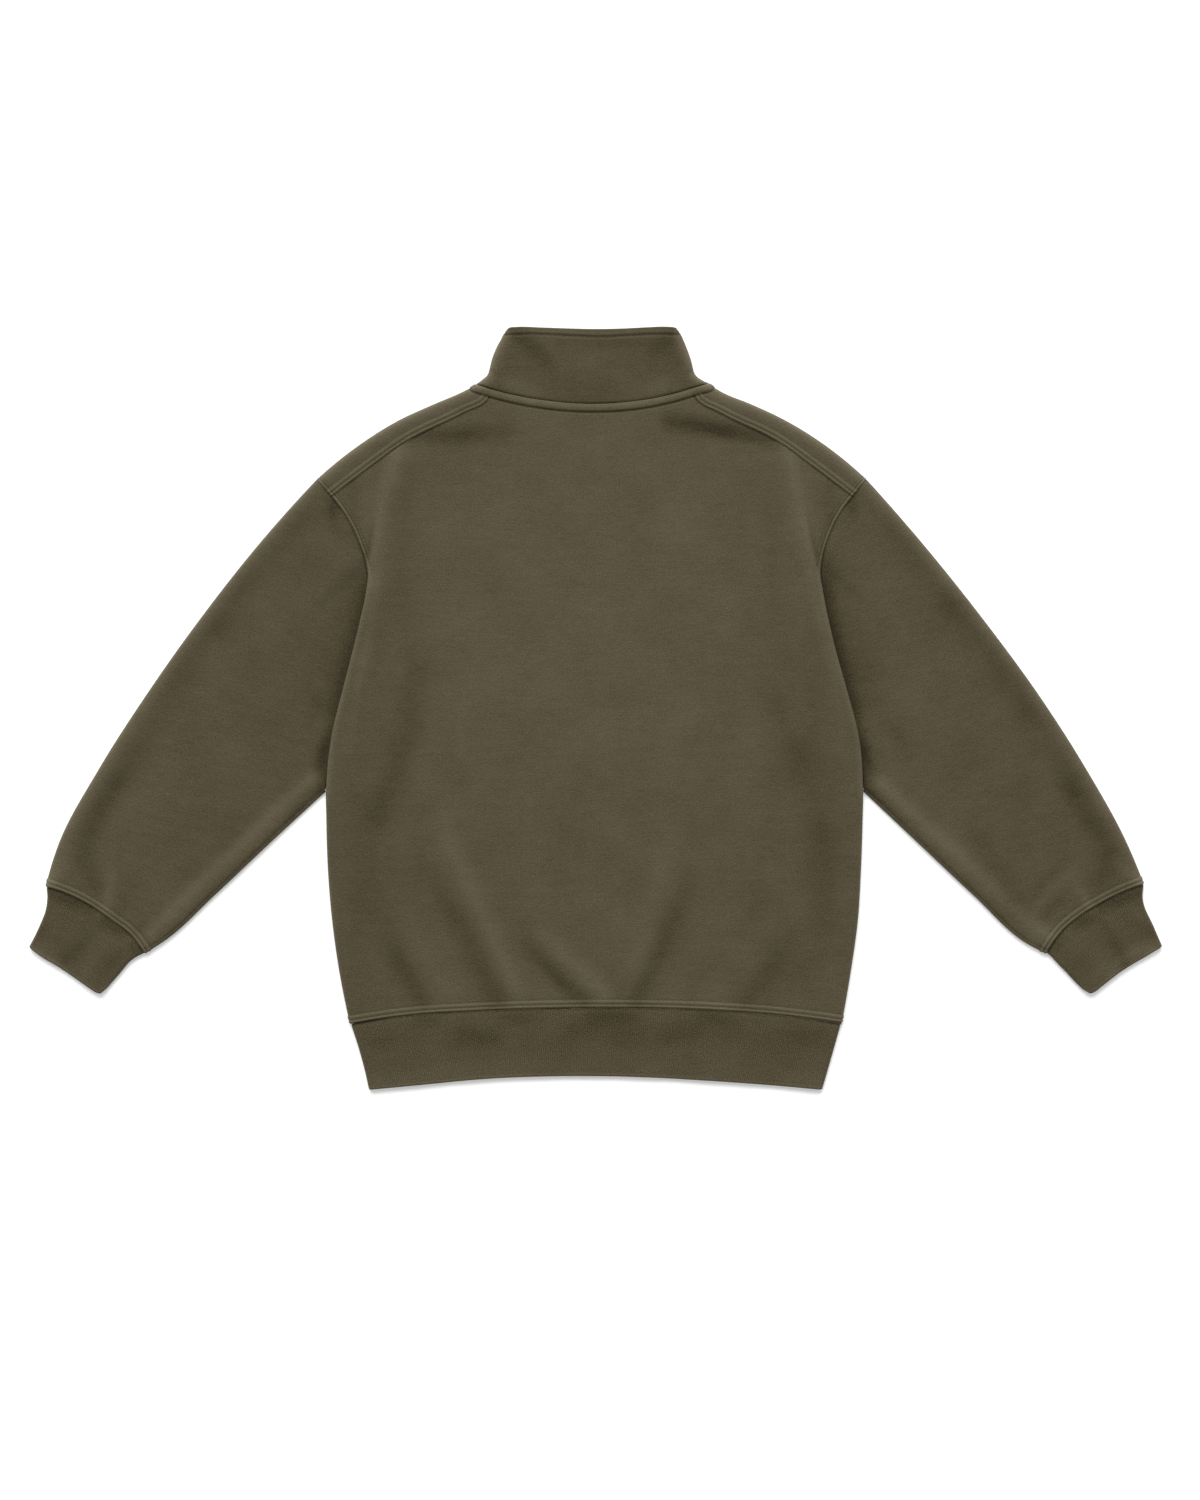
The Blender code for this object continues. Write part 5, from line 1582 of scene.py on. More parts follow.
@dataclass
class Sleeve(ClothPiece):
    """A sleeve, flattened along its underarm seam."""

    side: SidePlan = LEFT
    creases: tuple[Crease, ...] = LEFT_SLEEVE_CREASES
    height: float = 6.0
    grain: float = 0.0
    coarse: float = 5.6
    fine_top: tuple[float, float] = (0.9, 4.0)
    fine_foot: tuple[float, float] = (0.65, 11.5)
    outer_radius: float = 3.9
    inner_radii: tuple[float, ...] = (2.15, 3.6, 3.8, 3.8)
    cuff_trim: float = 3.85
    under_body_shade: float = 0.42
    underarm_dip: float = 0.6
    underarm_shade: float = 0.4
    columns: int = 84

    def __post_init__(self) -> None:
        shares = graded(self.side.sleeve_outer.length, self.coarse, self.fine_top, self.fine_foot)
        shoulder = SHOULDERS[self.side.name]
        first = (shoulder.foot[0] + shoulder.along(0) * SEAM_GAP, shoulder.outward[0])
        radii = (shoulder.RADIUS, self.outer_radius, self.outer_radius)
        self.outer = FoldEdge(self.side.sleeve_outer, shares, self.middle, radii, first)
        self.inner = FoldEdge(self.side.sleeve_inner, shares, self.middle, self.inner_radii)
        seam, normals, height = self.side.armhole()
        seam = (seam + normals * SEAM_GAP)[:-1]
        run = np.vstack([self.outer.crests[:1], seam, self.inner.crests[:1]])
        tops = np.r_[2.0 * shoulder.RADIUS, height[:-1], 2.0 * self.inner.radii[0]]
        row = spread_along(np.column_stack([run, tops]), self.columns)
        self.start, self.start_height = row[:, :2], row[:, 2]
        self.end = trimmed(self.side.cuff_seam, chord_shares(self.start), self.cuff_trim)
        self.outer.meet(self.end[0], 0.04)
        self.inner.meet(self.end[-1], 0.06)

    @property
    def middle(self) -> tuple[float, float]:
        """A plan point in the middle of the sleeve."""
        return self.side.sign * 410.0, -20.0

    def sheets(self) -> list[Array]:
        """The upper and lower layers and the two folds between them."""
        plan = coons(self.start, self.end, self.outer.crests, self.inner.crests)
        share = eased(chord_shares(self.outer.crests), 0.0, 0.35)[:, None]
        height = self.start_height[None] * (1.0 - share) + self.height * share
        raised = add_stand(height, plan, self.outer, self.inner)
        raised[0] = self.start_height
        sheets = [np.dstack([plan, raised]), np.dstack([plan, np.zeros(plan.shape[:2])])]
        sheets = [flat_cut(sheet, self.grain) for sheet in sheets]
        for edge in (self.outer, self.inner):
            sheets.append(flat_cut(edge.half_turn(), self.grain, edge.cut_points()))
        return sheets

    def shape(self, surface: Surface) -> None:
        """Creases, the cuff's band, the armhole's valley and the underarm seam, with painted
        shade and painted highlight.

        Args:
            surface: The piece's points and what is added to them.
        """
        plan = surface.plan
        _, below = surface.layers()
        surface.add_creases(self.creases)
        surface.lift += clouds(plan) * surface.up
        # Painted highlight on the folds and along the outer and inner outlines.
        surface.paint_fold_light(fold_highlight=0.22)
        surface.paint_outline_highlight(self.side.sleeve_outer.line, share=0.55, half=8.5)
        surface.paint_outline_highlight(self.side.sleeve_inner.line, share=0.18, half=4.0)
        surface.lift += np.clip(clouds(plan), 0.0, None) * surface.down * below
        seam = lengthened(self.side.cuff_seam.line)
        surface.rise += gathers(surface, seam, 14.0, 0.32) * surface.up
        surface.add_band(HEM_BAND, seam)
        surface.add_band(PLAIN_SEAM, lengthened(self.side.armhole()[0]), surface.up + surface.down)
        # Painted shadow beside the body's edge, and painted shade in the underarm's dip.
        tucked = nearness(plan, self.side.edge.line[:, :2], 24.0)
        beside_body = bell(tucked.distance, 9.0) * eased(-plan[:, 1], -165.0, -120.0)
        surface.tone -= self.under_body_shade * beside_body * surface.up
        underarm = beside(self.side.sleeve_inner.line, self.outer_radius, self.middle)
        dip = bell(nearness(plan, underarm, 12.0).distance, 0.8) * surface.up
        surface.rise -= self.underarm_dip * dip
        surface.tone -= self.underarm_shade * dip

    def needles(self) -> list[NeedleLine]:
        """Stitches above the cuff, on both layers."""
        seam, above = self.side.cuff_seam.line, (0.0, 0.0)
        return [*band_needles(HEM_BAND, seam, above, True), *band_needles(HEM_BAND, seam, above, False)]


PRESSED = SoftNoise(31, 21.0)


@dataclass
class RibTube(ClothPiece):
    """A flattened tube of rib knit, folded double at its open end."""

    wall: float = 2.5
    slot: str = "rib"
    height: float = 6.8
    radius: float = 3.8
    pitch: float = 2.4
    per_rib: int = 3
    rib_depth: float = 0.26
    rib_shading: float = 0.17
    seam_dip: float = 0.8
    seam_dip_below: float = 0.5
    seam_shade: float = 0.34
    pressed: float = 0.5
    rim_highlight: float = 0.24
    row_step: float = 6.5
    fine_top: tuple[float, float] = (1.0, 4.0)
    fine_foot: tuple[float, float] = (0.55, 1.7)
    corner_reach: float = 0.25
    body_side: tuple[float, float] = (0.0, 0.0)
    creases: tuple[Crease, ...] = ()

    def edges(self, shares: Array) -> tuple[FoldEdge, FoldEdge]:
        """The two folds, from the seam to the open end."""
        raise NotImplementedError

    def seam(self) -> Curve:
        """The seam that the tube hangs from."""
        raise NotImplementedError

    def rim(self) -> Curve:
        """The open end."""
        raise NotImplementedError

    def sheets(self) -> list[Array]:
        """Both layers and the folds, with the same number of columns for each rib."""
        length = float(np.linalg.norm(self.seam().line[0] - self.rim().line[0]))
        shares = graded(length, self.row_step, self.fine_top, self.fine_foot)
        first, last = self.edges(shares)
        ribs = round(float(np.linalg.norm(first.crests[0] - last.crests[0])) / self.pitch)
        spread = np.linspace(0.0, 1.0, ribs * self.per_rib + 1)
        start = trimmed(self.seam(), spread, self.radius)
        start = start + row_normals(start, self.body_side) * 2.0 * SEAM_GAP
        start = ends_moved(start, first.crests[0], last.crests[0])
        end = trimmed(self.rim(), chord_shares(start), self.radius)
        first.meet(end[0], self.corner_reach)
        last.meet(end[-1], self.corner_reach)
        plan = coons(start, end, first.crests, last.crests)
        upper = add_stand(np.full(plan.shape[:2], self.height), plan, first, last)
        across = spread * ribs * self.pitch
        fold_ribs = round(math.pi * self.radius / self.pitch)
        turns = np.linspace(0.0, math.pi, fold_ribs * self.per_rib + 1)
        round_fold = turns / math.pi * fold_ribs * self.pitch
        along = -shares * length
        sheets = []
        layers = (
            (np.dstack([plan, upper]), across),
            (last.half_turn(turns), across[-1] + round_fold),
            (np.dstack([plan, np.zeros(plan.shape[:2])]), 2.0 * across[-1] + round_fold[-1] - across),
            (first.half_turn(turns), -round_fold),
        )
        for points, u in layers:
            place = np.broadcast_arrays(u[None, :], along[:, None])
            sheets.append(np.dstack([points, *place]))
        return sheets

    def shape(self, surface: Surface) -> None:
        """Ribs, the dip under the seam's band, soft pressed places and the rounded rim, with
        painted shade and painted highlight.

        Args:
            surface: The piece's points and what is added to them.
        """
        plan = surface.plan
        rib = np.cos(2.0 * math.pi * surface.cut[:, 0] / self.pitch)
        below = surface.down * surface.layers()[1]
        seam = lengthened(self.seam().line)
        near = nearness(plan, seam, 40.0)
        surface.rise += self.rib_depth * 0.5 * (rib - 1.0)
        # Painted highlight on the rib crests and painted shade in the valleys between them.
        surface.tone += self.rib_shading * rib
        tuck = -self.seam_dip * bell(near.distance, 2.6) * (1.0 - below)
        surface.rise += tuck - self.seam_dip_below * bell(near.distance, 1.2) * below
        # Painted shade in the seam, and a broad painted shadow below the band above it.
        shade = self.seam_shade * bell(near.distance, 2.0)
        surface.tone -= shade + 0.04 * bell(near.distance, 18.0) * surface.up
        surface.lift += gathers(surface, seam, 18.0, 0.4) * surface.up
        surface.add_creases(self.creases)
        pressed = self.pressed * PRESSED.at(plan) + clouds(plan, 0.6)
        surface.lift += pressed * surface.up + np.clip(pressed, 0.0, None) * below
        # Painted highlight where the rib turns over its folds.
        surface.paint_fold_light(fold_highlight=0.42)
        # Painted highlight just inside the open end, and painted shade right on its edge.
        rim = nearness(plan, lengthened(self.rim().line), 8.0)
        surface.tone += self.rim_highlight * bell(rim.distance - 2.0, 1.8) - 0.10 * bell(rim.distance, 0.8)
        surface.round_rim(lengthened(self.rim().line), self.wall)


# Creases in the ribs: troughs with painted shade, most near the seams, and swells with painted highlight.
HEM_CREASES = (
    Crease(((-244, -346), (-232, -352), (-218, -350)), 9, -0.5, -0.14, (0.4, 1.0, 0.8)),
    Crease(((-186, -328), (-172, -330), (-156, -336)), 9, -0.6, -0.18, (0.6, 1.0, 0.4)),
    Crease(((-136, -342), (-104, -350)), 11, -0.4, -0.16),
    Crease(((-92, -324), (-74, -328)), 8, -0.5, -0.18, (0.8, 1.0, 0.6)),
    Crease(((-24, -340), (-2, -336)), 10, -0.4, -0.15),
    Crease(((-2, -324), (18, -325), (40, -326)), 9, -0.8, -0.25, (0.9, 1.0, 0.6)),
    Crease(((78, -346), (104, -340)), 11, -0.4, -0.17),
    Crease(((116, -325), (130, -328), (146, -332)), 9, -0.6, -0.20, (0.6, 1.0, 0.5)),
    Crease(((206, -342), (222, -345), (236, -342)), 9, -0.5, -0.16, (0.4, 1.0, 0.6)),
    Crease(((-124, -326), (-112, -332)), 9, 0.4, 0.14),
    Crease(((56, -326), (68, -332)), 9, 0.4, 0.08),
    Crease(((-240, -352), (0, -342), (240, -352)), 14, -0.1, -0.10),
    Crease(((-234, -392), (-110, -382), (-20, -378)), 9, 0.1, 0.15, (1.0, 0.9, 0.4)),
    Crease(((-20, -378), (110, -382), (232, -392)), 9, 0.1, 0.11, (0.4, 0.4, 1.3)),
)
LEFT_CUFF_CREASES = (
    Crease(((-572, -194), (-552, -202), (-530, -210)), 8, -0.8, -0.34),
    Crease(((-514, -226), (-498, -236)), 7, -0.7, -0.32),
    Crease(((-486, -250), (-478, -262)), 6, -0.5, -0.20, (0.8, 1.0, 0.6)),
    Crease(((-578, -232), (-586, -238)), 7, -0.4, -0.14),
    Crease(((-530, -236), (-545, -256), (-556, -266)), 7, -0.6, -0.20, (0.3, 0.8, 1.0)),
    Crease(((-500, -258), (-512, -276), (-522, -288)), 6, -0.5, -0.12, (0.5, 1.0, 0.6)),
    Crease(((-586, -250), (-572, -254)), 8, 0.4, 0.15, (1.0, 1.0, 0.6)),
    Crease(((-516, -252), (-530, -272), (-536, -282)), 6, 0.5, 0.08, (0.3, 1.0, 1.0)),
    Crease(((-590, -256), (-572, -266), (-556, -276)), 6, 0.1, 0.38, (0.9, 0.9, 0.3)),
)
RIGHT_CUFF_CREASES = (
    Crease(((570, -194), (552, -200), (532, -208)), 8, -0.8, -0.36),
    Crease(((518, -222), (506, -228)), 7, -0.7, -0.32),
    Crease(((490, -244), (478, -256)), 6, -0.5, -0.22, (0.8, 1.0, 0.6)),
    Crease(((530, -226), (548, -252), (556, -270)), 6.5, -0.6, -0.22, (0.4, 0.9, 1.0)),
    Crease(((556, -218), (574, -232), (586, -238)), 6, -0.5, -0.16, (0.4, 1.0, 0.8)),
    Crease(((512, -268), (500, -280)), 7, -0.3, -0.08),
    Crease(((588, -248), (568, -256)), 8, 0.4, 0.16, (1.0, 1.0, 0.8)),
    Crease(((534, -262), (528, -284)), 7, 0.4, 0.09, (0.6, 1.0, 1.0)),
    Crease(((588, -255), (562, -258), (540, -280)), 6, 0.1, 0.26, (1.0, 1.0, 0.8)),
)


@dataclass
class HemRib(RibTube):
    """The rib at the hem, round the whole body."""

    def edges(self, shares: Array) -> tuple[FoldEdge, FoldEdge]:
        """The left and right side folds."""
        middle = (0.0, -365.0)
        return tuple(FoldEdge(side.hem_side, shares, middle, (self.radius,)) for side in SIDES)

    def seam(self) -> Curve:
        """The hem seam."""
        return HEM_SEAM

    def rim(self) -> Curve:
        """The garment's lower edge."""
        return HEM_END


@dataclass
class Cuff(RibTube):
    """The rib at the end of a sleeve."""

    side: SidePlan = LEFT
    radius: float = 3.7
    row_step: float = 4.6

    def edges(self, shares: Array) -> tuple[FoldEdge, FoldEdge]:
        """The outer and inner folds."""
        middle = (self.side.sign * 535.0, -240.0)
        curves = (self.side.cuff_outer, self.side.cuff_inner)
        return tuple(FoldEdge(curve, shares, middle, (self.radius,)) for curve in curves)

    def seam(self) -> Curve:
        """The seam to the sleeve."""
        return self.side.cuff_seam

    def rim(self) -> Curve:
        """The cuff's open end."""
        return self.side.cuff_end


COLLAR_CREASES = (
    Crease(((-88, 393), (-70, 380), (-54, 366), (-46, 350)), 9, -1.1, -0.24, (0.9, 1.0, 0.4), 0.2),
    Crease(((86, 393), (68, 380), (58, 364)), 9, -1.0, -0.20, (0.9, 1.0, 0.3), -0.2),
    Crease(((-34, 386), (10, 381), (52, 382)), 8, -0.6, -0.11, (0.5, 1.0, 0.8)),
    Crease(((-90, 340), (-66, 333)), 9, 0.6, 0.19),
    Crease(((60, 336), (82, 340)), 9, 0.6, 0.19),
    Crease(((-26, 352), (16, 350)), 20, 0.5, 0.05),
    Crease(((-111.5, 356.0), (-106.5, 352.5), (-101.0, 349.5)), 2.0, -1.0, -0.30, (1.0, 0.8, 0.0)),
    Crease(((103.4, 356.0), (98.6, 352.5), (93.0, 349.5)), 2.0, -1.0, -0.30, (1.0, 0.8, 0.0)),
)


@dataclass
class Collar(ClothPiece):
    """The stand collar, folded double, parted at the front for the zip."""

    wall: float = 3.0
    radius: float = 4.8
    side_gap: float = 0.4
    corner: float = 8.0
    height: float = 9.2
    hump: float = 1.5
    coarse: float = 1.7
    fine_foot: tuple[float, float] = (0.7, 4.0)
    fine_rim: tuple[float, float] = (0.38, 9.0)
    front_rise: tuple[float, float] = (268.0, 325.0)
    front_spread: float = 45.0
    upper_from: float = 5.0
    lower_to: float = 3.5
    hump_reach: tuple[float, float] = (32.0, 34.0)
    hump_y: float = 340.0
    shade: float = 0.07
    columns: int = 150

    def _edge(self, side: SidePlan, shares: Array) -> FoldEdge:
        """One folded side of the collar, from the neck seam to its top.

        Args:
            side: The side of the garment.
            shares: Where its rows are.

        Returns:
            The fold.
        """
        shoulder = SHOULDERS[side.name]
        start = shoulder.foot[-1] + shoulder.along(-1) * self.side_gap
        first = (start, shoulder.outward[-1])
        edge = FoldEdge(side.collar_side, shares, COLLAR_MIDDLE, (self.radius,), first, blend=0.25)
        corners = trimmed(COLLAR_TOP, np.array([0.0, 1.0]), self.corner)
        edge.meet(corners[0 if side.sign < 0.0 else 1], 0.3)
        return edge

    def _front_half(self, side: SidePlan, edge: FoldEdge, shares: Array) -> Array:
        """One half of the collar's front, from its folded side to the zip.

        Args:
            side: The side of the garment.
            edge: The fold on that side.
            shares: Where its rows are.

        Returns:
            Rows of columns of X, Y and Z.
        """
        seam = front_neck(side)
        seam = seam - row_normals(seam, COLLAR_MIDDLE) * 2.0 * SEAM_GAP
        seam = ends_moved(seam, edge.crests[0], seam[-1])
        rim = to_slit(side, edge.crests[-1], COLLAR_FRONT_BENDS, COLLAR_FRONT_Y).at(chord_shares(seam))
        slit = seam[-1] + (rim[-1] - seam[-1]) * shares[:, None]
        slit[:, 0] = centre_x(slit[:, 1]) + side.sign * SLIT_HALF
        plan = coons(seam, rim, edge.crests, slit)
        across = bell(plan[..., 0] - centre_x(plan[..., 1]), self.front_spread)
        return np.dstack([plan, eased(plan[..., 1], *self.front_rise) * across])

    def sheets(self) -> list[Array]:
        """The back, the folded sides and the two halves of the front."""
        shares = graded(LEFT.collar_side.length, self.coarse, self.fine_foot, self.fine_rim)
        edges = [self._edge(side, shares) for side in SIDES]
        neck = NECK_SEAM.line + (0.0, SEAM_GAP)
        start = np.vstack([edges[0].crests[:1], neck, edges[1].crests[:1]])
        start = spread_along(start, self.columns)
        end = trimmed(COLLAR_TOP, chord_shares(start), self.corner)
        plan = coons(start, end, edges[0].crests, edges[1].crests)
        x, y = plan[..., 0], plan[..., 1]
        across, along = self.hump_reach
        hump = self.hump * bell(x - centre_x(y), across) * bell(y - self.hump_y, along)
        upper = add_stand(self.height + hump, plan, *edges)
        sheets = [flat_cut(np.dstack([plan, upper]))]
        for side, edge in zip(SIDES, edges):
            sheets.append(flat_cut(edge.half_turn(), 0.0, edge.cut_points()))
            sheets.append(flat_cut(self._front_half(side, edge, shares)))
        return sheets

    def shape(self, surface: Surface) -> None:
        """Creases, the stitched top edge, the neck seam's valley and the rounded rims, with painted
        shade and painted highlight.

        Args:
            surface: The piece's points and what is added to them.
        """
        plan = surface.plan
        above, below = surface.layers(self.upper_from, self.lower_to)
        surface.add_creases(COLLAR_CREASES, above.astype(float))
        surface.tone -= self.shade
        surface.lift += 0.8 * clouds(plan) * surface.up * above
        # Painted highlight where the cloth turns over its folds.
        surface.paint_fold_light(fold_highlight=0.24)
        surface.add_band(COLLAR_EDGE_BAND, COLLAR_STITCH.line, above)
        surface.add_band(PLAIN_SEAM, neck_line(), above)
        surface.round_rim(COLLAR_TOP.line, self.wall, above)
        # Painted highlight along the top and the folded sides.
        surface.paint_outline_highlight(COLLAR_TOP.line, share=0.16, half=5.0)
        for side in SIDES:
            surface.paint_outline_highlight(side.collar_side.line, share=0.85, half=7.0)
            rim = to_slit(side, side.collar_side.line[-1], COLLAR_FRONT_BENDS, COLLAR_FRONT_Y).line
            surface.round_rim(rim, self.wall, below)
            surface.add_band(COLLAR_EDGE_BAND, beside(rim, 6.5, (centre_x(300.0), 260.0)), below)
            surface.add_band(ZIP_BAND, slit_edge(side, FRONT_NECK_Y, COLLAR_FRONT_Y, 30), below)
            surface.add_band(PLAIN_SEAM, front_neck(side), below)

    def needles(self) -> list[NeedleLine]:
        """Stitches along the top, and beside the zip below."""
        lines = [NeedleLine(COLLAR_STITCH.line)]
        for side in SIDES:
            slit = slit_edge(side, FRONT_NECK_Y + 2.0, COLLAR_FRONT_Y - 3.0, 30)
            lines += band_needles(ZIP_BAND, slit, (side.sign * 200.0, 150.0), False)
        return lines


# ---------------------------------------------------------------- stitches


@dataclass(frozen=True)
class NeedleLine:
    """A row of stitches along a plan line, on top of a piece or under it."""

    line: Array
    on_top: bool = True


def band_needles(band: SeamBand, seam: Array, towards: Sequence[float], on_top: bool) -> list[NeedleLine]:
    """The needle lines of a topstitched band.

    Args:
        band: The band.
        seam: Plan points of its seam.
        towards: A plan point on the side of the seam where the band lies.
        on_top: Whether it shows from above.

    Returns:
        One line for each needle.
    """
    return [NeedleLine(beside(seam, needle, towards), on_top) for needle in band.needles]


@dataclass
class Stitches:
    """Thread laid along needle lines, each stitch with its ends sunk into the cloth."""

    length: float = 2.5
    pitch: float = 3.05
    radius: float = 0.24
    sunk: float = 0.22
    sides: int = 5
    proud: float = 0.10
    shoulder: float = 0.22
    start: float = 0.6
    least_facing: float = 0.35
    most_step: float = 1.2
    above: float = 50.0

    def lay(self, piece: ClothPiece, lines: Sequence[NeedleLine], material: bpy.types.Material) -> None:
        """Sews the lines onto a built piece as one joined mesh.

        Args:
            piece: The cloth.
            lines: Where the needle ran.
            material: The thread's finish.
        """
        mesh = piece.made.data
        verts = [tuple(vert.co) for vert in mesh.vertices]
        tree = BVHTree.FromPolygons(verts, [tuple(face.vertices) for face in mesh.polygons])
        ends = [pair for line in lines for pair in self._stitch_ends(tree, line)]
        if not ends:
            return
        name = piece.name + "_stitches"
        made = mesh_object(name, *self._threads(np.array(ends)), material)
        made.data.shade_smooth()
        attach(made, GARMENT)
        LOG.info("%s: %d stitches", name, len(ends))

    def _stitch_ends(self, tree: BVHTree, line: NeedleLine) -> list[tuple[Vector, Vector]]:
        """Both ends of each stitch of a line, on the cloth.

        Args:
            tree: The cloth to look for.
            line: Where the needle ran.

        Returns:
            Pairs of ends, each with the way that the needle went.
        """
        share = chord_shares(line.line)
        total = plan_length(line.line)
        found = []
        way = -1.0 if line.on_top else 1.0
        for start in np.arange(self.start, total - self.length, self.pitch):
            pair = []
            for run in (start, start + self.length):
                x, y = (float(np.interp(run / total, share, line.line[:, k])) for k in (0, 1))
                origin = Vector((x * MM, y * MM, -self.above * MM * way))
                place, normal, _, _ = tree.ray_cast(origin, Vector((0.0, 0.0, way)))
                if place is not None and normal.z * way < -self.least_facing:
                    pair.append((*place, way))
            if len(pair) == 2 and abs(pair[0][2] - pair[1][2]) < self.most_step * MM:
                found.append(pair)
        return found

    def _threads(self, ends: Array) -> tuple[Array, list[tuple[int, ...]]]:
        """Points and faces of all the stitches between pairs of ends.

        Args:
            ends: The pairs.

        Returns:
            Points in millimetres, and faces.
        """
        first, last = ends[:, 0, :3] / MM, ends[:, 1, :3] / MM
        up = np.zeros_like(first)
        up[:, 2] = -ends[:, 0, 3]
        along = unit(last - first)
        out = np.cross(along, up)
        rings = [(first - up * self.sunk)[:, None]]
        angles = np.arange(self.sides) * 2.0 * math.pi / self.sides + math.pi / 2
        for base, inward in ((first, self.shoulder), (last, -self.shoulder)):
            centre = base + along * inward * self.length + up * self.proud
            around = out[:, None] * np.cos(angles)[:, None] + up[:, None] * np.sin(angles)[:, None]
            rings.append(centre[:, None] + around * self.radius)
        rings.append((last - up * self.sunk)[:, None])
        points = np.concatenate(rings, axis=1)
        faces = []
        sides, tip = self.sides, 2 * self.sides + 1
        for stitch in range(len(points)):
            base = stitch * (tip + 1)
            for k in range(sides):
                a, b = base + 1 + k, base + 1 + (k + 1) % sides
                faces.append((base, b, a))
                faces.append((a, b, b + sides, a + sides))
                faces.append((base + tip, a + sides, b + sides))
        return points.reshape(-1, 3), faces


def mesh_object(name: str, points: Array, faces: Sequence[Sequence[int]],
                material: bpy.types.Material) -> bpy.types.Object:
    """An object in the scene made from points in millimetres and faces.

    Args:
        name: Its name.
        points: The points.
        faces: Their indices, face by face.
        material: Its finish.

    Returns:
        The object.
    """
    mesh = bpy.data.meshes.new(name)
    mesh.from_pydata((np.asarray(points) * MM).tolist(), [], faces)
    mesh.validate()
    mesh.materials.append(material)
    return placed(name, mesh)


# ---------------------------------------------------------------- the zip


ZIP_LEVEL = 2.55
ZIP_STEPS = ((1.15, 212.0, 256.0), (1.0, 262.0, 325.0))


def zip_level(y: Array | float) -> Array:
    """Height of the middle of the zip's tape, which steps up at the neck and along the collar.

    Args:
        y: Plan Y.

    Returns:
        One height for each.
    """
    level = ZIP_LEVEL
    for rise, low, high in ZIP_STEPS:
        level = level + rise * eased(y, low, high)
    return level


def ring_faces(count: int, rings: int) -> list[tuple[int, ...]]:
    """Faces between rings that follow one another, each of the same count of points.

    Args:
        count: Points in a ring.
        rings: How many rings there are.

    Returns:
        Four-sided faces.
    """
    faces = []
    for ring in range(rings - 1):
        for k in range(count):
            a, b = ring * count + k, ring * count + (k + 1) % count
            faces.append((a, b, b + count, a + count))
    return faces


def chamfered(edge: float) -> list[tuple[float, float]]:
    """Rings of a prism 2 mm high whose rims are both cut off by the same length."""
    return [(-1.0, edge), (edge - 1.0, 0.0), (1.0 - edge, 0.0), (1.0, edge)]


def prism(outline: Array, rings: Sequence[tuple[float, float]]) -> tuple[Array, list[tuple[int, ...]]]:
    """A solid between copies of a plan outline.

    Args:
        outline: Plan points round the solid, anticlockwise.
        rings: Height of each copy, and how far it is drawn in.

    Returns:
        Points and faces.
    """
    normals = np.roll(outline, -1, axis=0) - np.roll(outline, 1, axis=0)
    normals = unit(np.column_stack([normals[:, 1], -normals[:, 0]]))
    count = len(outline)
    points = np.vstack([
        np.column_stack([outline - normals * inset, np.full(count, height)]) for height, inset in rings
    ])
    last = (len(rings) - 1) * count
    caps = [tuple(range(count - 1, -1, -1)), tuple(range(last, last + count))]
    return points, [caps[0], *ring_faces(count, len(rings)), caps[1]]


def rounded_box(width: float, length: float, corner: float, steps: int = 4) -> Array:
    """Plan outline of a rectangle with round corners about its middle, anticlockwise.

    Args:
        width: Its size along X.
        length: Its size along Y.
        corner: Radius of its corners.
        steps: Points round each corner.

    Returns:
        Plan points.
    """
    points = []
    turn = np.linspace(0.0, math.pi / 2, steps)
    for quarter, (sx, sy) in enumerate(((1, 1), (-1, 1), (-1, -1), (1, -1))):
        middle = np.array([sx * (width / 2 - corner), sy * (length / 2 - corner)])
        angle = turn + quarter * math.pi / 2
        points.append(middle + corner * np.column_stack([np.cos(angle), np.sin(angle)]))
    return np.vstack(points)


class Solids:
    """A growing mesh of separate solids."""

    def __init__(self) -> None:
        self.points: list[Array] = []
        self.faces: list[tuple[int, ...]] = []
        self.count = 0

    def add(self, points: Array, faces: Sequence[tuple[int, ...]], at: Sequence[float] = (0, 0, 0)) -> None:
        """Adds a solid, moved to a place."""
        self.points.append(np.asarray(points) + np.array(at, float))
        self.faces.extend(tuple(index + self.count for index in face) for face in faces)
        self.count += len(points)

    def make(self, name: str, material: bpy.types.Material) -> bpy.types.Object:
        """The object of all the solids so far.

        Args:
            name: Its name.
            material: Its finish.

        Returns:
            The object.
        """
        made = mesh_object(name, np.vstack(self.points), self.faces, material)
        work = bmesh.new()
        work.from_mesh(made.data)
        bmesh.ops.recalc_face_normals(work, faces=work.faces)
        work.to_mesh(made.data)
        work.free()
        return made


SHARP_ANGLE = math.radians(32.0)


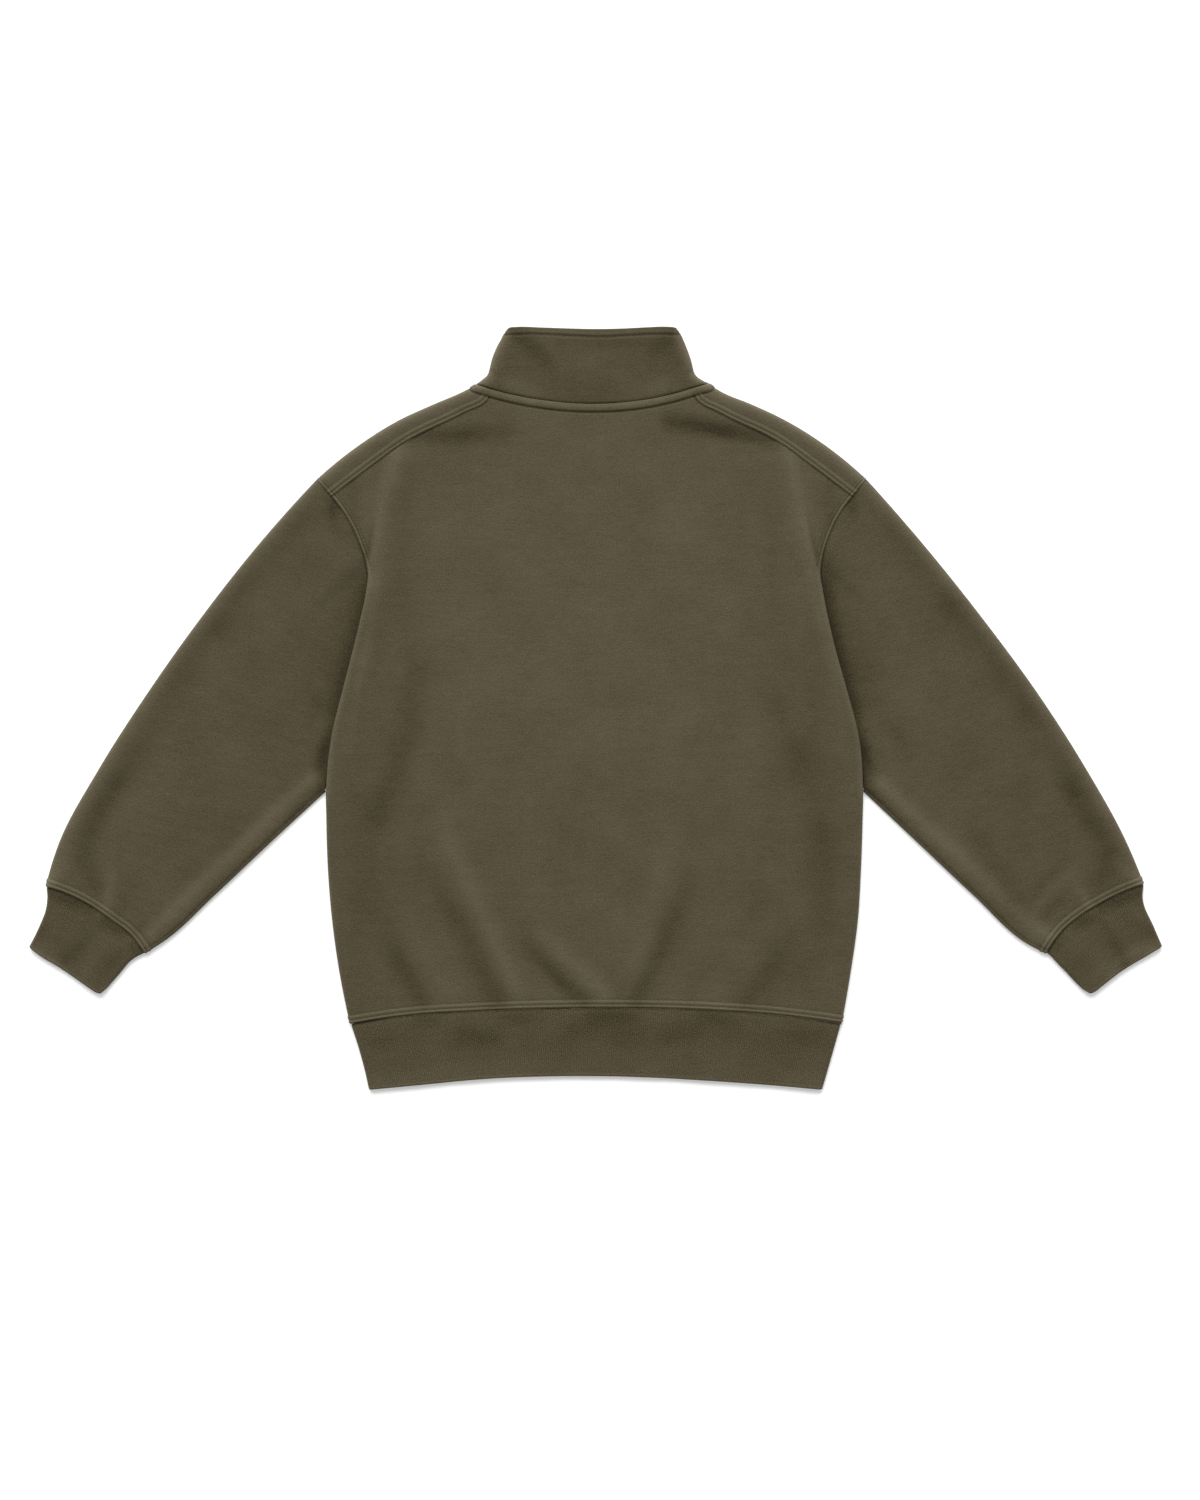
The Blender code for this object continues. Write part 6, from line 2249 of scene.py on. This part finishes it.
@dataclass
class Zip:
    """The zip: two tapes, their teeth and stops, the slider and its pull tab."""

    tape_near: float = 2.95
    tape_far: float = 14.0
    tape_foot: float = 56.0
    tape_top: float = 346.0
    tape_thick: float = 0.5
    teeth_foot: float = 72.0
    teeth_top: float = 342.6
    pitch: float = 2.4
    parting: float = 0.9
    slider_y: float = 336.0
    slider_length: float = 11.0
    slider_width: float = 9.0
    plate: float = 0.9
    mouth: float = 1.35
    hinge_y: float = 335.0
    hinge_z: float = 1.62
    tab_width: float = 7.0
    tab_length: float = 26.0
    tab_thick: float = 1.0
    tab_edge: float = 0.16
    stop_gap: float = 0.3
    stop_inset: float = 0.35
    cord: float = 0.12
    ripple: float = 0.03
    top_stop: tuple[float, float] = (2.15, 2.4)
    bottom_stop: tuple[float, float] = (5.0, 3.0)

    def opened(self, y: Array | float) -> Array:
        """How far the slider holds each side off the centre line."""
        return self.parting * eased(y, self.slider_y - 3.0, self.slider_y + 4.5)

    def build(self, tape: bpy.types.Material, metal: bpy.types.Material) -> None:
        """Makes every piece of the zip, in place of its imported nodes.

        Args:
            tape: The tapes' finish.
            metal: Finish of all the rest.
        """
        for side in SIDES:
            self._tape(side, tape)
            self._teeth(side, metal)
            self._top_stop(side, metal)
        self._bottom_stop(metal)
        self._slider(metal)
        self._pull_tab(metal)

    def _tape(self, side: SidePlan, material: bpy.types.Material) -> None:
        """One woven tape, with its corded edge at the teeth.

        Args:
            side: The side of the garment.
            material: Its finish.
        """
        y = np.linspace(self.tape_foot, self.tape_top, 190)
        across = np.r_[np.linspace(0.0, 0.14, 5), np.linspace(0.2, 1.0, 10)]
        reach = self.tape_near + across * (self.tape_far - self.tape_near)
        x = centre_x(y)[:, None] + side.sign * (reach[None] + self.opened(y)[:, None])
        bead = self.cord * bell(across - 0.055, 0.045)
        wave = self.ripple * np.sin(y / 9.0)[:, None]
        top = zip_level(y)[:, None] + self.tape_thick / 2 + bead[None] + wave * across[None]
        plan_y = np.broadcast_to(y[:, None], x.shape)
        sheet = np.dstack([x, plan_y, top, np.broadcast_to(reach[None], x.shape), plan_y])
        name = "zip_tape_" + side.name
        mesh = welded(name + "_woven", [sheet])
        mesh.materials.append(material)
        mesh.shade_smooth()
        made = placed(name + "_woven", mesh)
        add_wall(made, self.tape_thick)
        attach(made, GARMENT)
        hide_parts(name)
        LOG.info("%s: %d faces", made.name, len(mesh.polygons))

    def _teeth(self, side: SidePlan, material: bpy.types.Material) -> None:
        """The teeth of one side, each with a head that locks and legs over the tape's cord.

        Args:
            side: The side of the garment.
            material: Its finish.
        """
        half = [(3.55, 0.0), (3.45, 0.42), (3.1, 0.6), (1.6, 0.6), (1.15, 0.42), (0.75, 0.42),
                (0.45, 0.58), (0.0, 0.58), (-0.3, 0.36), (-0.4, 0.0)]
        outline = np.array(half + [(x, -y) for x, y in half[-2:0:-1]])
        points, faces = prism(outline, chamfered(0.16))
        points[:, 2] *= np.where(points[:, 0] > 2.6, 0.82, 1.0)
        if side.sign < 0.0:
            points = points * (-1.0, 1.0, 1.0)
            faces = [face[::-1] for face in faces]
        first = self.teeth_foot + (0.7 if side.sign < 0.0 else 0.7 + self.pitch / 2)
        made = Solids()
        for y in np.arange(first, self.teeth_top - 0.6, self.pitch):
            x = centre_x(y) + side.sign * self.opened(y)
            made.add(points, faces, (x, y, zip_level(y)))
        self._dress(made.make(f"zip_teeth_{side.name}_brass", material), "zip_teeth_" + side.name)

    def _top_stop(self, side: SidePlan, material: bpy.types.Material) -> None:
        """The clamp at the top of one side.

        Args:
            side: The side of the garment.
            material: Its finish.
        """
        width, length = self.top_stop
        low = self.tape_top - self.stop_gap - length
        x = centre_x(self.tape_top) + side.sign * (self.parting + self.stop_inset + width / 2)
        clamp = prism(rounded_box(width, length, 0.5), chamfered(0.25))
        made = Solids()
        made.add(*clamp, (x, low + length / 2, zip_level(low)))
        self._dress(made.make(f"zip_stop_top_{side.name}_brass", material), "zip_stop_top_" + side.name)

    def _bottom_stop(self, material: bpy.types.Material) -> None:
        """The clamp across both rows of teeth at the foot.

        Args:
            material: Its finish.
        """
        width, length = self.bottom_stop
        low = self.teeth_foot - self.stop_gap - length
        x = centre_x(self.teeth_foot)
        clamp = prism(rounded_box(width, length, 0.7), chamfered(0.3))
        made = Solids()
        made.add(*clamp, (x, low + length / 2, zip_level(low)))
        self._dress(made.make("zip_stop_bottom_brass", material), "zip_stop_bottom")

    def _slider_outline(self) -> Array:
        """The slider's plan: wide shoulders where the teeth part, narrower at its tail."""
        half, long = self.slider_width / 2, self.slider_length / 2
        right = [(3.3, -long), (3.75, -long + 0.5), (3.95, -2.0), (4.25, 0.8), (half, 2.6),
                 (half, long - 1.2), (half - 0.9, long - 0.25), (2.2, long), (0.9, long - 0.35)]
        left = [(-x, y) for x, y in right[::-1]]
        return np.array(right + [(0.0, long - 0.6)] + left)

    def _slider(self, material: bpy.types.Material) -> None:
        """Two plates with flanges, the wedge between them and the bail on the front plate.

        Args:
            material: Its finish.
        """
        level = float(zip_level(self.slider_y))
        at = (centre_x(self.slider_y), self.slider_y, level)
        inner, outer = self.mouth, self.mouth + self.plate
        made = Solids()
        outline = self._slider_outline()
        back = [(inner, 0.0), (outer - 0.35, 0.0), (outer - 0.1, 0.14), (outer, 0.42)]
        front = [(-height, inset) for height, inset in back[::-1]]
        made.add(*prism(outline, back), at)
        made.add(*prism(outline, front), at)
        made.add(*prism(rounded_box(1.2, 2.4, 0.5), [(-inner - 0.1, 0.0), (inner + 0.1, 0.0)]),
                 (at[0], self.slider_y + self.slider_length / 2 - 1.5, level))
        for sign in (-1.0, 1.0):
            for low, high in ((-inner - 0.1, -0.65), (0.65, inner + 0.1)):
                flange = prism(rounded_box(0.6, self.slider_length - 2.6, 0.2), [(low, 0.0), (high, 0.0)])
                made.add(*flange, (at[0] + sign * 3.62, self.slider_y - 0.9, level))
        made.add(*self._bail(), (at[0], self.hinge_y, 0.0))
        self._dress(made.make("zip_slider_brass", material), "zip_slider")

    def _bail(self) -> tuple[Array, list[tuple[int, ...]]]:
        """The small arch under the front plate that the pull tab hangs from."""
        front = float(zip_level(self.slider_y)) - self.mouth - self.plate + 0.1
        path = np.array([(-2.25, front), (-2.25, 1.15), (-2.1, 0.7), (-1.7, 0.47), (0.0, 0.45),
                         (1.7, 0.47), (2.1, 0.7), (2.25, 1.15), (2.25, front)])
        tangent = unit(np.gradient(path, axis=0))
        normal = np.column_stack([-tangent[:, 1], tangent[:, 0]])
        section = [(-0.75, -0.2), (-0.6, -0.34), (0.6, -0.34), (0.75, -0.2),
                   (0.75, 0.2), (0.6, 0.34), (-0.6, 0.34), (-0.75, 0.2)]
        count = len(section)
        points = np.array([
            (x, *(centre + across * n)) for centre, n in zip(path, normal) for x, across in section
        ])
        last = (len(path) - 1) * count
        caps = [tuple(range(count)), tuple(range(last + count - 1, last - 1, -1))]
        return points, [caps[0], *ring_faces(count, len(path)), caps[1]]

    def _pull_tab(self, material: bpy.types.Material) -> None:
        """A flat tab with round corners, rounded edges and a hole for the bail.

        Args:
            material: Its finish.
        """
        x, half = centre_x(self.slider_y), self.tab_thick / 2
        data = bpy.data.curves.new("pull_tab_outline", "CURVE")
        data.dimensions, data.fill_mode = "2D", "BOTH"
        middle = -(self.tab_length - half) / 2
        outer = rounded_box(self.tab_width, self.tab_length + half, 2.2, 7) + (0.0, middle)
        hole = rounded_box(3.0, 2.9, 0.9, 5)[::-1] + (0.0, -half - 1.45)
        for outline in (outer, hole):
            spline = data.splines.new("POLY")
            spline.points.add(len(outline) - 1)
            for point, (px, py) in zip(spline.points, outline):
                point.co = (px * MM, py * MM, 0.0, 1.0)
            spline.use_cyclic_u = True
        data.bevel_depth, data.bevel_resolution = self.tab_edge * MM, 2
        data.offset = -self.tab_edge * MM
        data.extrude = (half - self.tab_edge) * MM
        drawn = bpy.data.objects.new("pull_tab_drawn", data)
        mesh = bpy.data.meshes.new_from_object(drawn)
        bpy.data.objects.remove(drawn)
        mesh.name = "zip_pull_tab_brass"
        mesh.materials.clear()
        mesh.materials.append(material)
        mesh.transform(Matrix.Translation((x * MM, self.hinge_y * MM, self.hinge_z * MM)))
        self._dress(placed("zip_pull_tab_brass", mesh), "zip_pull_tab", PULL_TAB)

    @staticmethod
    def _dress(made: bpy.types.Object, node: str, body: str = GARMENT) -> None:
        """Smooths a metal piece's flat faces apart and puts it in place of its node.

        Args:
            made: The piece.
            node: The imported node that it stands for.
            body: The body that it moves with.
        """
        made.data.shade_smooth()
        made.data.set_sharp_from_angle(angle=SHARP_ANGLE)
        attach(made, body)
        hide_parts(node)
        LOG.info("%s: %d faces", made.name, len(made.data.polygons))


# ---------------------------------------------------------------- finishes


class Wiring:
    """Adds and links the nodes of one tree."""

    def __init__(self, tree: bpy.types.NodeTree) -> None:
        self.tree = tree
        self.column = 0

    def add(self, kind: str, **settings: object) -> bpy.types.Node:
        """A new node with some of its settings.

        Args:
            kind: Its type.
            settings: Its properties by name.

        Returns:
            The node.
        """
        node = self.tree.nodes.new(kind)
        self.column += 1
        node.location = (180.0 * (self.column % 12), -220.0 * (self.column // 12))
        for name, value in settings.items():
            setattr(node, name, value)
        return node

    def put(self, socket: Socket, value: Value) -> None:
        """Links a socket to another one, or sets its value.

        Args:
            socket: The input.
            value: The other socket, or the value.
        """
        if isinstance(value, bpy.types.NodeSocket):
            self.tree.links.new(value, socket)
        else:
            socket.default_value = value

    def fill(self, node: bpy.types.Node, values: dict[str, Value]) -> bpy.types.Node:
        """Links or sets a node's inputs by their names, and gives the node back."""
        for label, value in values.items():
            self.put(node.inputs[label], value)
        return node

    def group(self, make: Callable[[], bpy.types.NodeTree], values: dict[str, Value]) -> bpy.types.Node:
        """A node with a shared group, its inputs filled."""
        return self.fill(self.add("ShaderNodeGroup", node_tree=Groups.get(make)), values)

    def bump(self, height: Socket, strength: float, distance: float) -> Socket:
        """A Bump node's normal."""
        values = {"Strength": strength, "Distance": distance, "Height": height}
        return self.fill(self.add("ShaderNodeBump"), values).outputs[0]

    def math(self, operation: str, *values: Socket | float) -> Socket:
        """A Math node's result.

        Args:
            operation: What it does.
            values: What goes in.

        Returns:
            Its output.
        """
        node = self.add("ShaderNodeMath", operation=operation)
        for socket, value in zip(node.inputs, values):
            self.put(socket, value)
        return node.outputs[0]

    def noise(self, vector: Socket, scale: float, detail: float = 2.0, roughness: float = 0.5) -> Socket:
        """A Noise Texture's value less one half, at coordinates in metres."""
        node = self.add("ShaderNodeTexNoise", noise_dimensions="3D")
        self.fill(node, {"Vector": vector, "Scale": scale, "Detail": detail, "Roughness": roughness})
        return self.math("SUBTRACT", node.outputs["Fac"], 0.5)

    def stretched(self, vector: Socket, scale: Sequence[float]) -> Socket:
        """Coordinates scaled along each axis.

        Args:
            vector: The coordinates.
            scale: A factor for each axis.

        Returns:
            The scaled coordinates.
        """
        node = self.add("ShaderNodeVectorMath", operation="MULTIPLY")
        self.put(node.inputs[0], vector)
        node.inputs[1].default_value = scale
        return node.outputs[0]


class GroupSocket(Enum):
    """Kinds of group socket."""

    COLOUR = "NodeSocketColor"
    NUMBER = "NodeSocketFloat"
    VECTOR = "NodeSocketVector"


def new_group(
    name: str, inputs: dict[str, GroupSocket], outputs: dict[str, GroupSocket]
) -> tuple[bpy.types.NodeTree, Wiring, bpy.types.Node, bpy.types.Node]:
    """An empty shader node group.

    Args:
        name: Name of the group.
        inputs: Kind of each input.
        outputs: Kind of each output.

    Returns:
        The group, its wiring, and its input and output nodes.
    """
    group = bpy.data.node_groups.new(name, "ShaderNodeTree")
    for label, kind in inputs.items():
        group.interface.new_socket(name=label, in_out="INPUT", socket_type=kind.value)
    for label, kind in outputs.items():
        group.interface.new_socket(name=label, in_out="OUTPUT", socket_type=kind.value)
    wires = Wiring(group)
    return group, wires, wires.add("NodeGroupInput"), wires.add("NodeGroupOutput")


def new_material(name: str) -> tuple[bpy.types.Material, Wiring, bpy.types.Node]:
    """A new material, with the wiring of its nodes and its shader."""
    material = bpy.data.materials.new(name)
    material.use_nodes = True
    return material, Wiring(material.node_tree), material.node_tree.nodes["Principled BSDF"]


def washed_tone_and_painted_light_group() -> bpy.types.NodeTree:
    """The uneven tone of garment-washed cloth: clouds, streaks along the courses and flecks,
    with painted shade and painted highlight.
    """
    number = GroupSocket.NUMBER
    inputs = {
        "Colour": GroupSocket.COLOUR, "Coordinates": GroupSocket.VECTOR, "Tone and painted light": number,
        "Clouding": number, "Streaks": number, "Flecks": number, "Tone and painted light share": number,
    }
    outputs = {"Colour": GroupSocket.COLOUR, "Roughness": number}
    group, wires, given, out = new_group("Washed tone and painted light", inputs, outputs)
    place = given.outputs["Coordinates"]
    cloud = wires.noise(place, 17.0, 4.0, 0.55)
    broad_streak = wires.noise(wires.stretched(place, (26.0, 150.0, 1.0)), 1.0, 2.0, 0.5)
    thin_streak = wires.noise(wires.stretched(place, (95.0, 680.0, 1.0)), 1.0, 3.0, 0.65)
    streak = wires.math("ADD", thin_streak, wires.math("MULTIPLY", broad_streak, 0.36))
    fine_streak = wires.noise(wires.stretched(place, (330.0, 1350.0, 1.0)), 1.0, 2.0, 0.5)
    fleck = wires.noise(place, 820.0, 1.0, 0.5)
    tone = wires.math("MULTIPLY", cloud, given.outputs["Clouding"])
    both = wires.math("ADD", streak, wires.math("MULTIPLY", fine_streak, 1.2))
    tone = wires.math("ADD", tone, wires.math("MULTIPLY", both, given.outputs["Streaks"]))
    tone = wires.math("ADD", tone, wires.math("MULTIPLY", fleck, given.outputs["Flecks"]))
    # The mesh's tone, mostly painted shade and painted highlight, scaled by the finish.
    tone_and_painted_light = wires.math("MULTIPLY", given.outputs["Tone and painted light"], given.outputs["Tone and painted light share"])
    tone = wires.math("ADD", wires.math("ADD", tone, tone_and_painted_light), 1.0)
    tone = wires.math("MAXIMUM", tone, 0.25)
    shades = wires.add("ShaderNodeCombineXYZ")
    for channel, power in enumerate((1.0, 1.09, 1.38)):
        wires.put(shades.inputs[channel], wires.math("POWER", tone, power))
    scaled = wires.add("ShaderNodeVectorMath", operation="MULTIPLY")
    wires.put(scaled.inputs[0], given.outputs["Colour"])
    wires.put(scaled.inputs[1], shades.outputs[0])
    wires.put(out.inputs["Colour"], scaled.outputs[0])
    rough = wires.math("SUBTRACT", 0.94, wires.math("MULTIPLY", cloud, 0.12))
    wires.put(out.inputs["Roughness"], rough)
    return group


def knit_relief_group() -> bpy.types.NodeTree:
    """Height of knitted loops, in V-shaped columns, under a soft brushed nap."""
    number = GroupSocket.NUMBER
    inputs = {"Coordinates": GroupSocket.VECTOR, "Wale": number, "Course": number, "Nap": number}
    group, wires, given, out = new_group("Knit relief", inputs, {"Height": number})
    place = given.outputs["Coordinates"]
    parts = wires.add("ShaderNodeSeparateXYZ")
    wires.put(parts.inputs[0], place)
    column = wires.math("DIVIDE", parts.outputs["X"], given.outputs["Wale"])
    half = wires.math("SUBTRACT", wires.math("FRACT", column), 0.5)
    off_middle = wires.math("MULTIPLY", wires.math("ABSOLUTE", half), 2.0)
    row = wires.math("DIVIDE", parts.outputs["Y"], given.outputs["Course"])
    slanted = wires.math("ADD", row, wires.math("MULTIPLY", off_middle, 0.55))
    loop = wires.math("SINE", wires.math("MULTIPLY", slanted, 2.0 * math.pi))
    leg = wires.math("SINE", wires.math("MULTIPLY", off_middle, math.pi))
    loops = wires.math("MULTIPLY", wires.math("ADD", loop, 1.4), leg)
    nap = wires.noise(wires.stretched(place, (700.0, 1500.0, 1.0)), 1.0, 3.0, 0.65)
    height = wires.math("ADD", wires.math("MULTIPLY", loops, 0.3),
                        wires.math("MULTIPLY", nap, given.outputs["Nap"]))
    wires.put(out.inputs["Height"], height)
    return group


def aged_metal_group() -> bpy.types.NodeTree:
    """Patina and small scuffs of plated metal."""
    inputs = {"Colour": GroupSocket.COLOUR, "Patina": GroupSocket.COLOUR, "Coordinates": GroupSocket.VECTOR}
    outputs = {"Colour": GroupSocket.COLOUR, "Roughness": GroupSocket.NUMBER, "Height": GroupSocket.NUMBER}
    group, wires, given, out = new_group("Aged metal", inputs, outputs)
    place = given.outputs["Coordinates"]
    stain = wires.noise(place, 420.0, 4.0, 0.6)
    scuff = wires.noise(wires.stretched(place, (2600.0, 500.0, 900.0)), 1.0, 2.0, 0.6)
    share = wires.math("ADD", wires.math("MULTIPLY", stain, 1.9), 0.42)
    mix = wires.add("ShaderNodeMix", data_type="RGBA", clamp_factor=True)
    wires.put(mix.inputs["Factor"], share)
    wires.put(mix.inputs[6], given.outputs["Colour"])
    wires.put(mix.inputs[7], given.outputs["Patina"])
    wires.put(out.inputs["Colour"], mix.outputs[2])
    rough = wires.math("ADD", wires.math("MULTIPLY", scuff, 0.3), 0.36)
    wires.put(out.inputs["Roughness"], rough)
    wires.put(out.inputs["Height"], scuff)
    return group


class Groups:
    """The node groups that finishes share, each made once."""

    _made: dict[str, bpy.types.NodeTree] = {}

    @classmethod
    def get(cls, make: Callable[[], bpy.types.NodeTree]) -> bpy.types.NodeTree:
        """The group that a maker function gives."""
        if make.__name__ not in cls._made:
            cls._made[make.__name__] = make()
        return cls._made[make.__name__]


@dataclass(frozen=True)
class ClothFinish:
    """A dyed and washed cloth."""

    name: str
    colour: tuple[float, float, float]
    wale: float = 0.0010
    course: float = 0.0008
    nap: float = 1.2
    relief: float = 0.00016
    clouding: float = 0.45
    streaks: float = 0.62
    flecks: float = 1.35
    tone_and_painted_light_share: float = 1.0
    specular: float = 0.18
    sheen: float = 0.06
    sheen_roughness: float = 0.5
    sheen_tint: tuple[float, float, float] = (1.0, 0.93, 0.80)

    def make(self) -> bpy.types.Material:
        """The material of the finish."""
        material, wires, shader = new_material(self.name)
        cut = wires.add("ShaderNodeUVMap", uv_map="cut").outputs[0]
        # The mesh's tone attribute, mostly painted shade and painted highlight.
        tone_and_painted_light = wires.add("ShaderNodeAttribute", attribute_name="tone").outputs["Fac"]
        tone = wires.group(washed_tone_and_painted_light_group, {
            "Colour": (*self.colour, 1.0), "Coordinates": cut, "Tone and painted light": tone_and_painted_light, "Clouding": self.clouding,
            "Streaks": self.streaks, "Flecks": self.flecks, "Tone and painted light share": self.tone_and_painted_light_share,
        })
        knit = wires.group(knit_relief_group, {
            "Coordinates": cut, "Wale": self.wale, "Course": self.course, "Nap": self.nap,
        })
        wires.fill(shader, {
            "Base Color": tone.outputs["Colour"],
            "Roughness": tone.outputs["Roughness"],
            "Normal": wires.bump(knit.outputs["Height"], 1.0, self.relief),
            "Specular IOR Level": self.specular,
            "Sheen Weight": self.sheen,
            "Sheen Roughness": self.sheen_roughness,
            "Sheen Tint": (*self.sheen_tint, 1.0),
        })
        return material


@dataclass(frozen=True)
class MetalFinish:
    """Antique brass, darkened in patches."""

    name: str = "antique_brass"
    colour: tuple[float, float, float] = (0.40, 0.31, 0.17)
    patina: tuple[float, float, float] = (0.16, 0.12, 0.07)
    scuff_depth: float = 0.00003

    def make(self) -> bpy.types.Material:
        """The material of the finish."""
        material, wires, shader = new_material(self.name)
        place = wires.add("ShaderNodeTexCoord").outputs["Object"]
        aged = wires.group(aged_metal_group, {
            "Colour": (*self.colour, 1.0), "Patina": (*self.patina, 1.0), "Coordinates": place,
        })
        wires.fill(shader, {
            "Base Color": aged.outputs["Colour"],
            "Roughness": aged.outputs["Roughness"],
            "Normal": wires.bump(aged.outputs["Height"], 0.5, self.scuff_depth),
            "Metallic": 1.0,
        })
        return material


@dataclass(frozen=True)
class FloorFinish:
    """A matte pale floor with hardly any tone of its own."""

    name: str = "pale_floor"
    colour: tuple[float, float, float] = (0.90, 0.90, 0.90)
    roughness: float = 0.95
    glow: float = 0.22

    def make(self) -> bpy.types.Material:
        """The material of the finish."""
        material, wires, shader = new_material(self.name)
        colour = (*self.colour, 1.0)
        wires.fill(shader, {
            "Base Color": colour, "Roughness": self.roughness, "Specular IOR Level": 0.0,
            "Emission Color": colour, "Emission Strength": self.glow,
        })
        return material


FLEECE = ClothFinish("washed_fleece", (0.0662, 0.0544, 0.0296))
RIB = ClothFinish("washed_rib", (0.0592, 0.0482, 0.0252), course=0.0009, wale=0.0012, nap=0.9,
                  streaks=0.42, flecks=2.1, sheen=0.05)
THREAD = ClothFinish("thread", (0.066, 0.056, 0.034), relief=0.00005, nap=0.4, tone_and_painted_light_share=0.0, sheen=0.05)
TAPE = ClothFinish("woven_tape", (0.050, 0.042, 0.026), wale=0.0006, course=0.0005, nap=0.2,
                   tone_and_painted_light_share=0.0, sheen=0.05)


# ---------------------------------------------------------------- studio


@dataclass
class Studio:
    """The pale floor, the soft light and the camera straight above."""

    frame_height: float = 1.575
    distance: float = 6.0
    sensor: float = 36.0
    look_at: tuple[float, float, float] = (0.0047, -0.0436, 0.006)
    key_strength: float = 3.8
    key_elevation: float = 40.0
    key_turn: float = -8.0
    key_softness: float = 50.0
    fill: float = 0.55
    floor_size: float = 24.0
    floor_level: float = -0.15
    key_distance: float = 3.0

    def build(self) -> None:
        """Makes the floor, the light and the camera."""
        half = self.floor_size / 2
        corners = [(-half, -half), (half, -half), (half, half), (-half, half)]
        points = np.array([(x / MM, y / MM, self.floor_level) for x, y in corners])
        floor = mesh_object("floor", points, [(0, 1, 2, 3)], FloorFinish().make())
        floor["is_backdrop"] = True
        self._light()
        self._camera()

    def _light(self) -> None:
        """A wide soft key from beyond the collar, and an even fill."""
        key = bpy.data.lights.new("key", "SUN")
        key.energy = self.key_strength
        key.angle = math.radians(self.key_softness)
        lamp = placed("key", key)
        turn, up = math.radians(self.key_turn), math.radians(self.key_elevation)
        from_way = Vector((math.sin(turn) * math.cos(up), math.cos(turn) * math.cos(up), math.sin(up)))
        lamp.rotation_euler = from_way.to_track_quat("Z", "Y").to_euler()
        lamp.location = from_way * self.key_distance
        world = bpy.data.worlds.new("studio")
        world.use_nodes = True
        sky = world.node_tree.nodes["Background"]
        Wiring(world.node_tree).fill(sky, {"Color": (1.0, 1.0, 1.0, 1.0), "Strength": self.fill})
        bpy.context.scene.world = world
        bpy.context.scene.view_settings.view_transform = "Standard"
        bpy.context.scene.view_settings.look = "None"

    def _camera(self) -> None:
        """The camera, looking straight down."""
        data = bpy.data.cameras.new("camera")
        data.sensor_fit = "VERTICAL"
        data.sensor_height = self.sensor
        data.lens = self.sensor * self.distance / self.frame_height
        camera = placed("camera", data)
        camera.location = Vector(self.look_at) + Vector((0.0, 0.0, self.distance))
        bpy.context.scene.camera = camera


# ---------------------------------------------------------------- the whole garment


@dataclass
class Sweatshirt:
    """All the cloth pieces, their stitches and the zip."""

    pieces: list[ClothPiece] = field(default_factory=lambda: [
        Front("front_panel", ("front",), (0.62, 0.70), 0.37),
        Back("back_panel", ("back",), (0.60, 0.67), 0.36, rests_on=("front_panel",)),
        Sleeve("sleeve_left_cloth", ("sleeve_left",), (0.62, 0.53), 0.17, side=LEFT,
               creases=LEFT_SLEEVE_CREASES, grain=-14.0),
        Sleeve("sleeve_right_cloth", ("sleeve_right",), (0.62, 0.53), 0.17, side=RIGHT,
               creases=RIGHT_SLEEVE_CREASES, grain=14.0),
        Cuff("cuff_left_rib", ("cuff_left",), (0.27, 0.08), 0.02, side=LEFT, creases=LEFT_CUFF_CREASES),
        Cuff("cuff_right_rib", ("cuff_right",), (0.27, 0.08), 0.02, side=RIGHT, creases=RIGHT_CUFF_CREASES),
        HemRib("hem_rib_knit", ("hem_rib",), (1.02, 0.072), 0.07, creases=HEM_CREASES),
        Collar("stand_collar", ("collar",), (0.44, 0.08), 0.032),
    ])

    def build(self) -> None:
        """Builds, sews and dresses every piece."""
        cloths = {"fleece": FLEECE.make(), "rib": RIB.make()}
        thread, tape, brass = THREAD.make(), TAPE.make(), MetalFinish().make()
        stitches = Stitches()
        for piece in self.pieces:
            made = piece.build(cloths[piece.slot])
            LOG.info("%s: %d faces", piece.name, len(made.data.polygons))
            stitches.lay(piece, piece.needles(), thread)
        Zip().build(tape, brass)
        for piece in self.pieces:
            piece.declare()


def main() -> None:
    """Builds the garment and the studio, and notes both boxes."""
    Studio().build()
    Sweatshirt().build()
    boxes = {"cad": CAD_BOX, "visual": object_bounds()}
    plain = {name: [[float(v) for v in corner] for corner in box] for name, box in boxes.items()}
    LOG.info("sizes: %s", plain)


if __name__ == "__main__":
    main()
